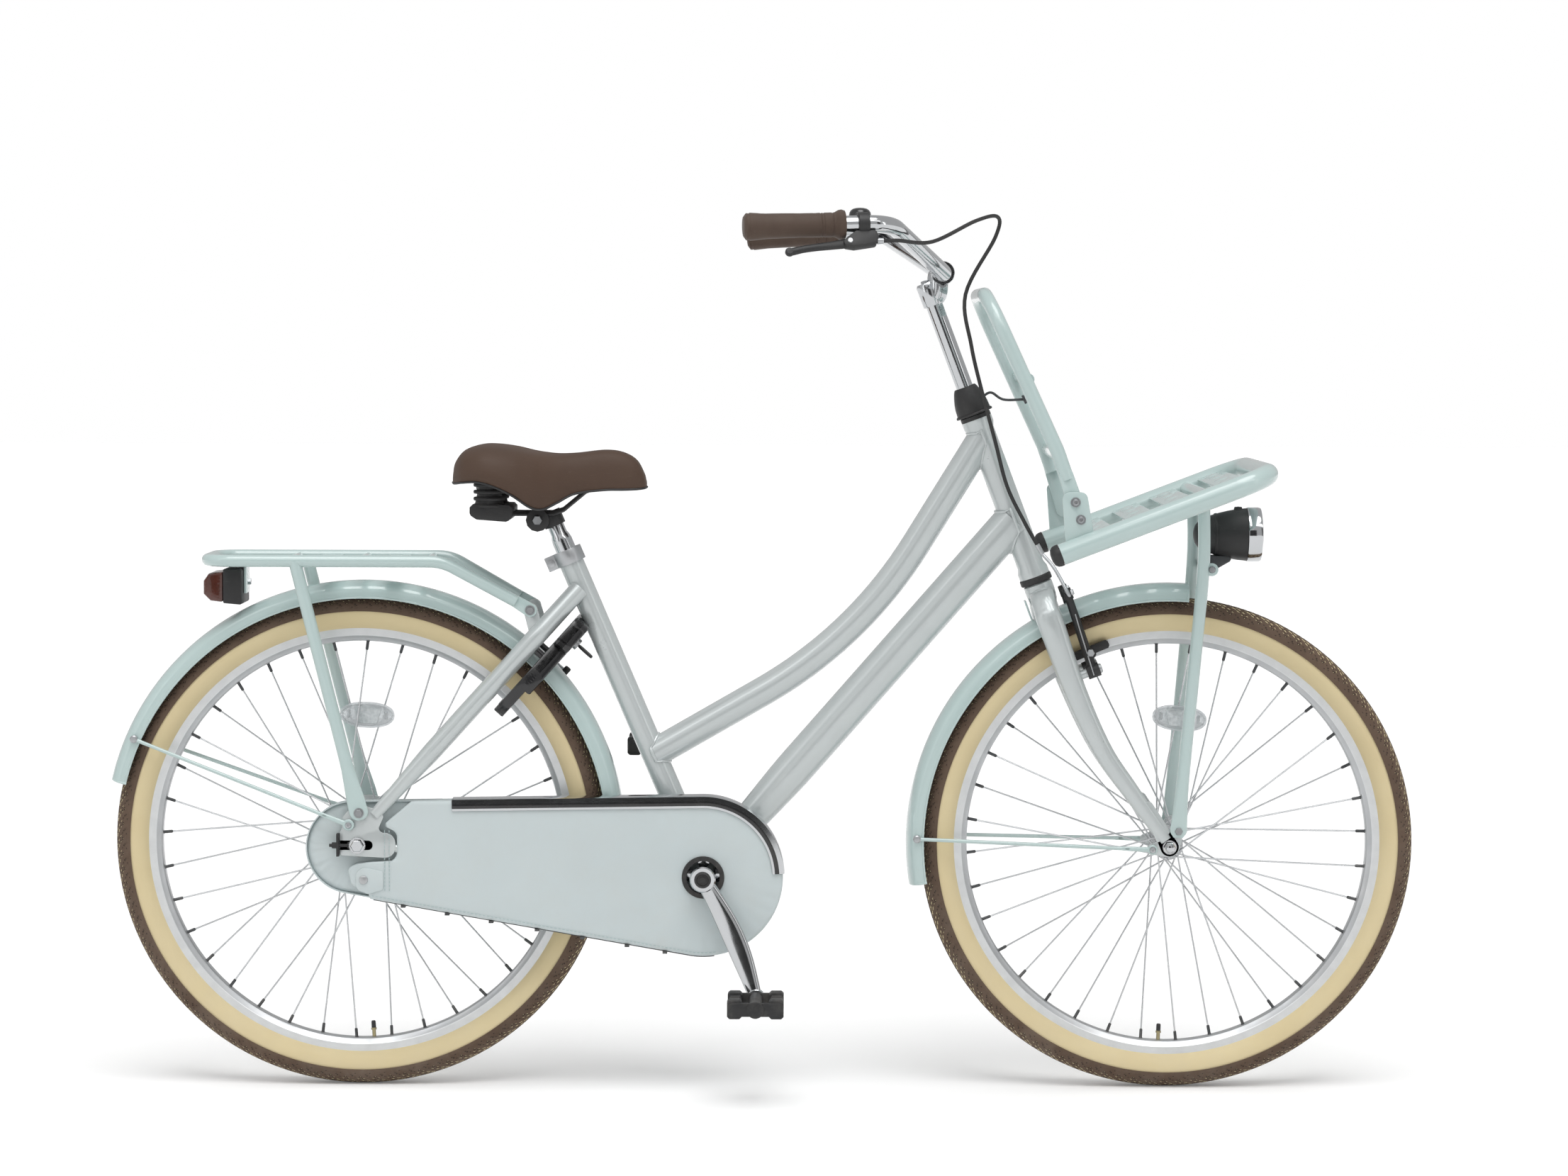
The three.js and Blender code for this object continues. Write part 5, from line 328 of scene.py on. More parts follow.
# Grain: fine cells and noise added up as a height, for moulded
# plastic, rubber, leather and cast or brushed metal.
grain, gin, gout = newGroup("grain", [("Vector", "Place", None), ("Float", "Size", 900.0),
    ("Float", "Cells", 0.5), ("Float", "Stretch", 1.0)], [("Float", "Height")])
longer = addNode(grain, "CombineXYZ", {"X": gin.outputs["Stretch"], "Y": 1.0, "Z": gin.outputs["Stretch"]})
scaled = addNode(grain, "VectorMath", {0: gin.outputs["Place"], 1: longer.outputs[0]}, operation="MULTIPLY")
cells = addNode(grain, "TexVoronoi", {"Vector": scaled.outputs[0], "Scale": gin.outputs["Size"]})
fuzz = addNode(grain, "TexNoise", {"Vector": scaled.outputs[0], "Scale": gin.outputs["Size"], "Detail": 4.0})
height = addNode(grain, "Mix", {0: gin.outputs["Cells"], 2: fuzz.outputs[0], 3: cells.outputs[0]},
    data_type="FLOAT")
grain.links.new(height.outputs[0], gout.inputs["Height"])

# Dust: settles towards the ground and in broken patches, and dulls what it covers.
dust, din, dout = newGroup("dust", [("Vector", "Place", None), ("Color", "Tone", (1, 1, 1, 1)),
    ("Float", "Roughness", 0.4), ("Float", "Amount", 0.1), ("Color", "Dust Tone", (0.55, 0.50, 0.43, 1))],
    [("Color", "Tone"), ("Float", "Roughness")])
heightOf = addNode(dust, "SeparateXYZ", {0: din.outputs["Place"]})
lowDown = addNode(dust, "MapRange", {"Value": heightOf.outputs[2], "From Min": 0.0, "From Max": 0.5,
    "To Min": 1.0, "To Max": 0.1})
blotch = addNode(dust, "TexNoise", {"Vector": din.outputs["Place"], "Scale": 22.0, "Detail": 6.0,
    "Roughness": 0.7})
broken = addNode(dust, "MapRange", {"Value": blotch.outputs[0], "From Min": 0.42, "From Max": 0.72})
settled = addNode(dust, "Math", {0: lowDown.outputs[0], 1: broken.outputs[0]}, operation="MULTIPLY")
cover = addNode(dust, "Math", {0: settled.outputs[0], 1: din.outputs["Amount"]}, operation="MULTIPLY")
dusty = addNode(dust, "Mix", {0: cover.outputs[0], 6: din.outputs["Tone"], 7: din.outputs["Dust Tone"]},
    data_type="RGBA")
dull = addNode(dust, "Math", {0: cover.outputs[0], 1: 0.5, 2: din.outputs["Roughness"]},
    operation="MULTIPLY_ADD")
dust.links.new(dusty.outputs[2], dout.inputs["Tone"])
dust.links.new(dull.outputs[0], dout.inputs["Roughness"])

# Scratches: thin stretched lines of noise that lighten and roughen, for metal and hard plastic.
scratches, scratchInputs, sout = newGroup("scratches",
    [("Vector", "Place", None), ("Float", "Size", 60.0), ("Float", "Amount", 0.1)], [("Float", "Mask")])
drawn = addNode(scratches, "VectorMath", {0: scratchInputs.outputs["Place"], 1: (1.0, 1.0, 9.0)},
    operation="MULTIPLY")
lines = addNode(scratches, "TexNoise", {"Vector": drawn.outputs[0], "Scale": scratchInputs.outputs["Size"],
    "Detail": 7.0, "Roughness": 0.75})
thin = addNode(scratches, "MapRange", {"Value": lines.outputs[0], "From Min": 0.60, "From Max": 0.66})
faint = addNode(scratches, "Math", {0: thin.outputs[0], 1: scratchInputs.outputs["Amount"]},
    operation="MULTIPLY")
scratches.links.new(faint.outputs[0], sout.inputs["Mask"])


def linear(r, g, b):  # a colour read as 0 to 255 on a screen
    c = vec(r, g, b) / 255
    return (*np.where(c <= 0.04045, c / 12.92, ((c + 0.055) / 1.055) ** 2.4), 1.0)


# What each finish is, in the order that makeFinish takes it: two tones as a screen shows them, size and
# spread of the patches, roughness and its spread, size, share of cells and height in millimetres of the
# grain, metal, coat, scratches and dust; then sheen and transmission, where a finish has them.
finishes = {
    "pearlPaint": ((196, 202, 202), (184, 191, 192), 30, 0.25, 0.27, 0.05, 240, 0.8, 0.012, 0.25, 1, 0.05,
        0.1),
    "mintPaint": ((184, 203, 201), (172, 193, 191), 14, 0.22, 0.28, 0.06, 160, 0.2, 0.012, 0, 1, 0.05, 0.12),
    "vinyl": ((198, 208, 209), (188, 199, 201), 9, 0.3, 0.48, 0.1, 420, 0.5, 0.05, 0, 0, 0.04, 0.2),
    "chrome": ((205, 207, 209), (186, 189, 192), 20, 0.3, 0.07, 0.07, 60, 0.1, 0.003, 1, 0, 0.12, 0.1),
    "rimAlloy": ((196, 198, 200), (172, 175, 178), 30, 0.4, 0.3, 0.12, 300, 0.1, 0.01, 0.9, 0, 0.2, 0.15),
    # painted highlight: the rim alloy again, painted brighter for the brake track
    "paintedTrackHighlight": ((226, 228, 229), (206, 208, 210), 60, 0.4, 0.34, 0.12, 500, 0.1, 0.01, 0.7, 0, 0.1, 0.1),
    "spokeSteel": ((205, 207, 209), (176, 179, 182), 90, 0.5, 0.24, 0.1, 300, 0.1, 0.002, 0.75, 0, 0.1, 0.1),
    "satinAlloy": ((190, 192, 194), (165, 168, 171), 40, 0.4, 0.34, 0.12, 1500, 0.3, 0.03, 0.9, 0, 0.2, 0.2),
    "steel": ((168, 170, 172), (132, 134, 137), 60, 0.5, 0.33, 0.15, 1100, 0.2, 0.03, 0.9, 0, 0.25, 0.2),
    "darkSteel": ((86, 88, 90), (60, 62, 64), 50, 0.5, 0.42, 0.15, 1100, 0.2, 0.03, 0.8, 0, 0.25, 0.2),
    "brass": ((176, 166, 132), (142, 130, 98), 80, 0.6, 0.3, 0.1, 900, 0.2, 0.02, 0.9, 0, 0.1, 0.1),
    "blackPlastic": ((34, 34, 35), (47, 47, 48), 24, 0.5, 0.42, 0.16, 1500, 0.6, 0.06, 0, 0, 0.08, 0.15),
    "blackGloss": ((26, 26, 28), (38, 38, 40), 20, 0.4, 0.2, 0.1, 200, 0.3, 0.01, 0, 0.4, 0.06, 0.1),
    "blackRubber": ((40, 40, 41), (54, 53, 52), 30, 0.6, 0.62, 0.15, 1900, 0.6, 0.08, 0, 0, 0.05, 0.2),
    "gripRubber": ((78, 60, 48), (64, 48, 38), 26, 0.5, 0.66, 0.12, 2100, 0.7, 0.1, 0, 0, 0.05, 0.1, 0.12),
    "saddleSkin": ((78, 56, 41), (60, 43, 32), 11, 0.4, 0.62, 0.1, 1150, 0.75, 0.16, 0, 0, 0.05, 0.05),
    "treadRubber": ((96, 77, 62), (80, 63, 51), 30, 0.6, 0.8, 0.1, 1500, 0.5, 0.03, 0, 0, 0.03, 0.12),
    # painted shade: the tread rubber, painted darker for the groove floors
    "paintedGrooveShade": ((58, 45, 36), (46, 36, 29), 30, 0.6, 0.9, 0.05, 1500, 0.5, 0.03, 0, 0, 0, 0.1),
    "creamWall": ((217, 201, 160), (205, 187, 144), 12, 0.45, 0.7, 0.1, 1700, 0.3, 0.08, 0, 0, 0.03, 0.12),
    "redLens": ((80, 44, 34), (98, 36, 26), 60, 0.4, 0.14, 0.05, 360, 1, 0.25, 0, 0.6, 0.04, 0.1),
    "clearLens": ((226, 230, 232), (205, 210, 214), 60, 0.4, 0.08, 0.05, 320, 1, 0.3, 0, 0.5, 0.03, 0.05, 0,
        0.55),
    "reflectorFace": ((208, 213, 214), (176, 182, 185), 240, 0.9, 0.16, 0.05, 300, 1, 0.35, 0.15, 0.5, 0.03,
        0.05),
    "stitching": ((178, 196, 196), (160, 180, 181), 300, 0.6, 0.8, 0.1, 3000, 0.3, 0.1, 0, 0, 0, 0.2),
}


# A finish: patches set its tone and roughness, scratches lighten
# them, dust covers, and grain bumps the shader.
def makeFinish(name, tone, second, size, spread, rough, roughSpread, grainSize, cells, grainHeight, metallic,
        coat, scratch, dust, sheen=0.0, transmission=0.0):
    material = bpy.data.materials.new(name)
    material.use_nodes = True
    tree = material.node_tree
    shader = tree.nodes["Principled BSDF"]
    place = addNode(tree, "TexCoord").outputs["Object"]
    tones = addNode(tree, "Group", node_tree=patches)
    for key, value in (("Tone", linear(*tone)), ("Second Tone", linear(*second)), ("Size", size),
            ("Spread", spread), ("Roughness", rough), ("Roughness Spread", roughSpread)):
        tones.inputs[key].default_value = value
    tree.links.new(place, tones.inputs["Place"])
    lines = addNode(tree, "Group", node_tree=bpy.data.node_groups["scratches"])
    tree.links.new(place, lines.inputs["Place"])
    lines.inputs["Amount"].default_value = scratch
    worn = addNode(tree, "Mix", {0: lines.outputs["Mask"], 6: tones.outputs["Tone"],
        7: linear(*(0.5 * c + 110 for c in tone))}, data_type="RGBA")
    settledDust = addNode(tree, "Group", node_tree=bpy.data.node_groups["dust"])
    for key, value in (("Place", place), ("Tone", worn.outputs[2]),
            ("Roughness", tones.outputs["Roughness"])):
        tree.links.new(value, settledDust.inputs[key])
    settledDust.inputs["Amount"].default_value = dust
    relief = addNode(tree, "Group", node_tree=grain)
    tree.links.new(place, relief.inputs["Place"])
    relief.inputs["Size"].default_value = grainSize
    relief.inputs["Cells"].default_value = cells
    bump = addNode(tree, "Bump", {"Height": relief.outputs["Height"], "Strength": 0.6,
        "Distance": grainHeight / 1000})
    tree.links.new(settledDust.outputs["Tone"], shader.inputs["Base Color"])
    tree.links.new(settledDust.outputs["Roughness"], shader.inputs["Roughness"])
    tree.links.new(bump.outputs[0], shader.inputs["Normal"])
    shader.inputs["Metallic"].default_value = metallic
    shader.inputs["Coat Weight"].default_value = coat
    shader.inputs["Coat Roughness"].default_value = 0.08
    shader.inputs["Sheen Weight"].default_value = sheen
    shader.inputs["Sheen Roughness"].default_value = 0.5
    shader.inputs["Transmission Weight"].default_value = transmission
    return material


looks = {name: makeFinish(name, *row) for name, row in finishes.items()}
print("finishes made:", len(looks))


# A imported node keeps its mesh. Its loose triangles are welded, its
# edges eased and its round sides shaded smooth.
def keepNode(name, look, ease=0.0, split=50):
    made = nodes[name]
    made.data.materials.clear()
    made.data.materials.append(looks[look])
    made.data.shade_smooth()
    weld = made.modifiers.new("weld", "WELD")
    weld.merge_threshold = 2e-5
    if ease:
        bevel = made.modifiers.new("ease", "BEVEL")
        bevel.width = ease / 1000
        bevel.segments = 2
        bevel.limit_method = "ANGLE"
        bevel.angle_limit = np.radians(split)
        bevel.harden_normals = False
    edges = made.modifiers.new("edges", "EDGE_SPLIT")
    edges.split_angle = np.radians(split)


# camera

cameraSizes = {"x": 567.94, "y": -5280.5, "z": 1001.7, "yaw": 0.0016, "pitch": 0.064, "roll": 0.0035,
    "focal": 5632.9, "width": 2212, "sensor": 36.0}


def makeCamera():
    c = cameraSizes
    yaw, pitch, roll = c["yaw"], c["pitch"], c["roll"]
    ahead = vec(-np.sin(yaw) * np.cos(pitch), np.cos(yaw) * np.cos(pitch), -np.sin(pitch))
    right = vec(np.cos(yaw), np.sin(yaw), 0)
    up = np.cross(right, ahead)
    rolledRight = np.cos(roll) * right + np.sin(roll) * up
    rolledUp = -np.sin(roll) * right + np.cos(roll) * up
    data = bpy.data.cameras.new("photoView")
    data.sensor_width = c["sensor"]
    data.lens = c["focal"] / c["width"] * c["sensor"]
    data.clip_start, data.clip_end = 0.1, 200
    camera = bpy.data.objects.new("photoView", data)
    facing = Matrix([Vector(rolledRight), Vector(rolledUp), Vector(-ahead)]).transposed()
    camera.matrix_world = (Matrix.Translation(Vector(((c["x"] + shiftX) / 1000, c["y"] / 1000,
        c["z"] / 1000))) @ facing.to_4x4())
    bpy.context.scene.collection.objects.link(camera)
    bpy.context.scene.camera = camera


makeCamera()
print("camera made")


# brake cable, at the handlebar

barSizes = {"radius": 11.1, "bend": (692.0, 256.0, 1138.0), "end": (512.0, 284.0, 1132.5),
    "clamp": (767.0, 32.0, 1080.0), "gripBend": 42.0, "clampBend": 34.0, "lean": (0.0, 0.5, -0.866)}
barBend, barEnd = vec(*barSizes["bend"]), vec(*barSizes["end"])
barWay = unit(barEnd - barBend)
gripOut = unit(vec(*barSizes["lean"]) - barWay * vec(*barSizes["lean"]).dot(barWay))
gripAcross = np.cross(barWay, gripOut)


def onBar(behind, out=0.0, across=0.0):
    return barBend + barWay * behind + gripOut * out + gripAcross * across


cableSizes = {"radius": 2.5, "route": [[747, -190, 1117], [806, -110, 1146], [836, -66, 1152],
    [834, -42, 1126], [796, -36, 1052], [804, -36, 985], [818, -36, 926], [836, -36, 860], [852, -36.5, 801],
    [875, -37.5, 754], [899, -39, 712]]}


def makeCable():
    first, away = onBar(11.7, 25) * vec(1, -1, 1), onBar(-7.2, 25) * vec(1, -1, 1)
    def across(y):
        return onFork(32, 31, y)

    path = flow([first, away] + [vec(*p) for p in cableSizes["route"]], 8)
    cable = piece("cableHousing", [sweep(path, [cableSizes["radius"]] * 2, 14, (0, 0, 1))], "steering",
        "blackRubber", ["brake_cable"])
    guide = flow([path[-1] - unit(path[-1] - path[-3]) * 12, path[-1], vec(914, -50, 694), across(-66),
        across(-58), across(-42), across(-24)], 8)
    piece("cableGuide", [sweep(guide, [2.3, 2.3], 16, (0, 0, 1)),
        rod(across(-24), across(54), 0.8, sides=10), rod(path[-1] - unit(path[-1] - path[-3]) * 14, path[-1],
        3.4, 3.0)], "steering", "satinAlloy")
    boot = [across(-23) + sideWay * t for t in np.linspace(0, 32, 33)]
    fold = 3.4 + 0.9 * np.cos(np.linspace(0, 10 * np.pi, 33))
    piece("cableBoot", [sweep(boot, np.stack([fold, fold], -1), 20, (0, 0, 1))], "steering", "blackRubber")


makeCable()
print("cable made")


# wheels

wheelSizes = {
    "tyreRadius": 326.5, "casing": 23.5, "treadFrom": 305.4, "rimInner": 265.0, "rimOuter": 285.5,
    "rimHalf": 12.0, "rimNeck": 6.8, "trackFrom": 272.5, "wellRadius": 279.0, "lip": 1.6, "around": 360,
    "spokeRadius": 1.1,
    "spokes": 36, "crosses": 3, "nippleRadius": 2.0, "nippleLength": 12.0, "nippleSpread": 3.0,
    "leaves": 100, "groove": 1.5,
}
hubSizes = {
    "rear": {"flange": 31.0, "holes": 27.5, "spacing": 60.0, "thick": 2.6, "barrel": 21.0, "length": 66.0,
        "bore": 7.0, "phase": -1.8, "valve": -86.8, "reflector": 87.4},
    "front": {"flange": 19.5, "holes": 16.5, "spacing": 66.0, "thick": 2.6, "barrel": 11.0, "length": 76.0,
        "bore": 6.0, "phase": 3.3, "valve": -91.7, "reflector": 84.6},
}


# A tyre: a ring whose section is a circle cut at the beads. The tread
# swells it and shallow leaf-shaped grooves cut in.
def tyreGrid(fromAngle, toAngle, columns, rows, tread):
    w = wheelSizes
    a = np.radians(np.linspace(fromAngle, toAngle, columns))[None, :]
    b = np.linspace(0, 2 * np.pi, rows, endpoint=False)[:, None]
    middle = w["tyreRadius"] - w["casing"]
    radius = middle + w["casing"] * np.sin(a) + 0 * b
    aside = w["casing"] * np.cos(a) * (0.94 if not tread else 1.0) + 0 * b
    if tread:
        crown = np.clip((np.sin(a) - 0.1) / 0.9, 0, 1)
        wave = np.cos(w["leaves"] * b + 5.0 * np.abs(np.cos(a)) ** 1.5 * 2.2)
        leaf = np.exp(-((wave - 0.35) / 0.16) ** 2) * np.clip(np.sin(a) * 3, 0, 1)
        small = (np.exp(-((np.cos(w["leaves"] * 3 * b - 9 * np.cos(a)) - 0.6) / 0.3) ** 2)
            * np.exp(-((np.sin(a) - 0.45) / 0.22) ** 2))
        cut = w["groove"] * (leaf + 0.2 * small) * (0.35 + crown)
        radius = radius - cut * np.sin(a)
        aside = aside - cut * np.cos(a)
    return radius, aside, b


def wheelSurface(radius, aside, angle, centre):
    out = np.stack([np.cos(angle) + 0 * radius, 0 * radius, np.sin(angle) + 0 * radius], -1)
    return centre + out * radius[..., None] + sideWay * aside[..., None]


# Radius from an axle and place along it, for every face of a piece.
def away(made, centre):
    middle = np.empty(len(made.data.polygons) * 3)
    made.data.polygons.foreach_get("center", middle)
    middle = middle.reshape(-1, 3) * 1000 - vec(shiftX, 0, 0) - centre
    return np.hypot(middle[:, 0], middle[:, 2]), middle[:, 1]


def shade(made, material, where):
    made.data.materials.append(material)
    made.data.polygons.foreach_set("material_index", where.astype(int))


def makeWheel(name, centre):
    w, hub = wheelSizes, hubSizes[name]
    body = name + "_wheel"
    bead = vec(w["wellRadius"] + 1, w["rimHalf"] - w["lip"] - 0.6)
    radius, aside, angle = tyreGrid(-36, 216, 60, w["around"], False)
    radius = np.minimum(radius, w["tyreRadius"] - 1.2)
    seat = np.stack([np.full(w["around"], bead[0])] * 2, -1)
    seatAside = np.stack([np.full(w["around"], -bead[1]), np.full(w["around"], bead[1])], -1)
    radius = np.concatenate([radius, seat], 1)
    aside = np.concatenate([aside, seatAside], 1)
    piece(name + "TyreWall", [skin(wheelSurface(radius, aside, angle, centre), loop=True)], body,
        "creamWall", [name + "_tyre"], sharp=60)
    start = np.degrees(np.arcsin((w["treadFrom"] - w["tyreRadius"] + w["casing"]) / w["casing"]))
    radius, aside, angle = tyreGrid(start, 180 - start, 64, w["leaves"] * 10, True)
    inner = np.stack([np.full(len(radius), w["treadFrom"] + 1)] * 2, -1)
    innerAside = np.stack([np.full(len(radius), -w["casing"] * 0.9),
        np.full(len(radius), w["casing"] * 0.9)], -1)
    radius = np.concatenate([radius, inner], 1)
    aside = np.concatenate([aside, innerAside], 1)
    made = piece(name + "TyreTread", [skin(wheelSurface(radius, aside, angle, centre), loop=True)], body,
        "treadRubber", sharp=60)
    # The floor of each groove is painted darker, as painted shade: faces that lie deeper than the casing's
    # circle
    depth = (w["casing"] - np.hypot(away(made, centre)[0] - w["tyreRadius"] + w["casing"],
        away(made, centre)[1]))
    shade(made, looks["paintedGrooveShade"], (depth > w["groove"] * 0.25) & (away(made, centre)[0] > w["treadFrom"]
        + 2))
    # Rim: hollow box section with a brake track, lips and a well; the track's brighter tone is a painted
    # highlight
    half, neck = w["rimHalf"], w["rimNeck"]
    side = [[w["rimInner"], 0], [w["rimInner"] + 0.2, neck - 1.5], [w["rimInner"] + 1.6, neck + 0.8],
        [w["trackFrom"] - 1, half - 1.6], [w["trackFrom"], half - 0.5], [w["trackFrom"] + 0.8, half - 0.1],
        [w["rimOuter"] - 1, half], [w["rimOuter"], half - 0.5], [w["rimOuter"], half - 1.2],
        [w["rimOuter"] - 0.8, half - w["lip"]], [w["wellRadius"] + 0.5, half - w["lip"]],
        [w["wellRadius"] - 1.5, half - 4], [w["wellRadius"] - 3, 0]]
    profile = np.array(side + [[r, -h] for r, h in side[-2:0:-1]])
    grid = np.broadcast_to(profile, (w["around"], *profile.shape))
    ringAngle = np.linspace(0, 2 * np.pi, w["around"], endpoint=False)[:, None]
    made = piece(name + "RimAlloy", [skin(wheelSurface(grid[..., 0], grid[..., 1], ringAngle, centre),
        loop=True)], body, "rimAlloy", [name + "_rim"], sharp=25)
    # the brake track is painted brighter than the rest of the rim, a painted highlight on the same alloy
    shade(made, looks["paintedTrackHighlight"], away(made, centre)[0] > w["trackFrom"])
    # Hub shell and three-cross spokes, each bent over its flange, with nipples at the rim
    face, flat = hub["spacing"] / 2, hub["thick"] / 2
    end = hub["length"] / 2
    bulge = hub["barrel"]
    side = [[hub["bore"], end], [bulge * 0.8, end], [bulge, end - 1.5], [bulge, face + flat + 0.4],
        [hub["flange"] - 0.8, face + flat], [hub["flange"], face + flat - 0.6],
        [hub["flange"], face - flat + 0.6], [hub["flange"] - 0.8, face - flat],
        [bulge + 3, face - flat - 0.4], [bulge * 0.94, face - flat - 4], [bulge * 0.86, 0]]
    profile = side + [[r, -h] for r, h in side[-2::-1]]
    pitch = 2 * np.pi / w["spokes"]
    hole = np.arange(w["spokes"] // 2)
    wires, nipples, heads = [], [], []
    for way in (1, -1):
        leading = np.where(hole % 2 == 0, 1, -1)
        holeAngle = np.radians(hub["phase"]) + pitch * (2 * hole + (0 if way > 0 else 1))
        rimAngle = holeAngle + leading * w["crosses"] * 2 * pitch
        def out(angles):
            return np.stack([np.cos(angles), 0 * angles, np.sin(angles)], -1)

        start = (centre + out(holeAngle) * hub["holes"] + sideWay
            * (way * (face + leading * (flat + 0.7)))[:, None])
        finish = centre + out(rimAngle) * w["rimInner"] + sideWay * way * w["nippleSpread"]
        along = unit(finish - start)
        across = unit(np.cross(along, sideWay))
        third = np.cross(along, across)
        length = np.linalg.norm(finish - start, axis=-1)
        unitBar = rod((0, 0, 0), (1, 0, 0), 1, sides=8)
        points = unitBar[0]
        placed = (start[:, None] + along[:, None] * (points[:, :1] * length[:, None, None]) + across[:, None]
            * points[:, 1:2] * w["spokeRadius"] + third[:, None] * points[:, 2:] * w["spokeRadius"])
        count = len(points)
        wires.append((placed.reshape(-1, 3), [[v + n * count for v in f] for n in range(len(hole))
            for f in unitBar[1]]))
        seatShape = turned([[0, -w["nippleLength"]], [1.5, -w["nippleLength"]],
            [w["nippleRadius"], -w["nippleLength"] + 1.5], [w["nippleRadius"], -1], [2.8, 0.6], [0, 0.6]],
            (0, 0, 0), (1, 0, 0), 10)
        nipples.append(scattered(seatShape, finish, along, across, third))
        head = turned([[0, -1.1], [1.6, -0.8], [1.9, 0], [1.6, 0.6], [0, 0.8]], (0, 0, 0), (0, 1, 0), 10)
        heads.append(scattered(head, centre + out(holeAngle) * hub["holes"] + sideWay
            * (way * (face - leading * (flat + 0.5)))[:, None], vec(1, 0, 0), sideWay, vec(0, 0, 1)))
    piece(name + "HubShell", [turned(profile, centre, (0, 1, 0), 72, loop=True)], body, "satinAlloy",
        [name + "_hub"])
    piece(name + "Spokes", wires + heads, body, "spokeSteel")
    piece(name + "Nipples", nipples, body, "darkSteel")
    # Valve: brass stem with a nut, black cap
    inward = -turn(hub["valve"])
    base = centre - inward * (w["wellRadius"] - 1)
    piece(name + "ValveStem", [turned([[0, 0], [2.5, 0], [2.5, 22], [3.6, 22], [3.6, 24.5], [2.3, 24.5],
        [2.3, 28], [0, 28]], base, inward, 20)], body, "brass", [name + "_valve"])
    piece(name + "ValveCap", [turned([[0, 25], [2.9, 25], [3.0, 26], [2.9, 33], [2.2, 34], [0, 34.2]], base,
        inward, 20)], body, "blackPlastic")


makeWheel("rear", rearAxle)
makeWheel("front", frontAxle)

reflectorSizes = {"width": 72.0, "height": 34.0, "centre": 167.0, "thick": 3.4}


# Spoke reflector: a clear oval plate with a ribbed middle field and two clip eyes.
def makeReflector(name, centre):
    r, body = reflectorSizes, name + "_wheel"
    low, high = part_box(name + "_reflector")
    midY = (low.y + high.y) * 500
    out = turn(hubSizes[name]["reflector"])
    along = vec(out[2], 0, -out[0])
    at = centre + out * r["centre"] + sideWay * midY
    oval = ring(64, 0.86) * vec(r["width"], r["height"]) / 2
    hole = ring(64, 0.9) * vec(r["width"] - 5, r["height"] - 5) / 2
    tall = r["thick"] / 2
    rows = [(oval, -tall), (oval, tall), (hole, tall), (hole, -tall)]
    grid = np.stack([at + p[:, :1] * along + p[:, 1:] * out + sideWay * y for p, y in rows])
    frameRing = skin(grid, loop=True)
    inner = slab(ring(64, 0.9) * vec(r["width"] - 4.8, r["height"] - 4.8) / 2, at, along, out, -0.5, 0.5, 0.2)
    field = slab(rounded([[-13, -11], [13, -11], [19, 12], [-19, 12]], 3), at, along, out, -tall + 0.2,
        tall - 0.2, 0.5)
    eyes = [slab(rounded([[x - 2, -5], [x + 2, -5], [x + 2, 6], [x - 2, 6]], 1.8), at, along, out, -1.4, 1.4,
        0.3) for x in (-25, 25)]
    piece(name + "ReflectorBody", [frameRing, inner] + eyes, body, "clearLens", [name + "_reflector"])
    piece(name + "ReflectorField", [field], body, "reflectorFace")


makeReflector("rear", rearAxle)
makeReflector("front", frontAxle)
print("wheels made")

# frame

frameSizes = {
    "seatRadius": 16.5, "seatLength": 464.0, "headRadius": 18.0, "headRing": 20.5, "headRingHeight": 12.0,
    "topRadius": 19.5, "topSeat": 170.0, "knee": (658.0, 598.5), "kneeRadius": 575.0, "topHead": 25.0,
    "downDepth": 51.0, "downWidth": 46.0, "neckDepth": 43.0, "neckFrom": 70.0, "neckTo": 190.0,
    "downHead": 142.5,
    "shellRadius": 21.0, "shellHalf": 34.0, "weld": 2.4,
}
staySizes = {"foot": (22.0, 62.5, 366.0), "bendShare": 0.8, "bendY": 44.0, "top": (289.0, 17.0, 662.0),
    "footRadius": 7.5, "radius": 12.6, "taper": 0.28, "bridgeShare": 0.79, "bridgeRadius": 6.0,
    "chainBridgeX": 366.0}


def stayPoint(share):
    s = staySizes
    foot, top = vec(*s["foot"]), vec(*s["top"])
    at = foot + (top - foot) * share
    bend = s["bendShare"]
    at[1] = (foot[1] + (s["bendY"] - foot[1]) * share / bend if share < bend else s["bendY"]
        + (top[1] - s["bendY"]) * (share - bend) / (1 - bend))
    return at


def stayHeight(x):
    return layout["bracketZ"] + (layout["axleZ"] - layout["bracketZ"]) * (1 - x / layout["bracketX"])


# A weld: from each point round tube A its line is followed to the skin
# of tube B, and a bead is laid along that curve.
def weldBead(start, way, radii, onto, axis, radius, bead):
    way, axis = unit(np.asarray(way, float)), unit(np.asarray(axis, float))
    x = unit(np.cross(way, axis))
    y = np.cross(way, x)
    shape = ring(64)
    origin = start + x * shape[:, :1] * radii[0] + y * shape[:, 1:] * radii[1]
    offset = origin - onto
    flatWay = way - axis * way.dot(axis)
    flatOffset = offset - axis * (offset @ axis)[:, None]
    a = flatWay.dot(flatWay)
    b = flatOffset @ flatWay
    c = (flatOffset**2).sum(-1) - radius**2
    reach = (-b - np.sqrt(np.maximum(b * b - a * c, 0))) / a
    path = origin + way * reach[:, None]
    out = unit(origin - start)
    spin = ring(10) * bead
    grid = path[:, None] + out[:, None] * spin[None, :, :1] + way * spin[None, :, 1:]
    return skin(grid, loop=True)


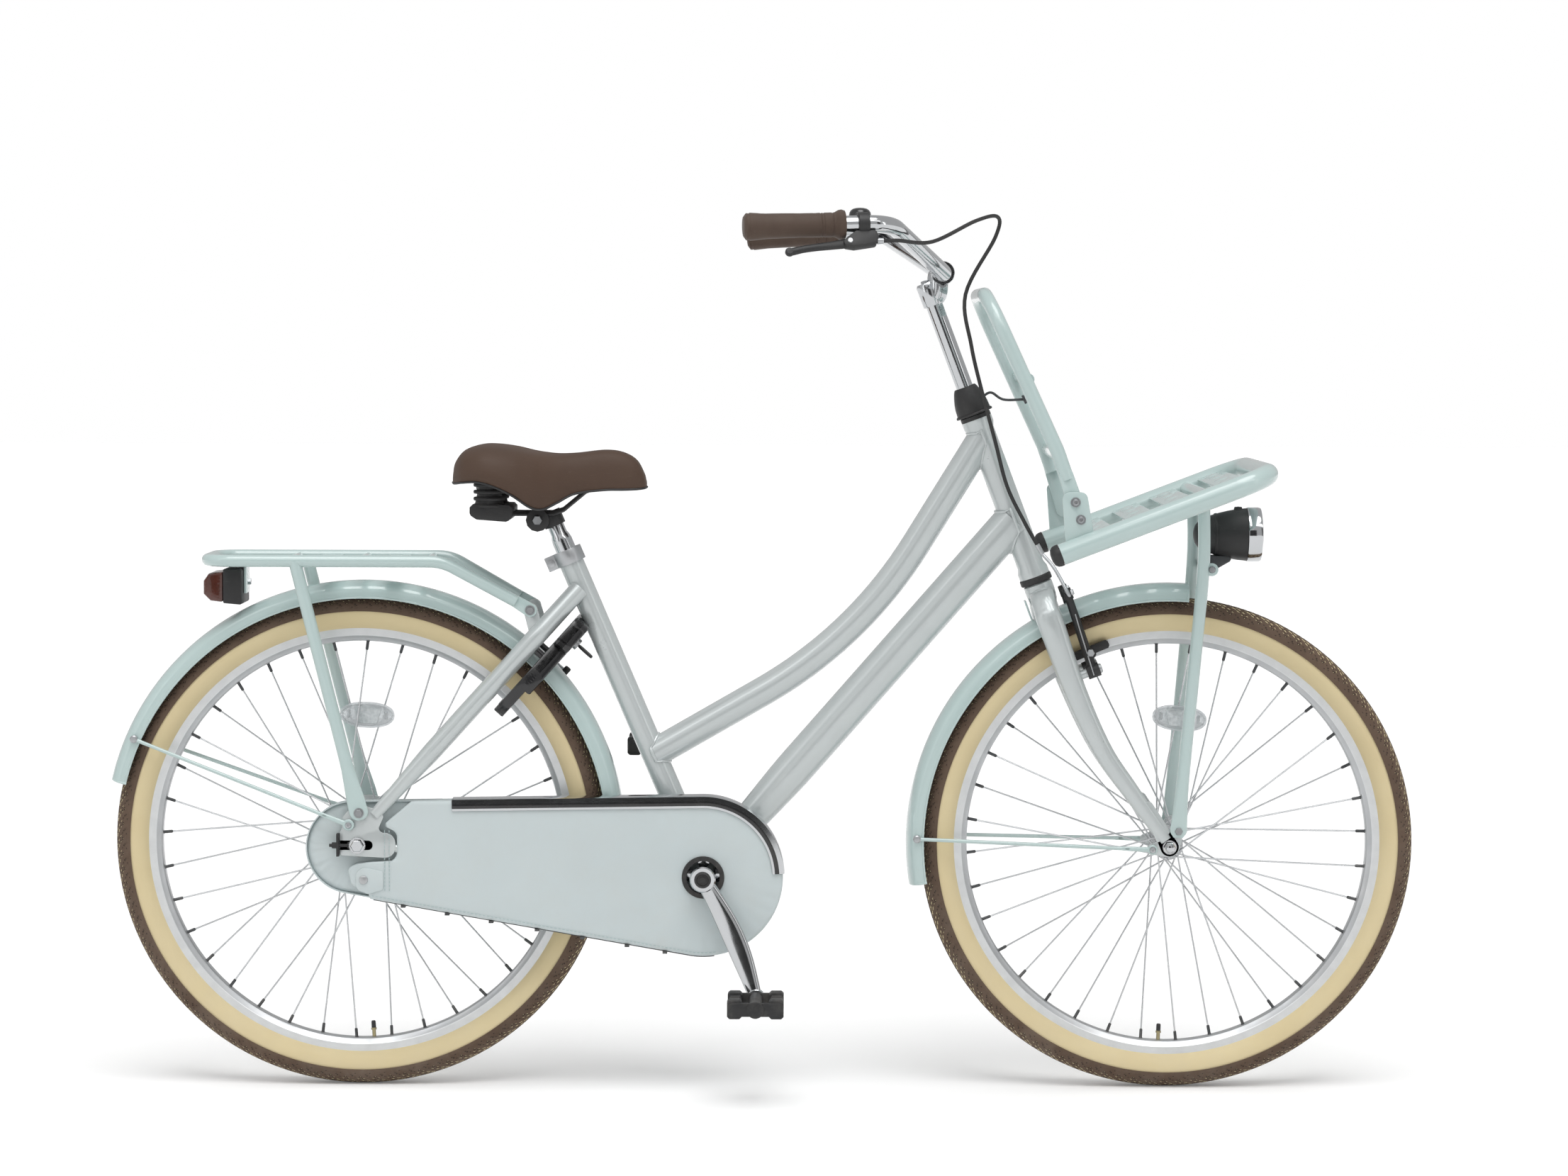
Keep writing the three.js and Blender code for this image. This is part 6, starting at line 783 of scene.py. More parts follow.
def makeFrame():
    f = frameSizes
    seatTube = rod(bracketCentre, onSeatTube(f["seatLength"]), f["seatRadius"], sides=48)
    hr, hl = f["headRing"], layout["headLength"]
    step = f["headRingHeight"]
    headTube = turned([[f["headRadius"] - 3, 0], [hr, 0], [hr, step - 3], [f["headRadius"], step + 4],
        [f["headRadius"], hl - step - 4], [hr, hl - step + 3], [hr, hl], [f["headRadius"] - 3, hl]],
        headBottom, headWay, 48, loop=True)
    topPath = bent([onSeatTube(f["topSeat"]), vec(f["knee"][0], 0, f["knee"][1]),
        headTop - headWay * f["topHead"]], f["kneeRadius"], 1.5)
    topTube = sweep(topPath, [f["topRadius"]] * 2, 40)
    downTop = headTop - headWay * f["downHead"]
    downWay = unit(downTop - bracketCentre)
    reach = np.linalg.norm(downTop - bracketCentre)
    share = np.linspace(0, 1, 40)
    blend = np.clip((share * reach - f["neckFrom"]) / (f["neckTo"] - f["neckFrom"]), 0, 1)
    depth = f["neckDepth"] + (f["downDepth"] - f["neckDepth"]) * (3 * blend**2 - 2 * blend**3)
    downTube = sweep(bracketCentre + downWay * (share * reach)[:, None],
        np.stack([f["downWidth"] * depth / f["downDepth"], depth], -1) / 2, 56)
    shell = turned([[17.4, -f["shellHalf"]], [f["shellRadius"], -f["shellHalf"]],
        [f["shellRadius"], f["shellHalf"]], [17.4, f["shellHalf"]]], bracketCentre, sideWay, 48, loop=True)
    welds = [
        weldBead(topPath[6], topPath[0] - topPath[6], (f["topRadius"],) * 2, bracketCentre, seatWay,
            f["seatRadius"], f["weld"]),
        weldBead(topPath[-6], topPath[-1] - topPath[-6], (f["topRadius"],) * 2, headTop, headWay,
            f["headRadius"], f["weld"]),
        weldBead(bracketCentre + downWay * reach * 0.7, downWay, (f["downWidth"] / 2, f["downDepth"] / 2),
            headTop, headWay, f["headRadius"] + 1, f["weld"]),
        weldBead(onSeatTube(120), -seatWay, (f["seatRadius"],) * 2, bracketCentre, sideWay, f["shellRadius"],
            f["weld"]),
    ]
    stations = np.linspace(0, 1, 49)
    stayPath = np.array([stayPoint(s) for s in stations])
    grow = np.clip(stations / staySizes["taper"], 0, 1)
    thick = staySizes["footRadius"] + (staySizes["radius"] - staySizes["footRadius"]) * grow
    stays = both(sweep(stayPath, np.stack([thick * (0.72 + 0.28 * grow), thick], -1), 28))
    low = flow([[442, 25], [392, 33.8], [345, 35.3], [200, 46.5], [69, 58], [42, 59.2]], 10)
    lowPath = np.stack([low[:, 0], low[:, 1], stayHeight(low[:, 0])], -1)
    lowRadii = np.stack([np.interp(low[:, 0], [42, 69, 345], [5.4, 5.4, 6.4]),
        np.interp(low[:, 0], [42, 80, 200], [5.4, 7.5, 9])], -1)
    chainStays = both(sweep(lowPath, lowRadii, 24))
    bridge = stayPoint(staySizes["bridgeShare"])
    bridges = [rod(bridge * vec(1, 0, 1) - sideWay * staySizes["bendY"],
        bridge * vec(1, 0, 1) + sideWay * staySizes["bendY"], staySizes["bridgeRadius"])]
    cx = staySizes["chainBridgeX"]
    bridges.append(rod(vec(cx, -35, stayHeight(cx)), vec(cx, 35, stayHeight(cx)), 6))
    # Dropout: a stamped plate with an open slot towards the rear and two ears for the rack and the stay
    slot = 5.3
    az = layout["axleZ"]
    ends = rounded([[-23.5, az + slot], [19, az + slot], [19, az - slot], [-23.5, az - slot], [-23.5, 313],
        [50, 309], [50, 343], [25, 343], [35.5, 366], [22, 375], [6.9, 378.7], [-6.6, 378.7], [-20.2, 362.8],
        [-20.2, 349.3], [-23.5, 343]], [0.5, 5, 5, 0.5, 4, 14, 14, 6, 5, 4, 5, 5, 6, 4, 3])
    dropouts = both(plate(ends, 60, 65, 1.0))
    foot = stayPoint(0.8)
    tabs = both(plate(belt((foot[0], foot[2]), 10, (226, 636), 9, 16), 39, 43.8))
    stand = [plate([[372, 272], [420, 272], [420, 290], [372, 290]], -24, 24, 1.2),
        plate([[387, 256], [405, 256], [405, 273], [387, 273]], -14, 8),
        turned([[3, -14], [9, -14], [9, 8], [3, 8]], vec(396, 0, 258), sideWay, 32, loop=True)]
    made = piece("paintedFrame", [seatTube, headTube, topTube, downTube, shell] + stays + chainStays
        + dropouts + tabs + bridges + stand, "frame", "pearlPaint", ["frame"])
    piece("frameWelds", welds, "frame", "pearlPaint")
    return made


makeFrame()
print("frame made")

# fork, headset and ends

forkSizes = {
    "stations": [[24, 0, 4, 31, 20], [30, -1, 24, 33, 23], [45, -2.4, 39, 34, 23], [68, -3.3, 45.4, 35, 23],
        [160, -4.3, 46, 30, 20], [244, 2.4, 46.6, 26, 18], [308, 18.5, 48.4, 23, 16], [384, 39, 52.6, 17, 9]],
    "crownRadius": 19.5, "crownFrom": 9.8, "crownTo": 40.0, "endFrom": 50.2, "endTo": 55.2, "steerer": 12.7,
    "bossBelow": 140.8, "bossY": 42.0,
}


def makeFork():
    f = forkSizes
    rows = flow(f["stations"], 10)
    path = headBottom - headWay * rows[:, :1] + headForward * rows[:, 1:2] + sideWay * rows[:, 2:3]
    blades = both(sweep(path, rows[:, 3:] / 2, 36, headForward, 0.9))
    crown = turned([[0, f["crownFrom"]], [f["crownRadius"] - 1.5, f["crownFrom"]],
        [f["crownRadius"], f["crownFrom"] + 1.5], [f["crownRadius"], f["crownFrom"] + 12],
        [f["crownRadius"] * 0.92, f["crownTo"] - 4], [f["crownRadius"] * 0.84, f["crownTo"]],
        [0, f["crownTo"]]], headBottom, -headWay, 48)
    steerer = rod(onFork(f["crownTo"] / 2, 0), headTop + headWay * 22, f["steerer"])
    bosses = both(rod(onFork(f["bossBelow"], 4, f["bossY"]), onFork(f["bossBelow"], 34, f["bossY"]), 6))
    # Fork end: the axle plate with an ear behind for the stay, one in
    # front for the rack leg, and a slot below
    axle = frontAxle[[0, 2]]
    top = (frontAxle + headWay * 60 - headForward * 8)[[0, 2]]
    ends = both(plate(belt(axle, 13, (1045.8, 323.6), 7, 16), f["endFrom"], f["endTo"], 0.9),
        plate(belt(axle, 13, (1079.5, 348.4), 8, 16), f["endFrom"], f["endTo"], 0.9),
        plate(belt(axle, 13, top, 7, 16), f["endFrom"], f["endTo"], 0.9))
    piece("paintedFork", blades + [crown, steerer] + bosses + ends, "steering", "pearlPaint", ["fork"])


makeFork()

capSizes = {"profile": [[13.6, 6.6], [24.5, 6.6], [24.9, 8.2], [24.2, 9.6], [22.8, 10.2], [22.6, 13.6],
    [22.2, 20], [21, 26.6], [18.6, 35], [16.4, 41], [14.6, 44.4], [13.6, 45], [11.5, 45]], "braceFrom": 25.0,
    "braceEnd": (876.0, 0.0, 914.0)}


def makeHeadset():
    lower = turned([[13.6, -9], [20.4, -9], [21.5, -8], [21.5, -1.4], [20.6, -0.3], [14.3, -0.3]],
        headBottom, headWay, 48, loop=True)
    piece("lowerCup", [lower], "frame", "blackPlastic", ["headset_lower_cup"])
    upper = turned([[13.6, 0.3], [20.4, 0.3], [20.4, 5.4], [19.6, 6], [13.6, 6]], headTop, headWay, 48,
        loop=True)
    piece("upperCup", [upper], "frame", "blackPlastic", ["headset_upper_cup"])
    bell = turned(capSizes["profile"], headTop, headWay, 56, loop=False)
    start = headTop + headWay * capSizes["braceFrom"] + headForward * 18
    end = vec(*capSizes["braceEnd"])
    wire = flow([start, start + headForward * 12 + vec(0, 0, 1), (start + end) / 2 + vec(0, 0, -2), end], 8)
    eye = unit(end - start)
    brace = [sweep(wire, [1.7, 1.7], 12), turned([[2.5, -1.5], [6, -1.5], [6, 1.5], [2.5, 1.5]], end,
        vec(0.91, 0, 0.42), 28, loop=True)]
    piece("headsetCap", [bell], "steering", "blackPlastic", ["headset_cap"])
    piece("braceWire", brace, "steering", "darkSteel")
    piece("braceScrew", [turned([[0, -2.6], [4.2, -2.6], [4.6, -1.8], [4.6, 1.6], [0, 1.6]], end + eye * 0.5,
        vec(-0.91, 0, -0.42), 24)], "steering", "satinAlloy")


makeHeadset()
print("fork made")

# mudguards

guardSizes = {"radius": 347.0, "half": 29.0, "wall": 1.5, "side": 22.0, "bead": 1.5, "stay": 2.5,
    "rear": {"shift": 4.0, "from": 166.4, "to": -2.0, "azimuth": 155.6, "stayRadius": 328.0,
    "eye": (-11.2, 69.2, 353.8), "eyeRadius": 7.5},
    "front": {"shift": 0.0, "from": 189.3, "to": 85.8, "azimuth": 178.9, "stayRadius": 332.0,
    "eye": (1045.8, 58.9, 323.6), "eyeRadius": 6.5}}


# A mudguard: an arched section (a flattened superellipse with rolled edges) carried round the wheel.
def makeGuard(name, centre, body):
    g, own = guardSizes, guardSizes[name]
    u = np.linspace(0, np.pi, 27)
    across = -np.cos(u) * g["half"]
    rise = g["side"] * (np.sin(u) ** 0.62 - 1)
    outer = np.stack([rise, across], -1)
    inner = np.stack([rise - g["wall"] * np.sin(u) ** 0.4, across * (1 - g["wall"] / g["half"])], -1)[::-1]
    section = np.concatenate([outer, inner])
    angle = np.linspace(own["from"], own["to"], 140)
    way = np.stack([np.cos(np.radians(angle)), 0 * angle, np.sin(np.radians(angle))], -1)
    at = centre + way * (g["radius"] - 1.0) + vec(own["shift"], 0, 0)
    grid = at[:, None] + way[:, None] * section[None, :, :1] + sideWay * section[None, :, 1:]
    rims = [sweep(at - way * g["side"] + sideWay * s * (g["half"] - 0.4), [g["bead"], g["bead"]], 10)
        for s in (-1, 1)]
    lip = [sweep(np.asarray(at[k] + way[k] * outer[:, :1] + sideWay * outer[:, 1:]) - way[k] * 1.5,
        [g["bead"], g["bead"]], 10, across=way[k]) for k in (0, -1)]
    a = np.radians(own["azimuth"])
    start = centre + vec(own["stayRadius"] * np.cos(a), g["half"] + 1.2, own["stayRadius"] * np.sin(a))
    eye = vec(*own["eye"])
    near = eye + unit(start - eye) * own["eyeRadius"] * 0.8
    flat = near + unit(start - eye) * 34
    wire = flow([start, flat + unit(start - flat) * 12, flat, near, eye], 6)
    wideness = np.interp(np.linspace(0, 1, len(wire)), [0, 0.45, 0.75, 1],
        [g["stay"], g["stay"], 3.6, own["eyeRadius"] * 0.8])
    thinness = np.interp(np.linspace(0, 1, len(wire)), [0, 0.45, 0.75, 1], [g["stay"], g["stay"], 2.2, 1.7])
    face = own["eye"][1] - 2
    stay = both(sweep(wire, np.stack([thinness, wideness], -1), 16),
        turned([[0, 0], [own["eyeRadius"], 0], [own["eyeRadius"], 3.2], [own["eyeRadius"] - 0.8, 4], [0, 4]],
        vec(eye[0], face, eye[2]), sideWay, 32))
    clip = both(turned([[0, -1], [5.2, -1], [5.2, 1.4], [3.6, 3], [0, 3.4]], start + sideWay * 1.2, sideWay,
        20))
    parts = [skin(grid)] + rims + lip + stay
    if name == "rear":
        bridge = stayPoint(staySizes["bridgeShare"]) * vec(1, 0, 1)
        out = unit(bridge - centre)
        parts.append(rod(centre + out * 343 + vec(2.6, 0, 0), bridge - out * 6.4, 6))
        parts.append(plate([[349.3, 288], [351.8, 288], [351.8, 320], [349.3, 320]], -10, 10))
    else:
        parts.append(slab([[26, -22.5], [57.5, -22.5], [57.5, -25], [26, -25]], headBottom, -headWay,
            headForward, -9, 9))
    piece(name + "Guard", parts, body, "mintPaint", [name + "_mudguard"])
    screws = both(turned([[0, 0], [4.3, 0], [4.3, 1.2], [3.4, 2.6], [1.6, 3.0], [1.6, 1.6], [0, 1.6]],
        vec(eye[0], face + 4, eye[2]), sideWay, 28))
    piece(name + "GuardScrews", screws + clip, body, "satinAlloy")


makeGuard("rear", rearAxle, "frame")
makeGuard("front", frontAxle, "steering")
print("mudguards made")

# racks

rearRackSizes = {"radius": 8.0, "sideY": 65.0, "height": 700.5, "rearX": -199.0, "rearBend": 34.0,
    "kneeX": 112.0, "kneeBend": 60.0, "start": (207.0, 46.6, 647.6), "bars": [-89.0, 3.0, 91.0],
    "slats": [-43.0, 47.0], "legTop": (-81.0, 65.0, 700.5), "legFoot": (2.4, 67.8, 369.7)}


def makeRearRack():
    r = rearRackSizes
    h = r["height"]
    def side(s):
        return [vec(r["start"][0], s * r["start"][1], r["start"][2]), vec(r["kneeX"], s * r["sideY"], h),
            vec(r["rearX"], s * r["sideY"], h)]

    loop = sweep(bent(side(-1) + side(1)[::-1], [r["kneeBend"], r["rearBend"], r["rearBend"], r["kneeBend"]],
        5), [r["radius"]] * 2, 28, (0, 0, 1))
    bars = [rod(vec(x, -r["sideY"], h), vec(x, r["sideY"], h), 5) for x in r["bars"]]
    slats = [plate([[x - 14, h], [x + 14, h], [x + 14, h + 2.5], [x - 14, h + 2.5]], -64, 64, 0.8)
        for x in r["slats"]]
    foot, top = vec(*r["legFoot"]), vec(*r["legTop"])
    down = unit(foot - top)
    legs = both(sweep([top, foot - down * 78, foot - down * 60, foot - down * 38, foot - down * 16, foot,
        foot + down * 6, foot + down * 9.6], [[8.3, 8.3], [8.3, 8.3], [8, 8.6], [5.4, 10.4], [2.5, 12.2],
        [2.4, 12.5], [2.4, 10.5], [2.2, 5]], 28))
    tabs = both(plate(belt((226, 636), 9, (207, 647.6), 8, 16), 44.3, 48.9, 1.0))
    light = [plate([[-177, 693], [-151, 693], [-151, 696], [-177, 696]], -60, 60),
        plate([[-154, 655], [-151, 655], [-151, 696], [-154, 696]], -18, 18)]
    piece("rearRackTubes", [loop] + bars + slats + legs + tabs + light, "frame", "mintPaint", ["rear_rack"])
    # Hex bolts on the feet and the tabs, over plain washers
    bolts = []
    for x, y, z in ((2.4, 70.2, 369.7), (226, 48.9, 636)):
        hexagon = turned([[0, 0.8], [5.2, 0.8], [5.2, 3.4], [4.6, 4.2], [0, 4.2]], vec(x, y, z), sideWay, 6)
        washer = turned([[0, 0], [6.6, 0], [6.6, 1.1], [0, 1.1]], vec(x, y, z), sideWay, 32)
        bolts += both(hexagon, washer)
    piece("rearRackBolts", bolts, "frame", "steel", sharp=28)


makeRearRack()

frontRackSizes = {"radius": 14.0, "sideY": 163.0, "rearX": 913.0, "rearZ": 716.8, "frontX": 1184.0,
    "frontZ": 820.8, "bend": 46.0, "crossX": 1107.0, "crossRadius": 9.0,
    "slats": [972.0, 1024.0, 1074.0, 1140.0], "slatHalf": 18.0}
rackSlope = np.arctan2(frontRackSizes["frontZ"] - frontRackSizes["rearZ"],
    frontRackSizes["frontX"] - frontRackSizes["rearX"])
rackAlong = vec(np.cos(rackSlope), 0, np.sin(rackSlope))
rackUp = vec(-np.sin(rackSlope), 0, np.cos(rackSlope))


def rackHeight(x):
    return frontRackSizes["rearZ"] + (x - frontRackSizes["rearX"]) * np.tan(rackSlope)


def makeFrontRack():
    r = frontRackSizes
    start = r["rearX"] + 2.6
    def corner(x, s):
        return vec(x, s * r["sideY"], rackHeight(x))

    loop = sweep(bent([corner(start, -1), corner(r["frontX"], -1), corner(r["frontX"], 1), corner(start, 1)],
        r["bend"], 5), [r["radius"]] * 2, 36, rackUp)
    cross = rod(vec(r["crossX"], -r["sideY"], rackHeight(r["crossX"])),
        vec(r["crossX"], r["sideY"], rackHeight(r["crossX"])), r["crossRadius"])
    slats, bumps = [], []
    for x in r["slats"]:
        centre = vec(x, 0, rackHeight(x)) + rackUp * 3.5
        slats.append(slab(rounded([[-r["slatHalf"], -160], [r["slatHalf"], -160], [r["slatHalf"], 160],
            [-r["slatHalf"], 160]], 3), centre, rackAlong, sideWay, 0, 3, 1.0))
        # Pressed oval stiffeners along each slat
        dome = turned([[0, 5.0], [6, 4.4], [10, 3.2], [11, 2.2], [0, 2.0]], (0, 0, 0), (0, 0, 1), 24)
        places = centre + sideWay * np.linspace(-120, 120, 5)[:, None]
        bumps.append(scattered(dome, places, rackAlong, sideWay * 1.8, rackUp))
    legs = both(sweep(flow([[1107, 72, rackHeight(1107)], [1108, 71, 702.4], [1098, 68.8, 575],
        [1084.6, 66, 422.6], [1080.4, 60.6, 362], [1079.5, 59.6, 348.4], [1079, 59.4, 340]], 8),
        flow([[8.2, 8.2], [8.2, 8.2], [8.2, 8.2], [8.2, 8.2], [3.4, 10.4], [2.3, 11], [2.3, 6.5]], 8), 28))
    lugs = both(plate(belt((1108, 694), 6.8, (1118.6, 694), 8.5, 16), 68, 74, 1.0))
    brackets = both(plate(rounded([[922, rackHeight(922)], [959, rackHeight(959)], [948, 798], [916, 798]],
        [1, 1, 9, 9]), 157.6, 161.6, 0.9))
    piece("frontRackTubes", [loop, cross] + slats + bumps + legs + lugs + brackets, "steering", "mintPaint",
        ["front_rack"])
    bolts = both(turned([[0, 0], [5.2, 0], [5.2, 2.6], [4.6, 3.4], [0, 3.4]], vec(1079.5, 61.9, 348.4),
        sideWay, 6))
    piece("frontRackBolts", bolts, "steering", "steel", sharp=28)
    for side, name in ((1, "left"), (-1, "right")):
        at = vec(r["rearX"], side * r["sideY"], rackHeight(r["rearX"])) + rackAlong * 2.3
        piece("rackPlug_" + name, [turned([[0, 0], [14.4, 0], [14.4, 4], [13.4, 8], [10.4, 11.4], [5, 13],
            [0, 13.2]], at, -rackAlong, 40)], "steering", "blackPlastic", ["rack_cap_" + name])


makeFrontRack()

uprightSizes = {"radius": 9.3, "legY": 150.0, "footTop": (933.5, 785.0), "footLow": (940.4, 762.7),
    "knee": (911.0, 849.0), "head": (818.0, 1051.0), "bend": 58.0, "rungs": [(874.0, 942.8), (914.5, 843.0)],
    "tubeShare": 0.45}


def makeUpright():
    u = uprightSizes
    def at(q, y):
        return vec(q[0], y, q[1])

    low = np.array(u["footTop"]) + (np.array(u["knee"]) - np.array(u["footTop"])) * u["tubeShare"]
    half = [at(low, u["legY"]), at(u["knee"], u["legY"]), at(u["head"], u["legY"])]
    other = [p * vec(1, -1, 1) for p in half][::-1]
    hoop = sweep(bent(half + other, u["bend"], 4), [u["radius"]] * 2, 32, (1, 0, 0.4))
    along = unit(at(u["head"], 0) - at(u["knee"], 0))
    out = vec(along[2], 0, -along[0])
    rungs = []
    for q in u["rungs"]:
        path = at(q, 0) + sideWay * np.array([-150, -128, -112, 0, 112, 128, 150])[:, None]
        rungs.append(sweep(path, [[6, 7], [5, 9], [4.5, 11], [4.5, 11], [4.5, 11], [5, 9], [6, 7]], 28, out))
    foot = np.array(u["footTop"]) + (np.array(u["knee"]) - np.array(u["footTop"])) * u["tubeShare"] * 1.2
    feet = both(plate(belt(foot, u["radius"], u["footLow"], 11.2, 16), 152.0, 157.2, 1.2))
    piece("uprightHoop", [hoop] + rungs + feet, "steering", "mintPaint", ["rack_upright"])
    bolts = []
    for q in (u["footTop"], u["footLow"]):
        place = vec(q[0], 161.6, q[1])
        bolts += both(turned([[0, 1.0], [5.0, 1.0], [5.0, 2.2], [4.2, 4.2], [2.2, 4.8], [2.0, 3.0],
            [0, 3.0]], place, sideWay, 28), turned([[0, 0], [6.4, 0], [6.4, 1.0], [0, 1.0]], place, sideWay,
            28))
    piece("uprightBolts", bolts, "steering", "steel")


makeUpright()
print("racks made")

# handlebar, stem, grips, lever, bell


def makeHandlebar():
    half = [barEnd, barBend, vec(*barSizes["clamp"])]
    other = [p * vec(1, -1, 1) for p in half][::-1]
    path = bent(half + other, [barSizes["gripBend"], barSizes["clampBend"], barSizes["clampBend"],
        barSizes["gripBend"]], 4)
    piece("barTube", [sweep(path, [barSizes["radius"]] * 2, 40, (0, 0, 1))], "steering", "chrome",
        ["handlebar"])
    def onAxis(height):
        return headTop + headWay * height

    def clampAt(y):
        return vec(767, y, 1080)

    quill = rod(onAxis(-60), onAxis(163), 11.1, sides=40)
    head = turned([[0, 160], [13.6, 160], [14.4, 161.4], [14.4, 188], [12.6, 191.4], [0, 192]], headTop,
        headWay, 40)
    clampRing = turned([[11.3, -17], [15, -17], [15.6, -16], [15.6, 16], [15, 17], [11.3, 17]], clampAt(0),
        sideWay, 48, loop=True)
    neckPath = flow([onAxis(168), onAxis(174) + headForward * 9,
        clampAt(0) - headForward * 6 + vec(0, 0, -3), clampAt(0)], 8)
    share = np.linspace(0, 1, len(neckPath))
    neck = sweep(neckPath, np.stack([13.4 + 2.6 * share, 13 + 1.5 * share], -1), 32, sideWay)
    lugShape = rounded([[761, 1062], [773, 1062], [775, 1074], [759, 1074]], 2)
    lugs = [plate(lugShape, -11.3, -1.2, 1), plate(lugShape, 1.2, 11.3, 1)]
    bolt = rod(vec(767, -14, 1066), vec(767, 14, 1066), 3.2)
    heads = both(turned([[0, 0], [5.4, 0], [5.4, 4], [4.6, 5], [2.6, 5], [2.4, 2.4], [0, 2.4]],
        vec(767, 11.4, 1066), sideWay, 32))
    top = turned([[0, 191], [6.6, 191], [6.6, 194], [5.8, 195], [3.2, 195], [3.0, 192.6], [0, 192.6]],
        headTop, headWay, 32)
    piece("forgedStem", [quill, head, clampRing, neck, *lugs], "steering", "chrome", ["stem"])
    piece("stemBolts", [bolt, top] + heads, "steering", "steel")


# A grip: turned rings with a flared collar, an oval palm pad swelling on its top and moulded seam lines.
def makeGrip(name, side):
    rows, cols = 150, 56
    t = np.linspace(0, 1, rows)[:, None]
    angle = np.linspace(0, 2 * np.pi, cols, endpoint=False)[None, :]
    length, reach = 128.0, np.linalg.norm(barEnd - barBend) - 128 + 4.3
    base = np.interp(t, [0, 0.03, 0.06, 0.1, 0.45, 0.78, 0.93, 0.975, 1.0],
        [17.6, 19, 18.4, 15.6, 14.9, 15.8, 17.4, 16.8, 12.5])
    for at in (0.12, 0.21, 0.235, 0.95):
        base = base - 0.8 * np.exp(-((t - at) / 0.006) ** 2)
    pad = ((t - 0.56) / 0.34) ** 2 + ((angle - np.pi) / 0.95) ** 2
    radius = base + 0.9 * np.exp(-pad * 1.6) - 0.7 * np.exp(-((np.sqrt(pad) - 0.95) / 0.05) ** 2)
    out, across = gripOut, gripAcross
    grid = (onBar(reach) + barWay * (t * length)[..., None] + out * (radius * np.cos(angle))[..., None]
        + across * (radius * np.sin(angle))[..., None])
    hollow = (onBar(reach) + barWay * np.array([0, 0.5])[:, None, None] * length + out
        * (11.4 * np.cos(angle))[..., None] + across * (11.4 * np.sin(angle))[..., None])
    made = skin(np.concatenate([hollow[::-1], grid]))
    piece(name, [made if side > 0 else mirrored(made)], "steering", "gripRubber",
        ["grip_left" if side > 0 else "grip_right"], sharp=50)


def makeLever():
    def leverSlab(outline, half, edge=1.2):
        return slab(outline, barBend, barWay, gripOut, -half, half, edge)

    clampRing = sweep([onBar(28), onBar(29), onBar(41), onBar(42)],
        [[14.2, 14.2], [15, 15], [15, 15], [14.2, 14.2]], 40)
    body = leverSlab(rounded([[20, 12], [18, 22], [22, 31], [50, 35], [62, 32.5], [64, 27], [58, 21],
        [46, 12]], 4), 6.5, 1.6)
    piece("leverBracket", [mirrored(clampRing), mirrored(body)], "steering", "blackPlastic",
        ["brake_lever_bracket"])
    # Blade: flat at the pivot, narrow in the middle, ending in a bent ball
    path = flow([onBar(52, 26), onBar(62, 28), onBar(80, 30.4), onBar(96, 32), onBar(114, 34.4),
        onBar(126, 37), onBar(133, 38.2)], 10)
    radii = flow([[6.2, 3.2], [6.6, 3.2], [5.6, 3.6], [5, 4], [4.8, 4], [5, 4.2], [5.2, 4.6]], 10)
    blade = sweep(path, radii, 28, gripOut)
    ball = turned([[0, -4.6], [4.2, -4], [5.6, -1.6], [5.6, 1.6], [4.2, 4], [0, 4.6]], onBar(132, 38),
        gripAcross, 28)
    piece("leverBlade", [mirrored(blade), mirrored(ball)], "brake_lever", "blackPlastic", ["brake_lever"])
    screw = [turned([[0, 6.4], [3.6, 6.4], [3.6, 7.4], [2.8, 8.2], [0, 8.2]], onBar(55, 27), s * gripAcross,
        24) for s in (1, -1)]
    ferrule = rod(onBar(19.6, 25), onBar(12, 25), 4.2, 3.6)
    piece("leverScrews", [mirrored(p) for p in screw + [ferrule]], "steering", "satinAlloy")


def makeBell():
    up = vec(0, 0, 1)
    at = onBar(30)
    base = sweep([onBar(24), onBar(25), onBar(35), onBar(36)],
        [[13.8, 13.8], [14.6, 14.6], [14.6, 14.6], [13.8, 13.8]], 36)
    neck = turned([[0, 11], [8, 11], [9.4, 14], [13.6, 16], [14, 17.4], [0, 17.4]], at, up, 40)
    dome = turned([[0, 36.6], [5, 36.3], [9.6, 35.2], [12.8, 33], [14.6, 30], [15.4, 26], [15.6, 21.6],
        [14.4, 21.6], [14.2, 26], [12, 31.8], [0, 34.6]], at, up, 56)
    rim = turned([[15.2, 21.6], [16, 22], [16, 23.2], [15.4, 23.8]], at, up, 56, loop=True)
    piece("bellDome", [base, neck, dome, rim, rod(at + up * 16, at + up * 34, 3)], "steering", "blackGloss",
        ["bell_base"])


makeHandlebar()
makeGrip("gripLeft", 1)
makeGrip("gripRight", -1)
makeLever()
makeBell()
print("bar made")


# saddle

saddleSizes = {
    "stations": [[124.5, 44, 818, 803, 806], [128, 62, 832, 802, 807], [140, 86, 846, 804, 809],
        [160, 101, 852.5, 805, 810], [180, 105, 853, 800, 809], [205, 101, 850, 788, 806],
        [228, 88, 845, 772, 803], [244, 74, 842.5, 769, 801], [262, 59, 841, 777, 800],
        [285, 45, 842, 788.5, 799], [322, 34, 846, 793, 798.5], [346, 31, 843, 793.5, 798],
        [364, 27, 833, 794, 798], [374, 20, 816, 795, 798], [377.5, 11, 804, 796, 798.5]],
    "crown": [[0.93, 0.0], [0.985, 0.12], [1.0, 0.36], [0.93, 0.68], [0.74, 0.9], [0.42, 0.985], [0.0, 1.0]],
    "groove": 1.6,
}


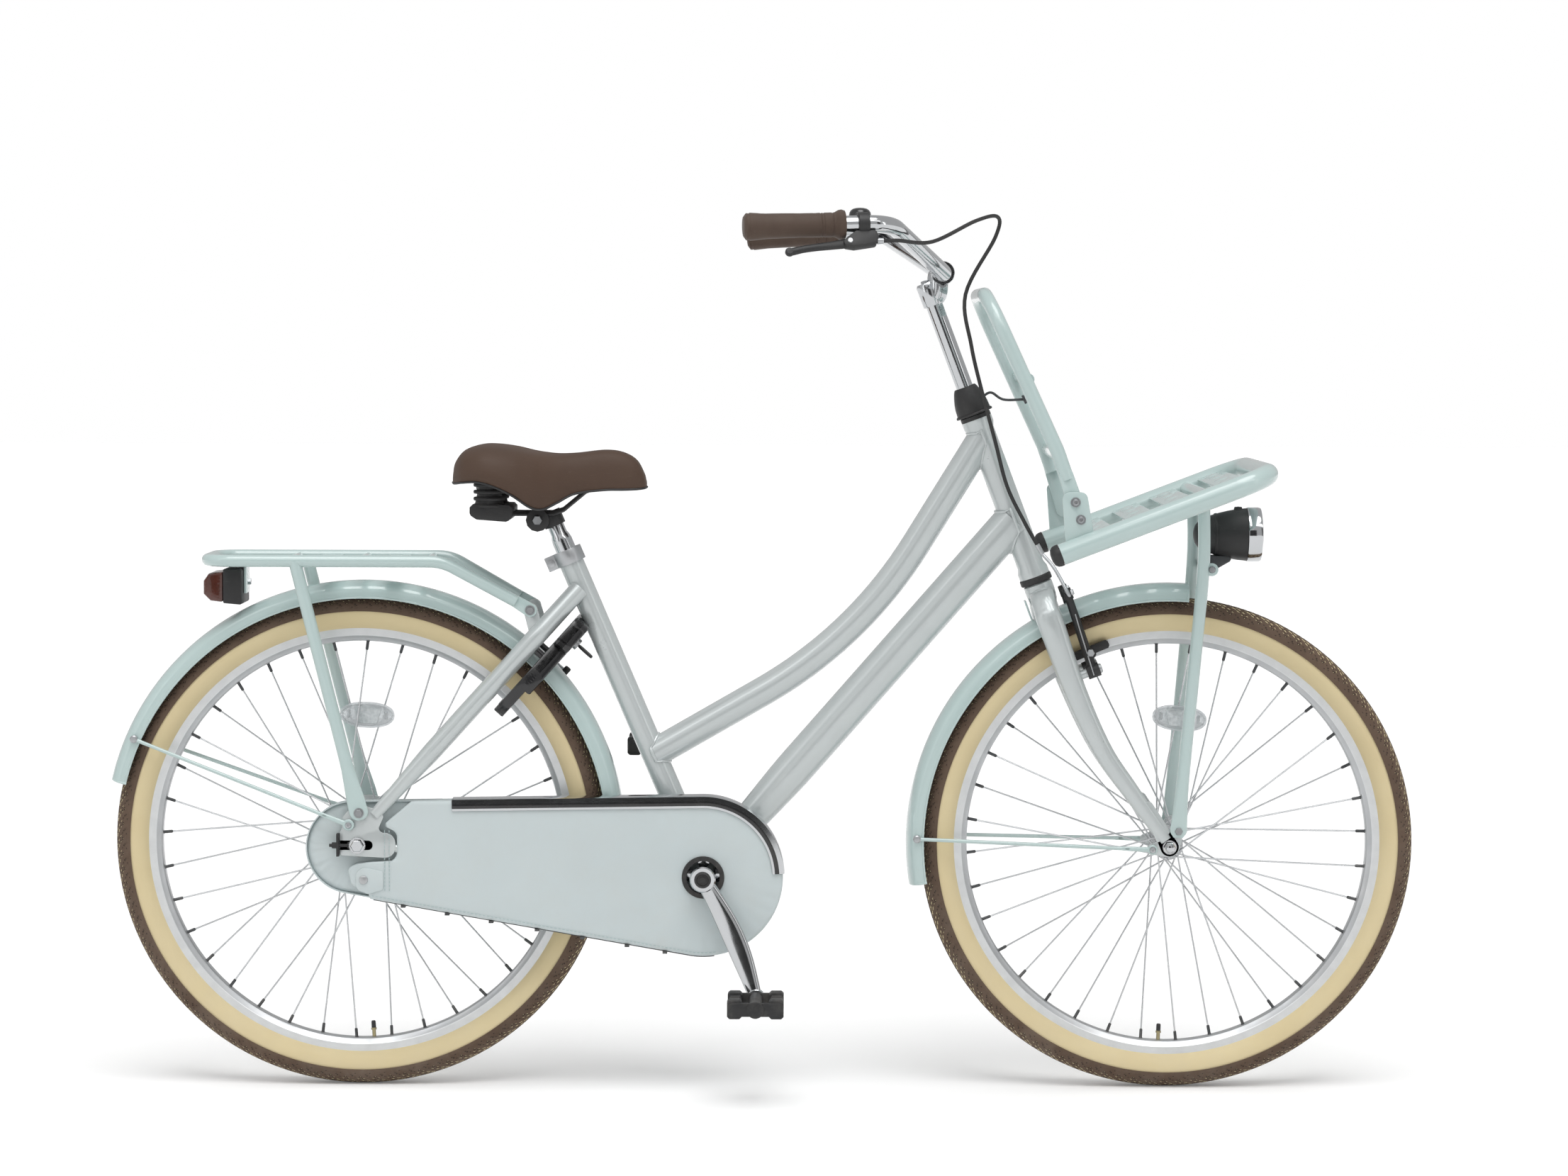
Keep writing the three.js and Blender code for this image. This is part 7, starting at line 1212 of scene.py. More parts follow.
# The cover: stations from tail to nose give half width, top and skirt;
# across each, a crown of width and height shares.
def makeSaddle():
    s = saddleSizes
    rows = flow(s["stations"], 8)
    crown = flow(s["crown"], 6)
    across = np.concatenate([crown[:, 0], -crown[-2::-1, 0]])
    up = np.concatenate([crown[:, 1], crown[-2::-1, 1]])
    x, wide, top, skirt, under = (rows[:, k, None] for k in range(5))
    y = across[None] * wide
    z = skirt + up[None] * (top - skirt)
    dish = (s["groove"] * np.exp(-(y / 9.0) ** 2) * np.clip((x - 150) / 60, 0, 1)
        * np.clip((340 - x) / 60, 0, 1))
    z = z - dish
    upper = np.stack([x + 0 * y, y, z], -1)
    share = np.linspace(1, -1, 13)[None, 1:-1]
    lip = np.minimum(7, wide / 3)
    innerY = share * (0.93 * wide - lip)
    inner = np.stack([x + 0 * innerY, -innerY, under + 0 * innerY], -1)
    grid = np.concatenate([upper, inner], 1)
    made = piece("saddlePad", [skin(grid)], "seat", "saddleSkin", ["saddle_cover"], sharp=70)
    edge = np.stack([rows[:, 0], 0.945 * rows[:, 1], rows[:, 3] + 0.4], -1)
    piping = both(sweep(edge, [1.5, 1.5], 12))
    piece("saddlePiping", piping, "seat", "blackPlastic")
    keepNode("saddle_frame", "blackPlastic", 0.8)
    # Rubber springs with their rings, and the clamp bolt on the rails
    bumpers = []
    for k in np.linspace(773, 800, 4):
        bumpers.append(turned([[15, k - 3], [20.4, k - 2.2], [21.2, k], [20.4, k + 2.2], [15, k + 3]],
            vec(172, 36, 0), (0, 0, 1), 40, loop=True))
    piece("saddleSprings", both(*bumpers), "seat", "blackRubber")
    barrel = both(turned([[0, 0], [6.6, 0], [6.6, 3], [5.8, 4.2], [0, 4.2]], vec(234.5, 31.4, 753.4),
        sideWay, 6))
    piece("saddleNuts", barrel, "seat", "steel", sharp=28)
    post = turned([[0, 250], [13.6, 250], [13.6, 478], [12.6, 484], [11, 488], [11, 516], [0, 516]],
        bracketCentre, seatWay, 48)
    piece("seatPillar", [post], "seat", "chrome", ["seat_post"])
    keepNode("seat_clamp", "satinAlloy", 0.6)


makeSaddle()
print("saddle made")

# chain case

caseSizes = {"rear": (-8.0, 322.0), "rearRadius": 61.5, "frontRadius": 105.0, "inner": -36.0, "outer": -67.0,
    "rearOuter": -51.6, "crankHole": 24.0, "axleHole": 12.0, "edge": 4.0, "trimFrom": 124.0,
    "trimEnd": 290.6, "stitchPitch": 5.2}


def caseLoop(offset, steps=120):
    c = caseSizes
    return belt(c["rear"], c["rearRadius"] + offset, (layout["bracketX"], layout["bracketZ"]),
        c["frontRadius"] + offset, steps)


# Points on an outline at even steps of its length.
def evenly(outline, count, closed=True):
    line = np.concatenate([outline, outline[:1]]) if closed else outline
    lengths = np.concatenate([[0], np.cumsum(np.linalg.norm(np.diff(line, axis=0), axis=1))])
    at = np.linspace(0, lengths[-1], count, endpoint=not closed)
    return np.stack([np.interp(at, lengths, line[:, k]) for k in range(line.shape[1])], -1)


# How far from a centre, along each of many directions, a closed outline
# lies: the nearest crossing of ray and edges.
def reachOf(outline, centre, angle):
    a = outline - centre
    b = np.roll(a, -1, 0)
    way = np.stack([np.cos(angle), np.sin(angle)], -1)
    edge = b - a
    cross = way[:, None, 0] * edge[None, :, 1] - way[:, None, 1] * edge[None, :, 0]
    cross = np.where(abs(cross) < 1e-9, 1e-9, cross)
    t = (a[None, :, 0] * edge[None, :, 1] - a[None, :, 1] * edge[None, :, 0]) / cross
    s = (a[None, :, 0] * way[:, None, 1] - a[None, :, 1] * way[:, None, 0]) / cross
    return np.where((t > 0) & (s >= -1e-6) & (s <= 1 + 1e-6), t, np.inf).min(1)


# A soft shell: rings of points go from the edge of a hole over a pillowed
# face, round a soft edge and back to the inner side.
def softShell(outline, centre, hole, outerY, innerY, edge, pillow, angles, wrinkle):
    centre = np.asarray(centre, float)
    reach = reachOf(outline, centre, angles)
    way = np.stack([np.cos(angles), np.sin(angles)], -1)
    rows = []
    for share in np.linspace(0, 1, 22):
        radius = hole + (reach - edge - hole) * share
        swell = pillow * np.sin(np.pi * share) + wrinkle(angles, share)
        rows.append((radius, outerY - swell))
    for lean in np.radians([22.5, 45, 67.5, 90]):
        rows.append((reach - edge + edge * np.sin(lean),
            np.full_like(reach, outerY + edge - edge * np.cos(lean))))
    rows.append((reach, np.full_like(reach, innerY)))
    rows.append((reach - 2.0, np.full_like(reach, innerY)))
    rows.append((reach - 2.0, np.full_like(reach, outerY + edge)))
    rows.append((np.full_like(reach, hole), np.full_like(reach, outerY + 1.6)))
    grid = np.stack([np.stack([centre[0] + way[:, 0] * r, y, centre[1] + way[:, 1] * r], -1) for r,
        y in rows])
    return skin(grid, loop=True)


def makeChainCase():
    c = caseSizes
    crank = vec(layout["bracketX"], layout["bracketZ"])
    loop = caseLoop(0)
    # Cover outline: the belt shape cut by the shaped edge round the dropout
    edgeLine = rounded([[620, 430], [82, 430], [76, 389], [30, 350.5], [51.5, 346.5], [51.5, 305], [2, 304],
        [-14, 296], [-8, 272], [14, 266], [20, 120], [620, 120]],
        [0.1, 0.1, 6, 5, 12, 12, 5, 8, 8, 5, 0.1, 0.1], 5)
    angles = np.linspace(0, 2 * np.pi, 900, endpoint=False)
    nearest = np.minimum(reachOf(loop, crank, angles), reachOf(edgeLine, crank, angles))
    cover = crank + np.stack([np.cos(angles), np.sin(angles)], -1) * nearest[:, None]
    def ripple(a, s):
        return 0.35 * np.sin(9 * a + 4 * s) * s * (1 - s) * 2 + 0.25 * np.sin(31 * a + 1.2) * s**4

    front = softShell(cover, crank, c["crankHole"], c["outer"] + 1.2, c["rearOuter"] + 1, c["edge"], 0.9,
        angles, ripple)
    # Rear hood: the same belt, lower, pulled into folds round its rim
    rearCut = rounded([[-90, 240], [110, 240], [110, 405], [-90, 405]], 4)
    axle = vec(0, layout["axleZ"])
    hoodReach = np.minimum(reachOf(loop, axle, angles), reachOf(rearCut, axle, angles))
    hood = axle + np.stack([np.cos(angles), np.sin(angles)], -1) * hoodReach[:, None]
    def behind(a):
        return np.clip(-np.cos(a), 0, 1) ** 0.5

    def folds(a, s):
        return (behind(a) * s**3 * (0.8 * np.sin(17 * a + 2 * np.sin(5 * a)) + 0.35 * np.sin(37 * a + 1))
            - 2.0 * (1 - s) ** 2)

    rear = softShell(hood, axle, c["axleHole"], c["rearOuter"] + 1.8, c["inner"] - 0.2, 9.0, 1.2, angles,
        folds)
    # Back wall and rim between the cover and the wheel side
    wallShape = evenly(loop, 300)
    ahead = unit(np.roll(wallShape, -1, 0) - np.roll(wallShape, 1, 0))
    out = np.stack([ahead[:, 1], -ahead[:, 0]], -1)
    ringRows = [(0, -53.0), (0, c["inner"] - 1.5), (-1.5, c["inner"]), (-16, c["inner"]),
        (-16, c["inner"] - 1.5), (-1.7, c["inner"] - 1.7), (-1.5, -53.0)]
    backGrid = np.stack([np.stack([wallShape[:, 0] + out[:, 0] * o, np.full(300, y),
        wallShape[:, 1] + out[:, 1] * o], -1) for o, y in ringRows])
    back = skin(backGrid, loop=True)
    inner = plate(evenly(caseLoop(-15), 200), c["inner"] - 1.5, c["inner"] - 0.3, 0.4)
    flap = plate(rounded([[-2, 268], [14, 262], [34, 268], [34, 292], [8, 298], [-2, 290]],
        [10, 6, 3, 3, 8, 8]), c["outer"] - 0.4, c["outer"] + 1.6, 0.6)
    piece("softCase", [front, rear, back, flap], "frame", "vinyl", ["chain_case"], sharp=55)
    holeRing = turned([[c["crankHole"] - 2.2, -3.4], [c["crankHole"] + 3.2, -3.4], [c["crankHole"] + 4, -2],
        [c["crankHole"] + 3.6, 1], [c["crankHole"] - 2.2, 1]], vec(crank[0], c["outer"] + 1.2, crank[1]),
        sideWay, 64, loop=True)
    piece("caseEyelet", [holeRing], "frame", "blackRubber")
    piece("caseBackWall", [inner], "frame", "vinyl")
    # Stitching: short threads at an even pitch along the lower edge, and two upright rows behind the flap
    lowEdge = evenly(caseLoop(-5), 1600)
    lowEdge = lowEdge[(lowEdge[:, 1] < 300) & (lowEdge[:, 0] > 20) & (lowEdge[:, 0] < 470)]
    lowEdge = lowEdge[np.argsort(lowEdge[:, 0])]
    count = int(np.linalg.norm(np.diff(lowEdge, axis=0), axis=1).sum() / c["stitchPitch"])
    seams = [evenly(lowEdge, count, closed=False)]
    seams += [np.stack([np.full(16, x), np.linspace(268, 345, 16)], -1) for x in (36, 42)]
    threads = []
    for line in seams:
        way = unit(np.gradient(line, axis=0))
        centres = np.stack([line[:, 0], np.full(len(line), c["outer"] - 0.15), line[:, 1]], -1)
        x = np.stack([way[:, 0], 0 * way[:, 0], way[:, 1]], -1)
        z = np.stack([-way[:, 1], 0 * way[:, 0], way[:, 0]], -1)
        threads.append(scattered(box(3.2, 0.7, 0.8), centres, x, sideWay, z))
    piece("caseStitches", threads, "frame", "stitching")
    snap = turned([[0, -2.8], [3.6, -2.6], [5.6, -1.6], [6, 0], [0, 0]], vec(8, c["outer"] - 0.2, 281),
        sideWay, 40)
    piece("caseSnap", [snap], "frame", "satinAlloy")
    clips = []
    for x in (60, 118, 176, 236, 296, 354, 404):
        at = lowEdge[np.argmin(abs(lowEdge[:, 0] - x))]
        clips.append(scattered(box(6.0, 14, 3.2), [vec(at[0], -60, at[1] - 7.0)], vec(1, 0, 0), sideWay,
            vec(0, 0, 1)))
    hem = evenly(caseLoop(0.2), 1600)
    hem = hem[(hem[:, 1] < 300) & (hem[:, 0] > 20) & (hem[:, 0] < 470)]
    hem = hem[np.argsort(hem[:, 0])]
    clips.append(sweep(np.stack([hem[:, 0], np.full(len(hem), c["outer"] + 4.5), hem[:, 1]], -1)[::4],
        [0.9, 0.9], 8))
    piece("caseClips", clips, "frame", "darkSteel")
    # Trim: an angle strip along the top and round the front, bright on both legs with a dark line between
    line = evenly(caseLoop(0), 1200)
    centre = np.array([200.0, 300.0])
    keep = (line[:, 0] > c["trimFrom"]) & (line[:, 1] > c["trimEnd"]) & ((line[:, 1] > 330)
        | (line[:, 0] > 500))
    line = line[keep]
    line = line[np.argsort(np.arctan2(line[:, 1] - centre[1], line[:, 0] - centre[0]))]
    ahead = unit(np.gradient(line, axis=0))
    out = np.stack([ahead[:, 1], -ahead[:, 0]], -1)
    def strip(rows):
        return skin(np.stack([np.stack([line[:, 0] + out[:, 0] * o, np.full(len(line), y),
            line[:, 1] + out[:, 1] * o], -1) for o, y in rows], 1))

    outerY = c["outer"]
    bright = strip([(2.4, -40), (2.4, outerY + 1), (1.6, outerY - 1.0), (-4.6, outerY - 1.7),
        (-4.6, outerY - 0.3), (0.8, outerY - 0.2), (1.0, -40)])
    second = strip([(-10.4, outerY - 1.7), (-13.4, outerY - 1.3), (-14, outerY - 0.3), (-10.4, outerY - 0.3)])
    dark = strip([(-4.4, outerY - 1.4), (-7.6, outerY - 2.0), (-10.6, outerY - 1.4), (-10.6, outerY - 0.3),
        (-4.4, outerY - 0.3)])
    piece("caseTrim", [bright, second], "frame", "chrome", ["chain_case_trim"])
    piece("caseTrimLine", [dark], "frame", "blackGloss")


makeChainCase()
print("chain case made")

# cranks and pedals

crankSizes = {"length": 170.0, "lean": 24.4, "depths": [21, 24, 28.5, 27.5, 21, 17],
    "widths": [15, 12, 10.5, 10.5, 11, 12], "shares": [0.0, 0.18, 0.42, 0.66, 0.88, 1.0], "bow": 0.035,
    "rightStart": 84.0, "leftStart": 60.0, "middle": 99.0, "pitch": 12.7}


# A toothed ring seen from the side: the radius rises to a point at each tooth, with a window inside.
def toothed(teeth, centre, window, y, half=1.1):
    radius = crankSizes["pitch"] / (2 * np.sin(np.pi / teeth))
    angle = np.linspace(0, 2 * np.pi, teeth * 10, endpoint=False)
    tooth = radius + 3.8 * np.clip(1.5 * np.cos(teeth * angle), -1, 1)
    inner = np.full_like(tooth, window)
    rows = [(inner, -half), (tooth, -half), (tooth, half), (inner, half)]
    grid = np.stack([np.stack([centre[0] + r * np.cos(angle), np.full_like(r, y + d),
        centre[2] + r * np.sin(angle)], -1) for r, d in rows])
    return skin(grid, loop=True)


def makeCrank(name, side):
    c = crankSizes
    lean = np.radians(c["lean"])
    way = vec(np.sin(lean), 0, -np.cos(lean)) * (1 if side < 0 else -1)
    aheadWay = vec(-way[2], 0, way[0])
    share = flow([[s, d, w] for s, d, w in zip(c["shares"], c["depths"], c["widths"])], 8)
    start = c["rightStart"] if side < 0 else c["leftStart"]
    s = share[:, :1]
    path = (bracketCentre + way * s * c["length"] + aheadWay * c["bow"] * c["length"] * np.sin(np.pi * s)
        + sideWay * side * (start + (c["middle"] - start) * s**1.6))
    arm = sweep(path, share[:, 1:] / 2, 40, aheadWay, 0.82)
    bossFrom, bossTo = (40.6, 93) if side < 0 else (45, 73)
    boss = turned([[8, bossFrom], [17, bossFrom], [17, bossTo - 2], [15.4, bossTo], [11, bossTo],
        [11, bossTo - 1], [8, bossTo - 1]], bracketCentre, sideWay * side, 56, loop=True)
    end = bracketCentre + way * c["length"]
    eye = turned([[5.4, 93], [11.6, 93], [12.5, 94], [12.5, 104], [11.6, 105], [5.4, 105]], end,
        sideWay * side, 48, loop=True)
    parts = [arm, boss, eye]
    if side < 0:
        parts.append(toothed(36, bracketCentre, 57, -44))
        parts += [slab([[0, -8], [60, -8], [60, 8], [0, 8]], bracketCentre + sideWay * -44, turn(a),
            np.cross(turn(a), sideWay), -1.1, 1.1) for a in (0, 90, 180, 270)]
    piece(name, parts, "crankset", "chrome", ["crank_right" if side < 0 else "crank_left"])
    capY = bossTo - 1.2
    dustCap = turned([[0, capY + 4.6], [4, capY + 4.4], [4, capY + 2.6], [7.4, capY + 2.4], [8, capY + 4],
        [10, capY + 3.2], [11.2, capY], [0, capY]], bracketCentre, sideWay * side, 48)
    piece(name + "Cap", [dustCap], "crankset", "blackPlastic")
    return end


makeCrank("crankRight", -1)
makeCrank("crankLeft", 1)
keepNode("crank_spindle", "steel")
keepNode("bottom_bracket", "steel", 0.3)

pedalSizes = {"from": 106.5, "to": 190.0, "length": 73.0, "height": 25.0, "tread": 19.0}


def makePedal(name, side, node):
    p = pedalSizes
    lean = np.radians(crankSizes["lean"])
    way = vec(np.sin(lean), 0, -np.cos(lean)) * (1 if side < 0 else -1)
    at = bracketCentre + way * crankSizes["length"]
    x, z = at[0], at[2]
    half, tall = p["length"] / 2, p["height"] / 2
    def span(a, b):
        return (side * a, side * b)

    parts = []
    for s in (-1, 1):
        near, far = sorted((s * (half - p["tread"]), s * half))
        # Tread block: waisted between raised feet at its corners
        block = rounded([[x + near, z - tall + 3], [x + near + 3, z - tall], [x + far - 3, z - tall],
            [x + far, z - tall + 3], [x + far, z + tall - 3], [x + far - 3, z + tall],
            [x + near + 3, z + tall], [x + near, z + tall - 3]], 2, 3)
        for a, b in ((108.5, 128), (168.5, 188)):
            parts.append(plate(block, *span(a, b), 1.4))
        low = rounded([[x + near + 2, z - tall + 4.5], [x + far - 1, z - tall + 4.5],
            [x + far - 1, z + tall - 4.5], [x + near + 2, z + tall - 4.5]], 3, 4)
        parts.append(plate(low, *span(126, 170), 1.0))
        for y in (134, 141, 148.2, 155.4, 162.6):
            rib = rounded([[x + near + 3, z - tall + 2.6], [x + far - 2, z - tall + 2.6],
                [x + far - 2, z + tall - 2.6], [x + near + 3, z + tall - 2.6]], 2, 3)
            parts.append(plate(rib, *span(y - 1.3, y + 1.3), 0.6))
    ends = rounded([[x - half + 1, z - tall + 3.5], [x + half - 1, z - tall + 3.5],
        [x + half - 1, z + tall - 3.5], [x - half + 1, z + tall - 3.5]], 6, 6)
    parts += [plate(ends, *span(106.5, 110.5), 1.0), plate(ends, *span(186, 190), 1.0)]
    parts.append(turned([[0, 107.5], [9.5, 107.5], [9.5, 189], [11, 189], [11, 192], [9, 193], [0, 193]],
        vec(x, 0, z), sideWay * side, 36))
    piece(name, parts, node.replace("pedal_", "") + "_pedal", "blackPlastic", [node])
    piece(name + "Spindle", [rod(vec(x, side * 94, z), vec(x, side * 109, z), 5)],
        node.replace("pedal_", "") + "_pedal", "steel")


makePedal("pedalRightBody", -1, "pedal_right")
makePedal("pedalLeftBody", 1, "pedal_left")
print("cranks and pedals made")

# lamp and rear light

lampSizes = {"z": 736.5, "shell": [[0, 1101], [6, 1101.4], [12, 1103.2], [17.4, 1107.4], [21.6, 1114],
    [25.4, 1124], [28.8, 1135], [31.6, 1147], [33.4, 1157], [35, 1171], [0, 1171]],
    "ring": [[33, 1171.4], [35.6, 1171.4], [36, 1173], [36, 1186], [35, 1189.4], [32.6, 1190], [31, 1188.6],
    [31, 1180]], "glass": [[0, 1194], [8, 1193.8], [16, 1192.8], [24, 1191], [31, 1188.4], [31, 1184],
    [0, 1184]]}


def makeLamp():
    s = lampSizes
    centre = vec(0, 0, s["z"])
    shell = turned(s["shell"], centre, (1, 0, 0), 64)
    seams = [turned([[26.9, 1128.5], [28, 1128.5], [28.4, 1131.5], [27, 1131.5]], centre, (1, 0, 0), 64,
        loop=True)]
    knob = turned([[0, 30], [6, 30], [5.6, 34], [4.8, 36.5], [0, 37]], vec(1160, 0, s["z"]), (0, 0, 1), 32)
    piece("lampShell", [shell, knob] + seams, "headlamp", "blackPlastic", ["headlamp_shell"])
    piece("lampRing", [turned(s["ring"], centre, (1, 0, 0), 64, loop=True)], "headlamp", "chrome",
        ["headlamp_lens"])
    piece("lampGlass", [turned(s["glass"], centre, (1, 0, 0), 64)], "headlamp", "clearLens")
    bowl = turned([[30.6, 1183.4], [26, 1176], [14, 1171.6], [0, 1171.5], [0, 1172.6], [14, 1172.8],
        [25, 1177], [29.6, 1183.6]], centre, (1, 0, 0), 48)
    piece("lampBowl", [bowl], "headlamp", "chrome")
    keepNode("headlamp_bracket", "darkSteel", 0.6)
    screw = both(turned([[0, 0], [4.6, 0], [4.6, 1.6], [3.6, 3.2], [0, 3.4]], vec(1118.6, 74.4, 694),
        sideWay, 24))
    piece("lampScrews", screw, "steering", "steel")


makeLamp()

lightSizes = {"back": [[-179, 643], [-156, 641], [-154.4, 643], [-154.4, 686], [-157, 688], [-179, 688]],
    "lens": [[-179.4, 644], [-196, 646], [-205, 655], [-205, 672], [-198, 682], [-179.4, 684]]}


def makeRearLight():
    s = lightSizes
    piece("lightHousing", [plate(rounded(s["back"], 2, 4), -38, 38, 1.6)], "frame", "blackPlastic",
        ["rear_light_housing"])
    piece("lightLens", [plate(rounded(s["lens"], 3, 6), -36, 36, 3.0)], "frame", "redLens",
        ["rear_light_lens"])
    piece("lightScrews", [turned([[0, 0], [4.6, 0], [4.6, 3], [0, 3]], vec(-151, 9, 669), (1, 0, 0), 6)],
        "frame", "satinAlloy")


makeRearLight()

# ring lock

lockSizes = {"distance": 307.0, "tilt": 48.06, "back": 13.4, "legDepth": 15.0, "bodyDepth": 22.0,
    "inner": 52.0, "outer": 67.0, "legEnd": 148.0, "shoulder": 70.0, "bar": 59.2, "barBack": 7.2,
    "barRadius": 3.8, "knobAt": 52.5}


def makeLock():
    k = lockSizes
    up, out = turn(k["tilt"]), turn(k["tilt"] - 90)
    centre = rearAxle + up * k["distance"]
    def arc(radius, a, b, n):
        angles = np.radians(np.linspace(a, b, n))
        return radius * np.stack([np.sin(angles), np.cos(angles)], -1)

    crown = rounded([[61, 62], [45, 108], [-45, 108], [-61, 62]], [10, 16, 16, 10], 8)
    outline = np.concatenate([arc(k["outer"], k["legEnd"], k["shoulder"], 24), crown,
        arc(k["outer"], -k["shoulder"], -k["legEnd"], 24), arc(k["inner"], -k["legEnd"], k["legEnd"], 72)])
    legs = slab(outline, centre, sideWay, up, k["back"], k["back"] + k["legDepth"], 2.0)
    upper = np.concatenate([[[66.5, -8]], arc(k["outer"], 90, k["shoulder"], 8), crown,
        arc(k["outer"], -k["shoulder"], -90, 8), [[-66.5, -8], [-51.4, -8]], arc(k["inner"], -90, 90, 48),
        [[51.4, -8]]])
    body = slab(upper, centre, sideWay, up, k["back"] + 1, k["back"] + k["bodyDepth"], 3.0)
    pads = both(rod(stayPoint(0.76) + out * 12.9, stayPoint(0.76) + out * 25, 5))
    barrelAt = centre + up * 78 + out * (k["back"] + k["bodyDepth"])
    barrel = turned([[0, -1], [8, -1], [8, 4.4], [7, 5], [0, 5]], barrelAt, out, 40)
    piece("lockCase", [legs, body] + pads, "frame", "blackGloss", ["lock_housing"])
    keyPlate = slab(rounded([[-11, 5], [11, 5], [11, 29], [-11, 29]], 7, 8), barrelAt, sideWay, out, -1.5,
        1.5, 0.8)
    piece("lockKey", [keyPlate], "frame", "blackPlastic")
    piece("lockBarrel", [barrel], "frame", "satinAlloy")
    angle = np.radians(np.linspace(-35, 140, 60))
    ringPath = (centre + sideWay * (k["bar"] * np.sin(angle))[:, None] + up
        * (k["bar"] * np.cos(angle))[:, None] + out * (k["back"] + k["barBack"]))
    bow = sweep(ringPath, [k["barRadius"]] * 2, 20, out)
    a = np.radians(k["knobAt"])
    base = (centre + sideWay * k["bar"] * np.sin(a) + up * k["bar"] * np.cos(a) + out
        * (k["back"] + k["barBack"]))
    tip = base + out * 26.8
    piece("lockBow", [bow, rod(base, tip, 2.4)], "shackle", "chrome", ["lock_shackle"])
    piece("lockKnob", [turned([[0, -1], [5.6, -1], [7, 1], [7, 6.4], [6, 8], [0, 8]], tip, out, 36)],
        "shackle", "blackPlastic")


makeLock()
print("lamp, light and lock made")

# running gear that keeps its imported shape

for name, look, ease in (("chain", "steel", 0.0), ("coaster_brake_arm", "steel", 0.5),
        ("rear_sprocket", "steel", 0.0), ("chain_tensioner_right", "blackPlastic", 0.5),
        ("chain_tensioner_left", "blackPlastic", 0.5), ("brake_arm_right", "blackPlastic", 0.8),
        ("brake_arm_left", "blackPlastic", 0.8), ("bell_striker", "blackPlastic", 0.4),
        ("kickstand", "blackPlastic", 0.5)):
    keepNode(name, look, ease)

axleSizes = {
    "rear": {"radius": 4.9, "spacer": 9.0, "from": 51.0, "inner": 60.0, "outer": 67.7, "washer": 11.0,
        "nut": 8.6, "end": 75.0, "body": "frame", "node": "rear_axle"},
    "front": {"radius": 4.6, "spacer": 8.0, "from": 38.5, "inner": 50.2, "outer": 55.2, "washer": 9.5,
        "nut": 8.0, "end": 66.0, "body": "steering", "node": "front_axle"},
}


# Axle: a straight shaft, lock nuts, a serrated washer whose rim waves
# with the angle, a flanged nut and a domed cap nut.
def makeAxle(name, centre):
    s = axleSizes[name]
    start = s["outer"] + 0.3
    shaft = rod(centre - sideWay * (start + 7), centre + sideWay * (start + 7), s["radius"])
    spacer = both(rod(centre + sideWay * s["from"], centre + sideWay * (s["inner"] - 0.3), s["spacer"],
        sides=32))
    angle = np.linspace(0, 2 * np.pi, 240, endpoint=False)
    rim = s["washer"] - 0.5 + 0.5 * np.sign(np.sin(30 * angle))
    rows = [(0 * rim + s["radius"], 0), (rim, 0), (rim, 1.5), (0 * rim + s["radius"], 1.5)]
    washer = skin(np.stack([np.stack([centre[0] + r * np.cos(angle), np.full_like(r, start + y),
        centre[2] + r * np.sin(angle)], -1) for r, y in rows]), loop=True)
    nut = turned([[0, 1.4], [s["nut"], 1.4], [s["nut"], 6.4], [s["nut"] - 1, 7.4], [0, 7.4]],
        centre + sideWay * start, sideWay, 6)
    reach = s["end"] - start
    dome = turned([[0, 6.6], [6.4, 6.6], [6.2, reach - 3], [4.8, reach - 1.2], [2.4, reach - 0.2],
        [0, reach]], centre + sideWay * start, sideWay, 40)
    piece(name + "AxleSet", [shaft] + spacer + both(washer, nut, dome), s["body"], "chrome", [s["node"]],
        sharp=28)


makeAxle("rear", rearAxle)
makeAxle("front", frontAxle)


# Rim brake details: the polished pivot bolts, spring wires and pad bolts
def makeBrakeBolts(side, body):
    hub = onFork(140.8, 36, 42)
    pivot = turned([[0, 0], [6.4, 0], [6.4, 1.6], [5.6, 3.4], [3.2, 3.8], [3.0, 1.8], [0, 1.8]], hub,
        headForward, 36)
    clamp = turned([[0, 0], [4.4, 0], [4.4, 3], [3.6, 4], [0, 4]], onFork(34, 35.6, 38.5), headForward, 6)
    pad = frontAxle + unit(onFork(116.6, 32) - frontAxle) * 277
    nut = turned([[0, 0], [5.2, 0], [5.2, 3.4], [4.2, 4.4], [0, 4.4]], pad + sideWay * 51, sideWay, 6)
    spring = sweep(flow([onFork(146, 26, 51.5), onFork(128, 27, 50), onFork(90, 29, 47.5),
        onFork(62, 31, 46.4)], 8), [0.9, 0.9], 10)
    parts = [pivot, clamp, nut, spring]
    piece(body + "Bolts", parts if side > 0 else [mirrored(p) for p in parts], body, "satinAlloy", sharp=28)


makeBrakeBolts(1, "left_brake_arm")
makeBrakeBolts(-1, "right_brake_arm")
print("running gear made")

# stage and lights

stageSizes = {"glossyWorld": 0.5, "floor": 60.0, "worldLight": 0.60, "sunLight": 1.5, "fillLight": 0.25,
    "floorGlow": 0.10}


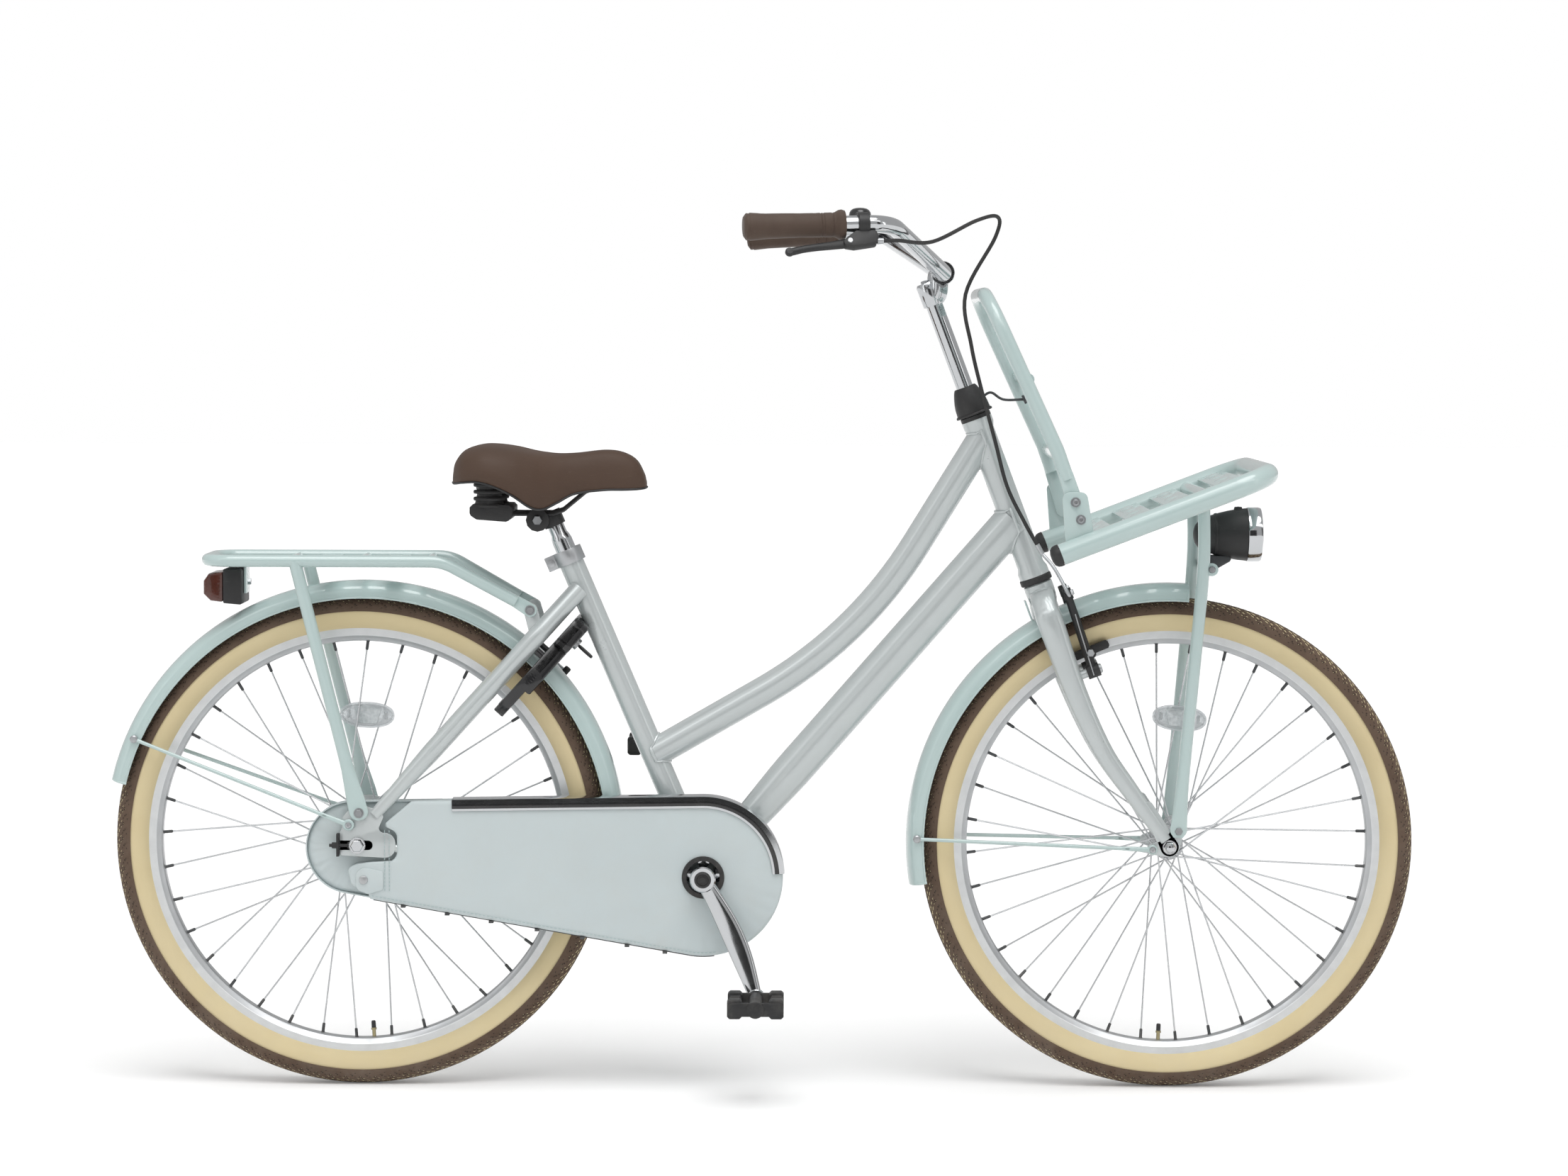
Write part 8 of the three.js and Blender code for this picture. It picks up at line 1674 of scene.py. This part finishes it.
def makeStage():
    s = stageSizes
    world = bpy.data.worlds.new("studio")
    bpy.context.scene.world = world
    world.use_nodes = True
    tree = world.node_tree
    background = tree.nodes["Background"]
    rays = addNode(tree, "LightPath")
    seen = addNode(tree, "Math", {0: rays.outputs["Is Camera Ray"], 1: rays.outputs["Is Glossy Ray"]},
        operation="MAXIMUM")
    seen = addNode(tree, "Math", {0: seen.outputs[0], 1: rays.outputs["Is Transmission Ray"]},
        operation="MAXIMUM")
    level = addNode(tree, "MapRange", {"Value": seen.outputs[0], "To Min": s["worldLight"], "To Max": 1.0})
    # A shiny piece meets a grey room, and the bright strips below give it its highlights
    shaded = addNode(tree, "Math", {0: rays.outputs["Is Glossy Ray"], 1: 1.0 - s["glossyWorld"]},
        operation="MULTIPLY")
    level = addNode(tree, "Math", {0: level.outputs[0], 1: shaded.outputs[0]}, operation="SUBTRACT")
    tree.links.new(level.outputs[0], background.inputs["Strength"])
    background.inputs["Color"].default_value = (1, 1, 1, 1)
    half = s["floor"] / 2
    grid = np.array([[[-half, -half, 0], [half, -half, 0]], [[-half, half, 0], [half, half, 0]]])
    mesh = bpy.data.meshes.new("floor")
    mesh.from_pydata(grid.reshape(-1, 3).tolist(), [], [[0, 1, 3, 2]])
    floor = bpy.data.objects.new("floor", mesh)
    bpy.context.scene.collection.objects.link(floor)
    material = bpy.data.materials.new("floorWhite")
    material.use_nodes = True
    tree = material.node_tree
    shader = tree.nodes["Principled BSDF"]
    shader.inputs["Base Color"].default_value = (0.93, 0.93, 0.93, 1)
    shader.inputs["Roughness"].default_value = 0.9
    shader.inputs["Specular IOR Level"].default_value = 0.0
    rays = addNode(tree, "LightPath")
    glow = addNode(tree, "Math", {0: rays.outputs["Is Camera Ray"], 1: s["floorGlow"]}, operation="MULTIPLY")
    shader.inputs["Emission Color"].default_value = (1, 1, 1, 1)
    tree.links.new(glow.outputs[0], shader.inputs["Emission Strength"])
    mesh.materials.append(material)
    for name, strength, angle, turnTo in (("key", s["sunLight"], 40, (20, 0, 12)),
            ("fill", s["fillLight"], 90, (62, 0, -48))):
        light = bpy.data.lights.new(name, "SUN")
        light.energy = strength
        light.angle = np.radians(angle)
        made = bpy.data.objects.new(name, light)
        made.rotation_euler = np.radians(turnTo)
        bpy.context.scene.collection.objects.link(made)
    # Dark cards and bright strips far off, seen only in reflections, as a photographer hangs them
    for name, centre, size, glow in (("cardMiddle", (0, -14, 2.6), (7.0, 7.0), 0.0),
            ("cardLow", (0, -14, -2.2), (26, 2.0), 0.0), ("cardRight", (9, -11, 4), (2.6, 9), 0.0),
            ("cardLeft", (-8, -11, 4), (2.0, 9), 0.0), ("stripHigh", (0, -10, 11.0), (22, 4.0), 2.6),
            ("stripRight", (13, -9, 4), (2.6, 9), 2.2), ("stripLeft", (-12, -9, 4), (2.6, 9), 2.2)):
        mesh = bpy.data.meshes.new(name)
        w, h = size[0] / 2, size[1] / 2
        corners = np.array([[-w, 0, -h], [w, 0, -h], [w, 0, h], [-w, 0, h]])
        mesh.from_pydata((corners + np.array(centre)).tolist(), [], [[0, 1, 2, 3]])
        card = bpy.data.objects.new(name, mesh)
        bpy.context.scene.collection.objects.link(card)
        cardFinish = bpy.data.materials.new(name)
        cardFinish.use_nodes = True
        inputs = cardFinish.node_tree.nodes["Principled BSDF"].inputs
        inputs["Base Color"].default_value = (0.02, 0.02, 0.02, 1)
        inputs["Emission Color"].default_value = (1, 1, 1, 1)
        inputs["Emission Strength"].default_value = glow
        mesh.materials.append(cardFinish)
        card.visible_camera = card.visible_diffuse = card.visible_shadow = card.visible_transmission = False
    bpy.context.scene.view_settings.view_transform = "Standard"


makeStage()
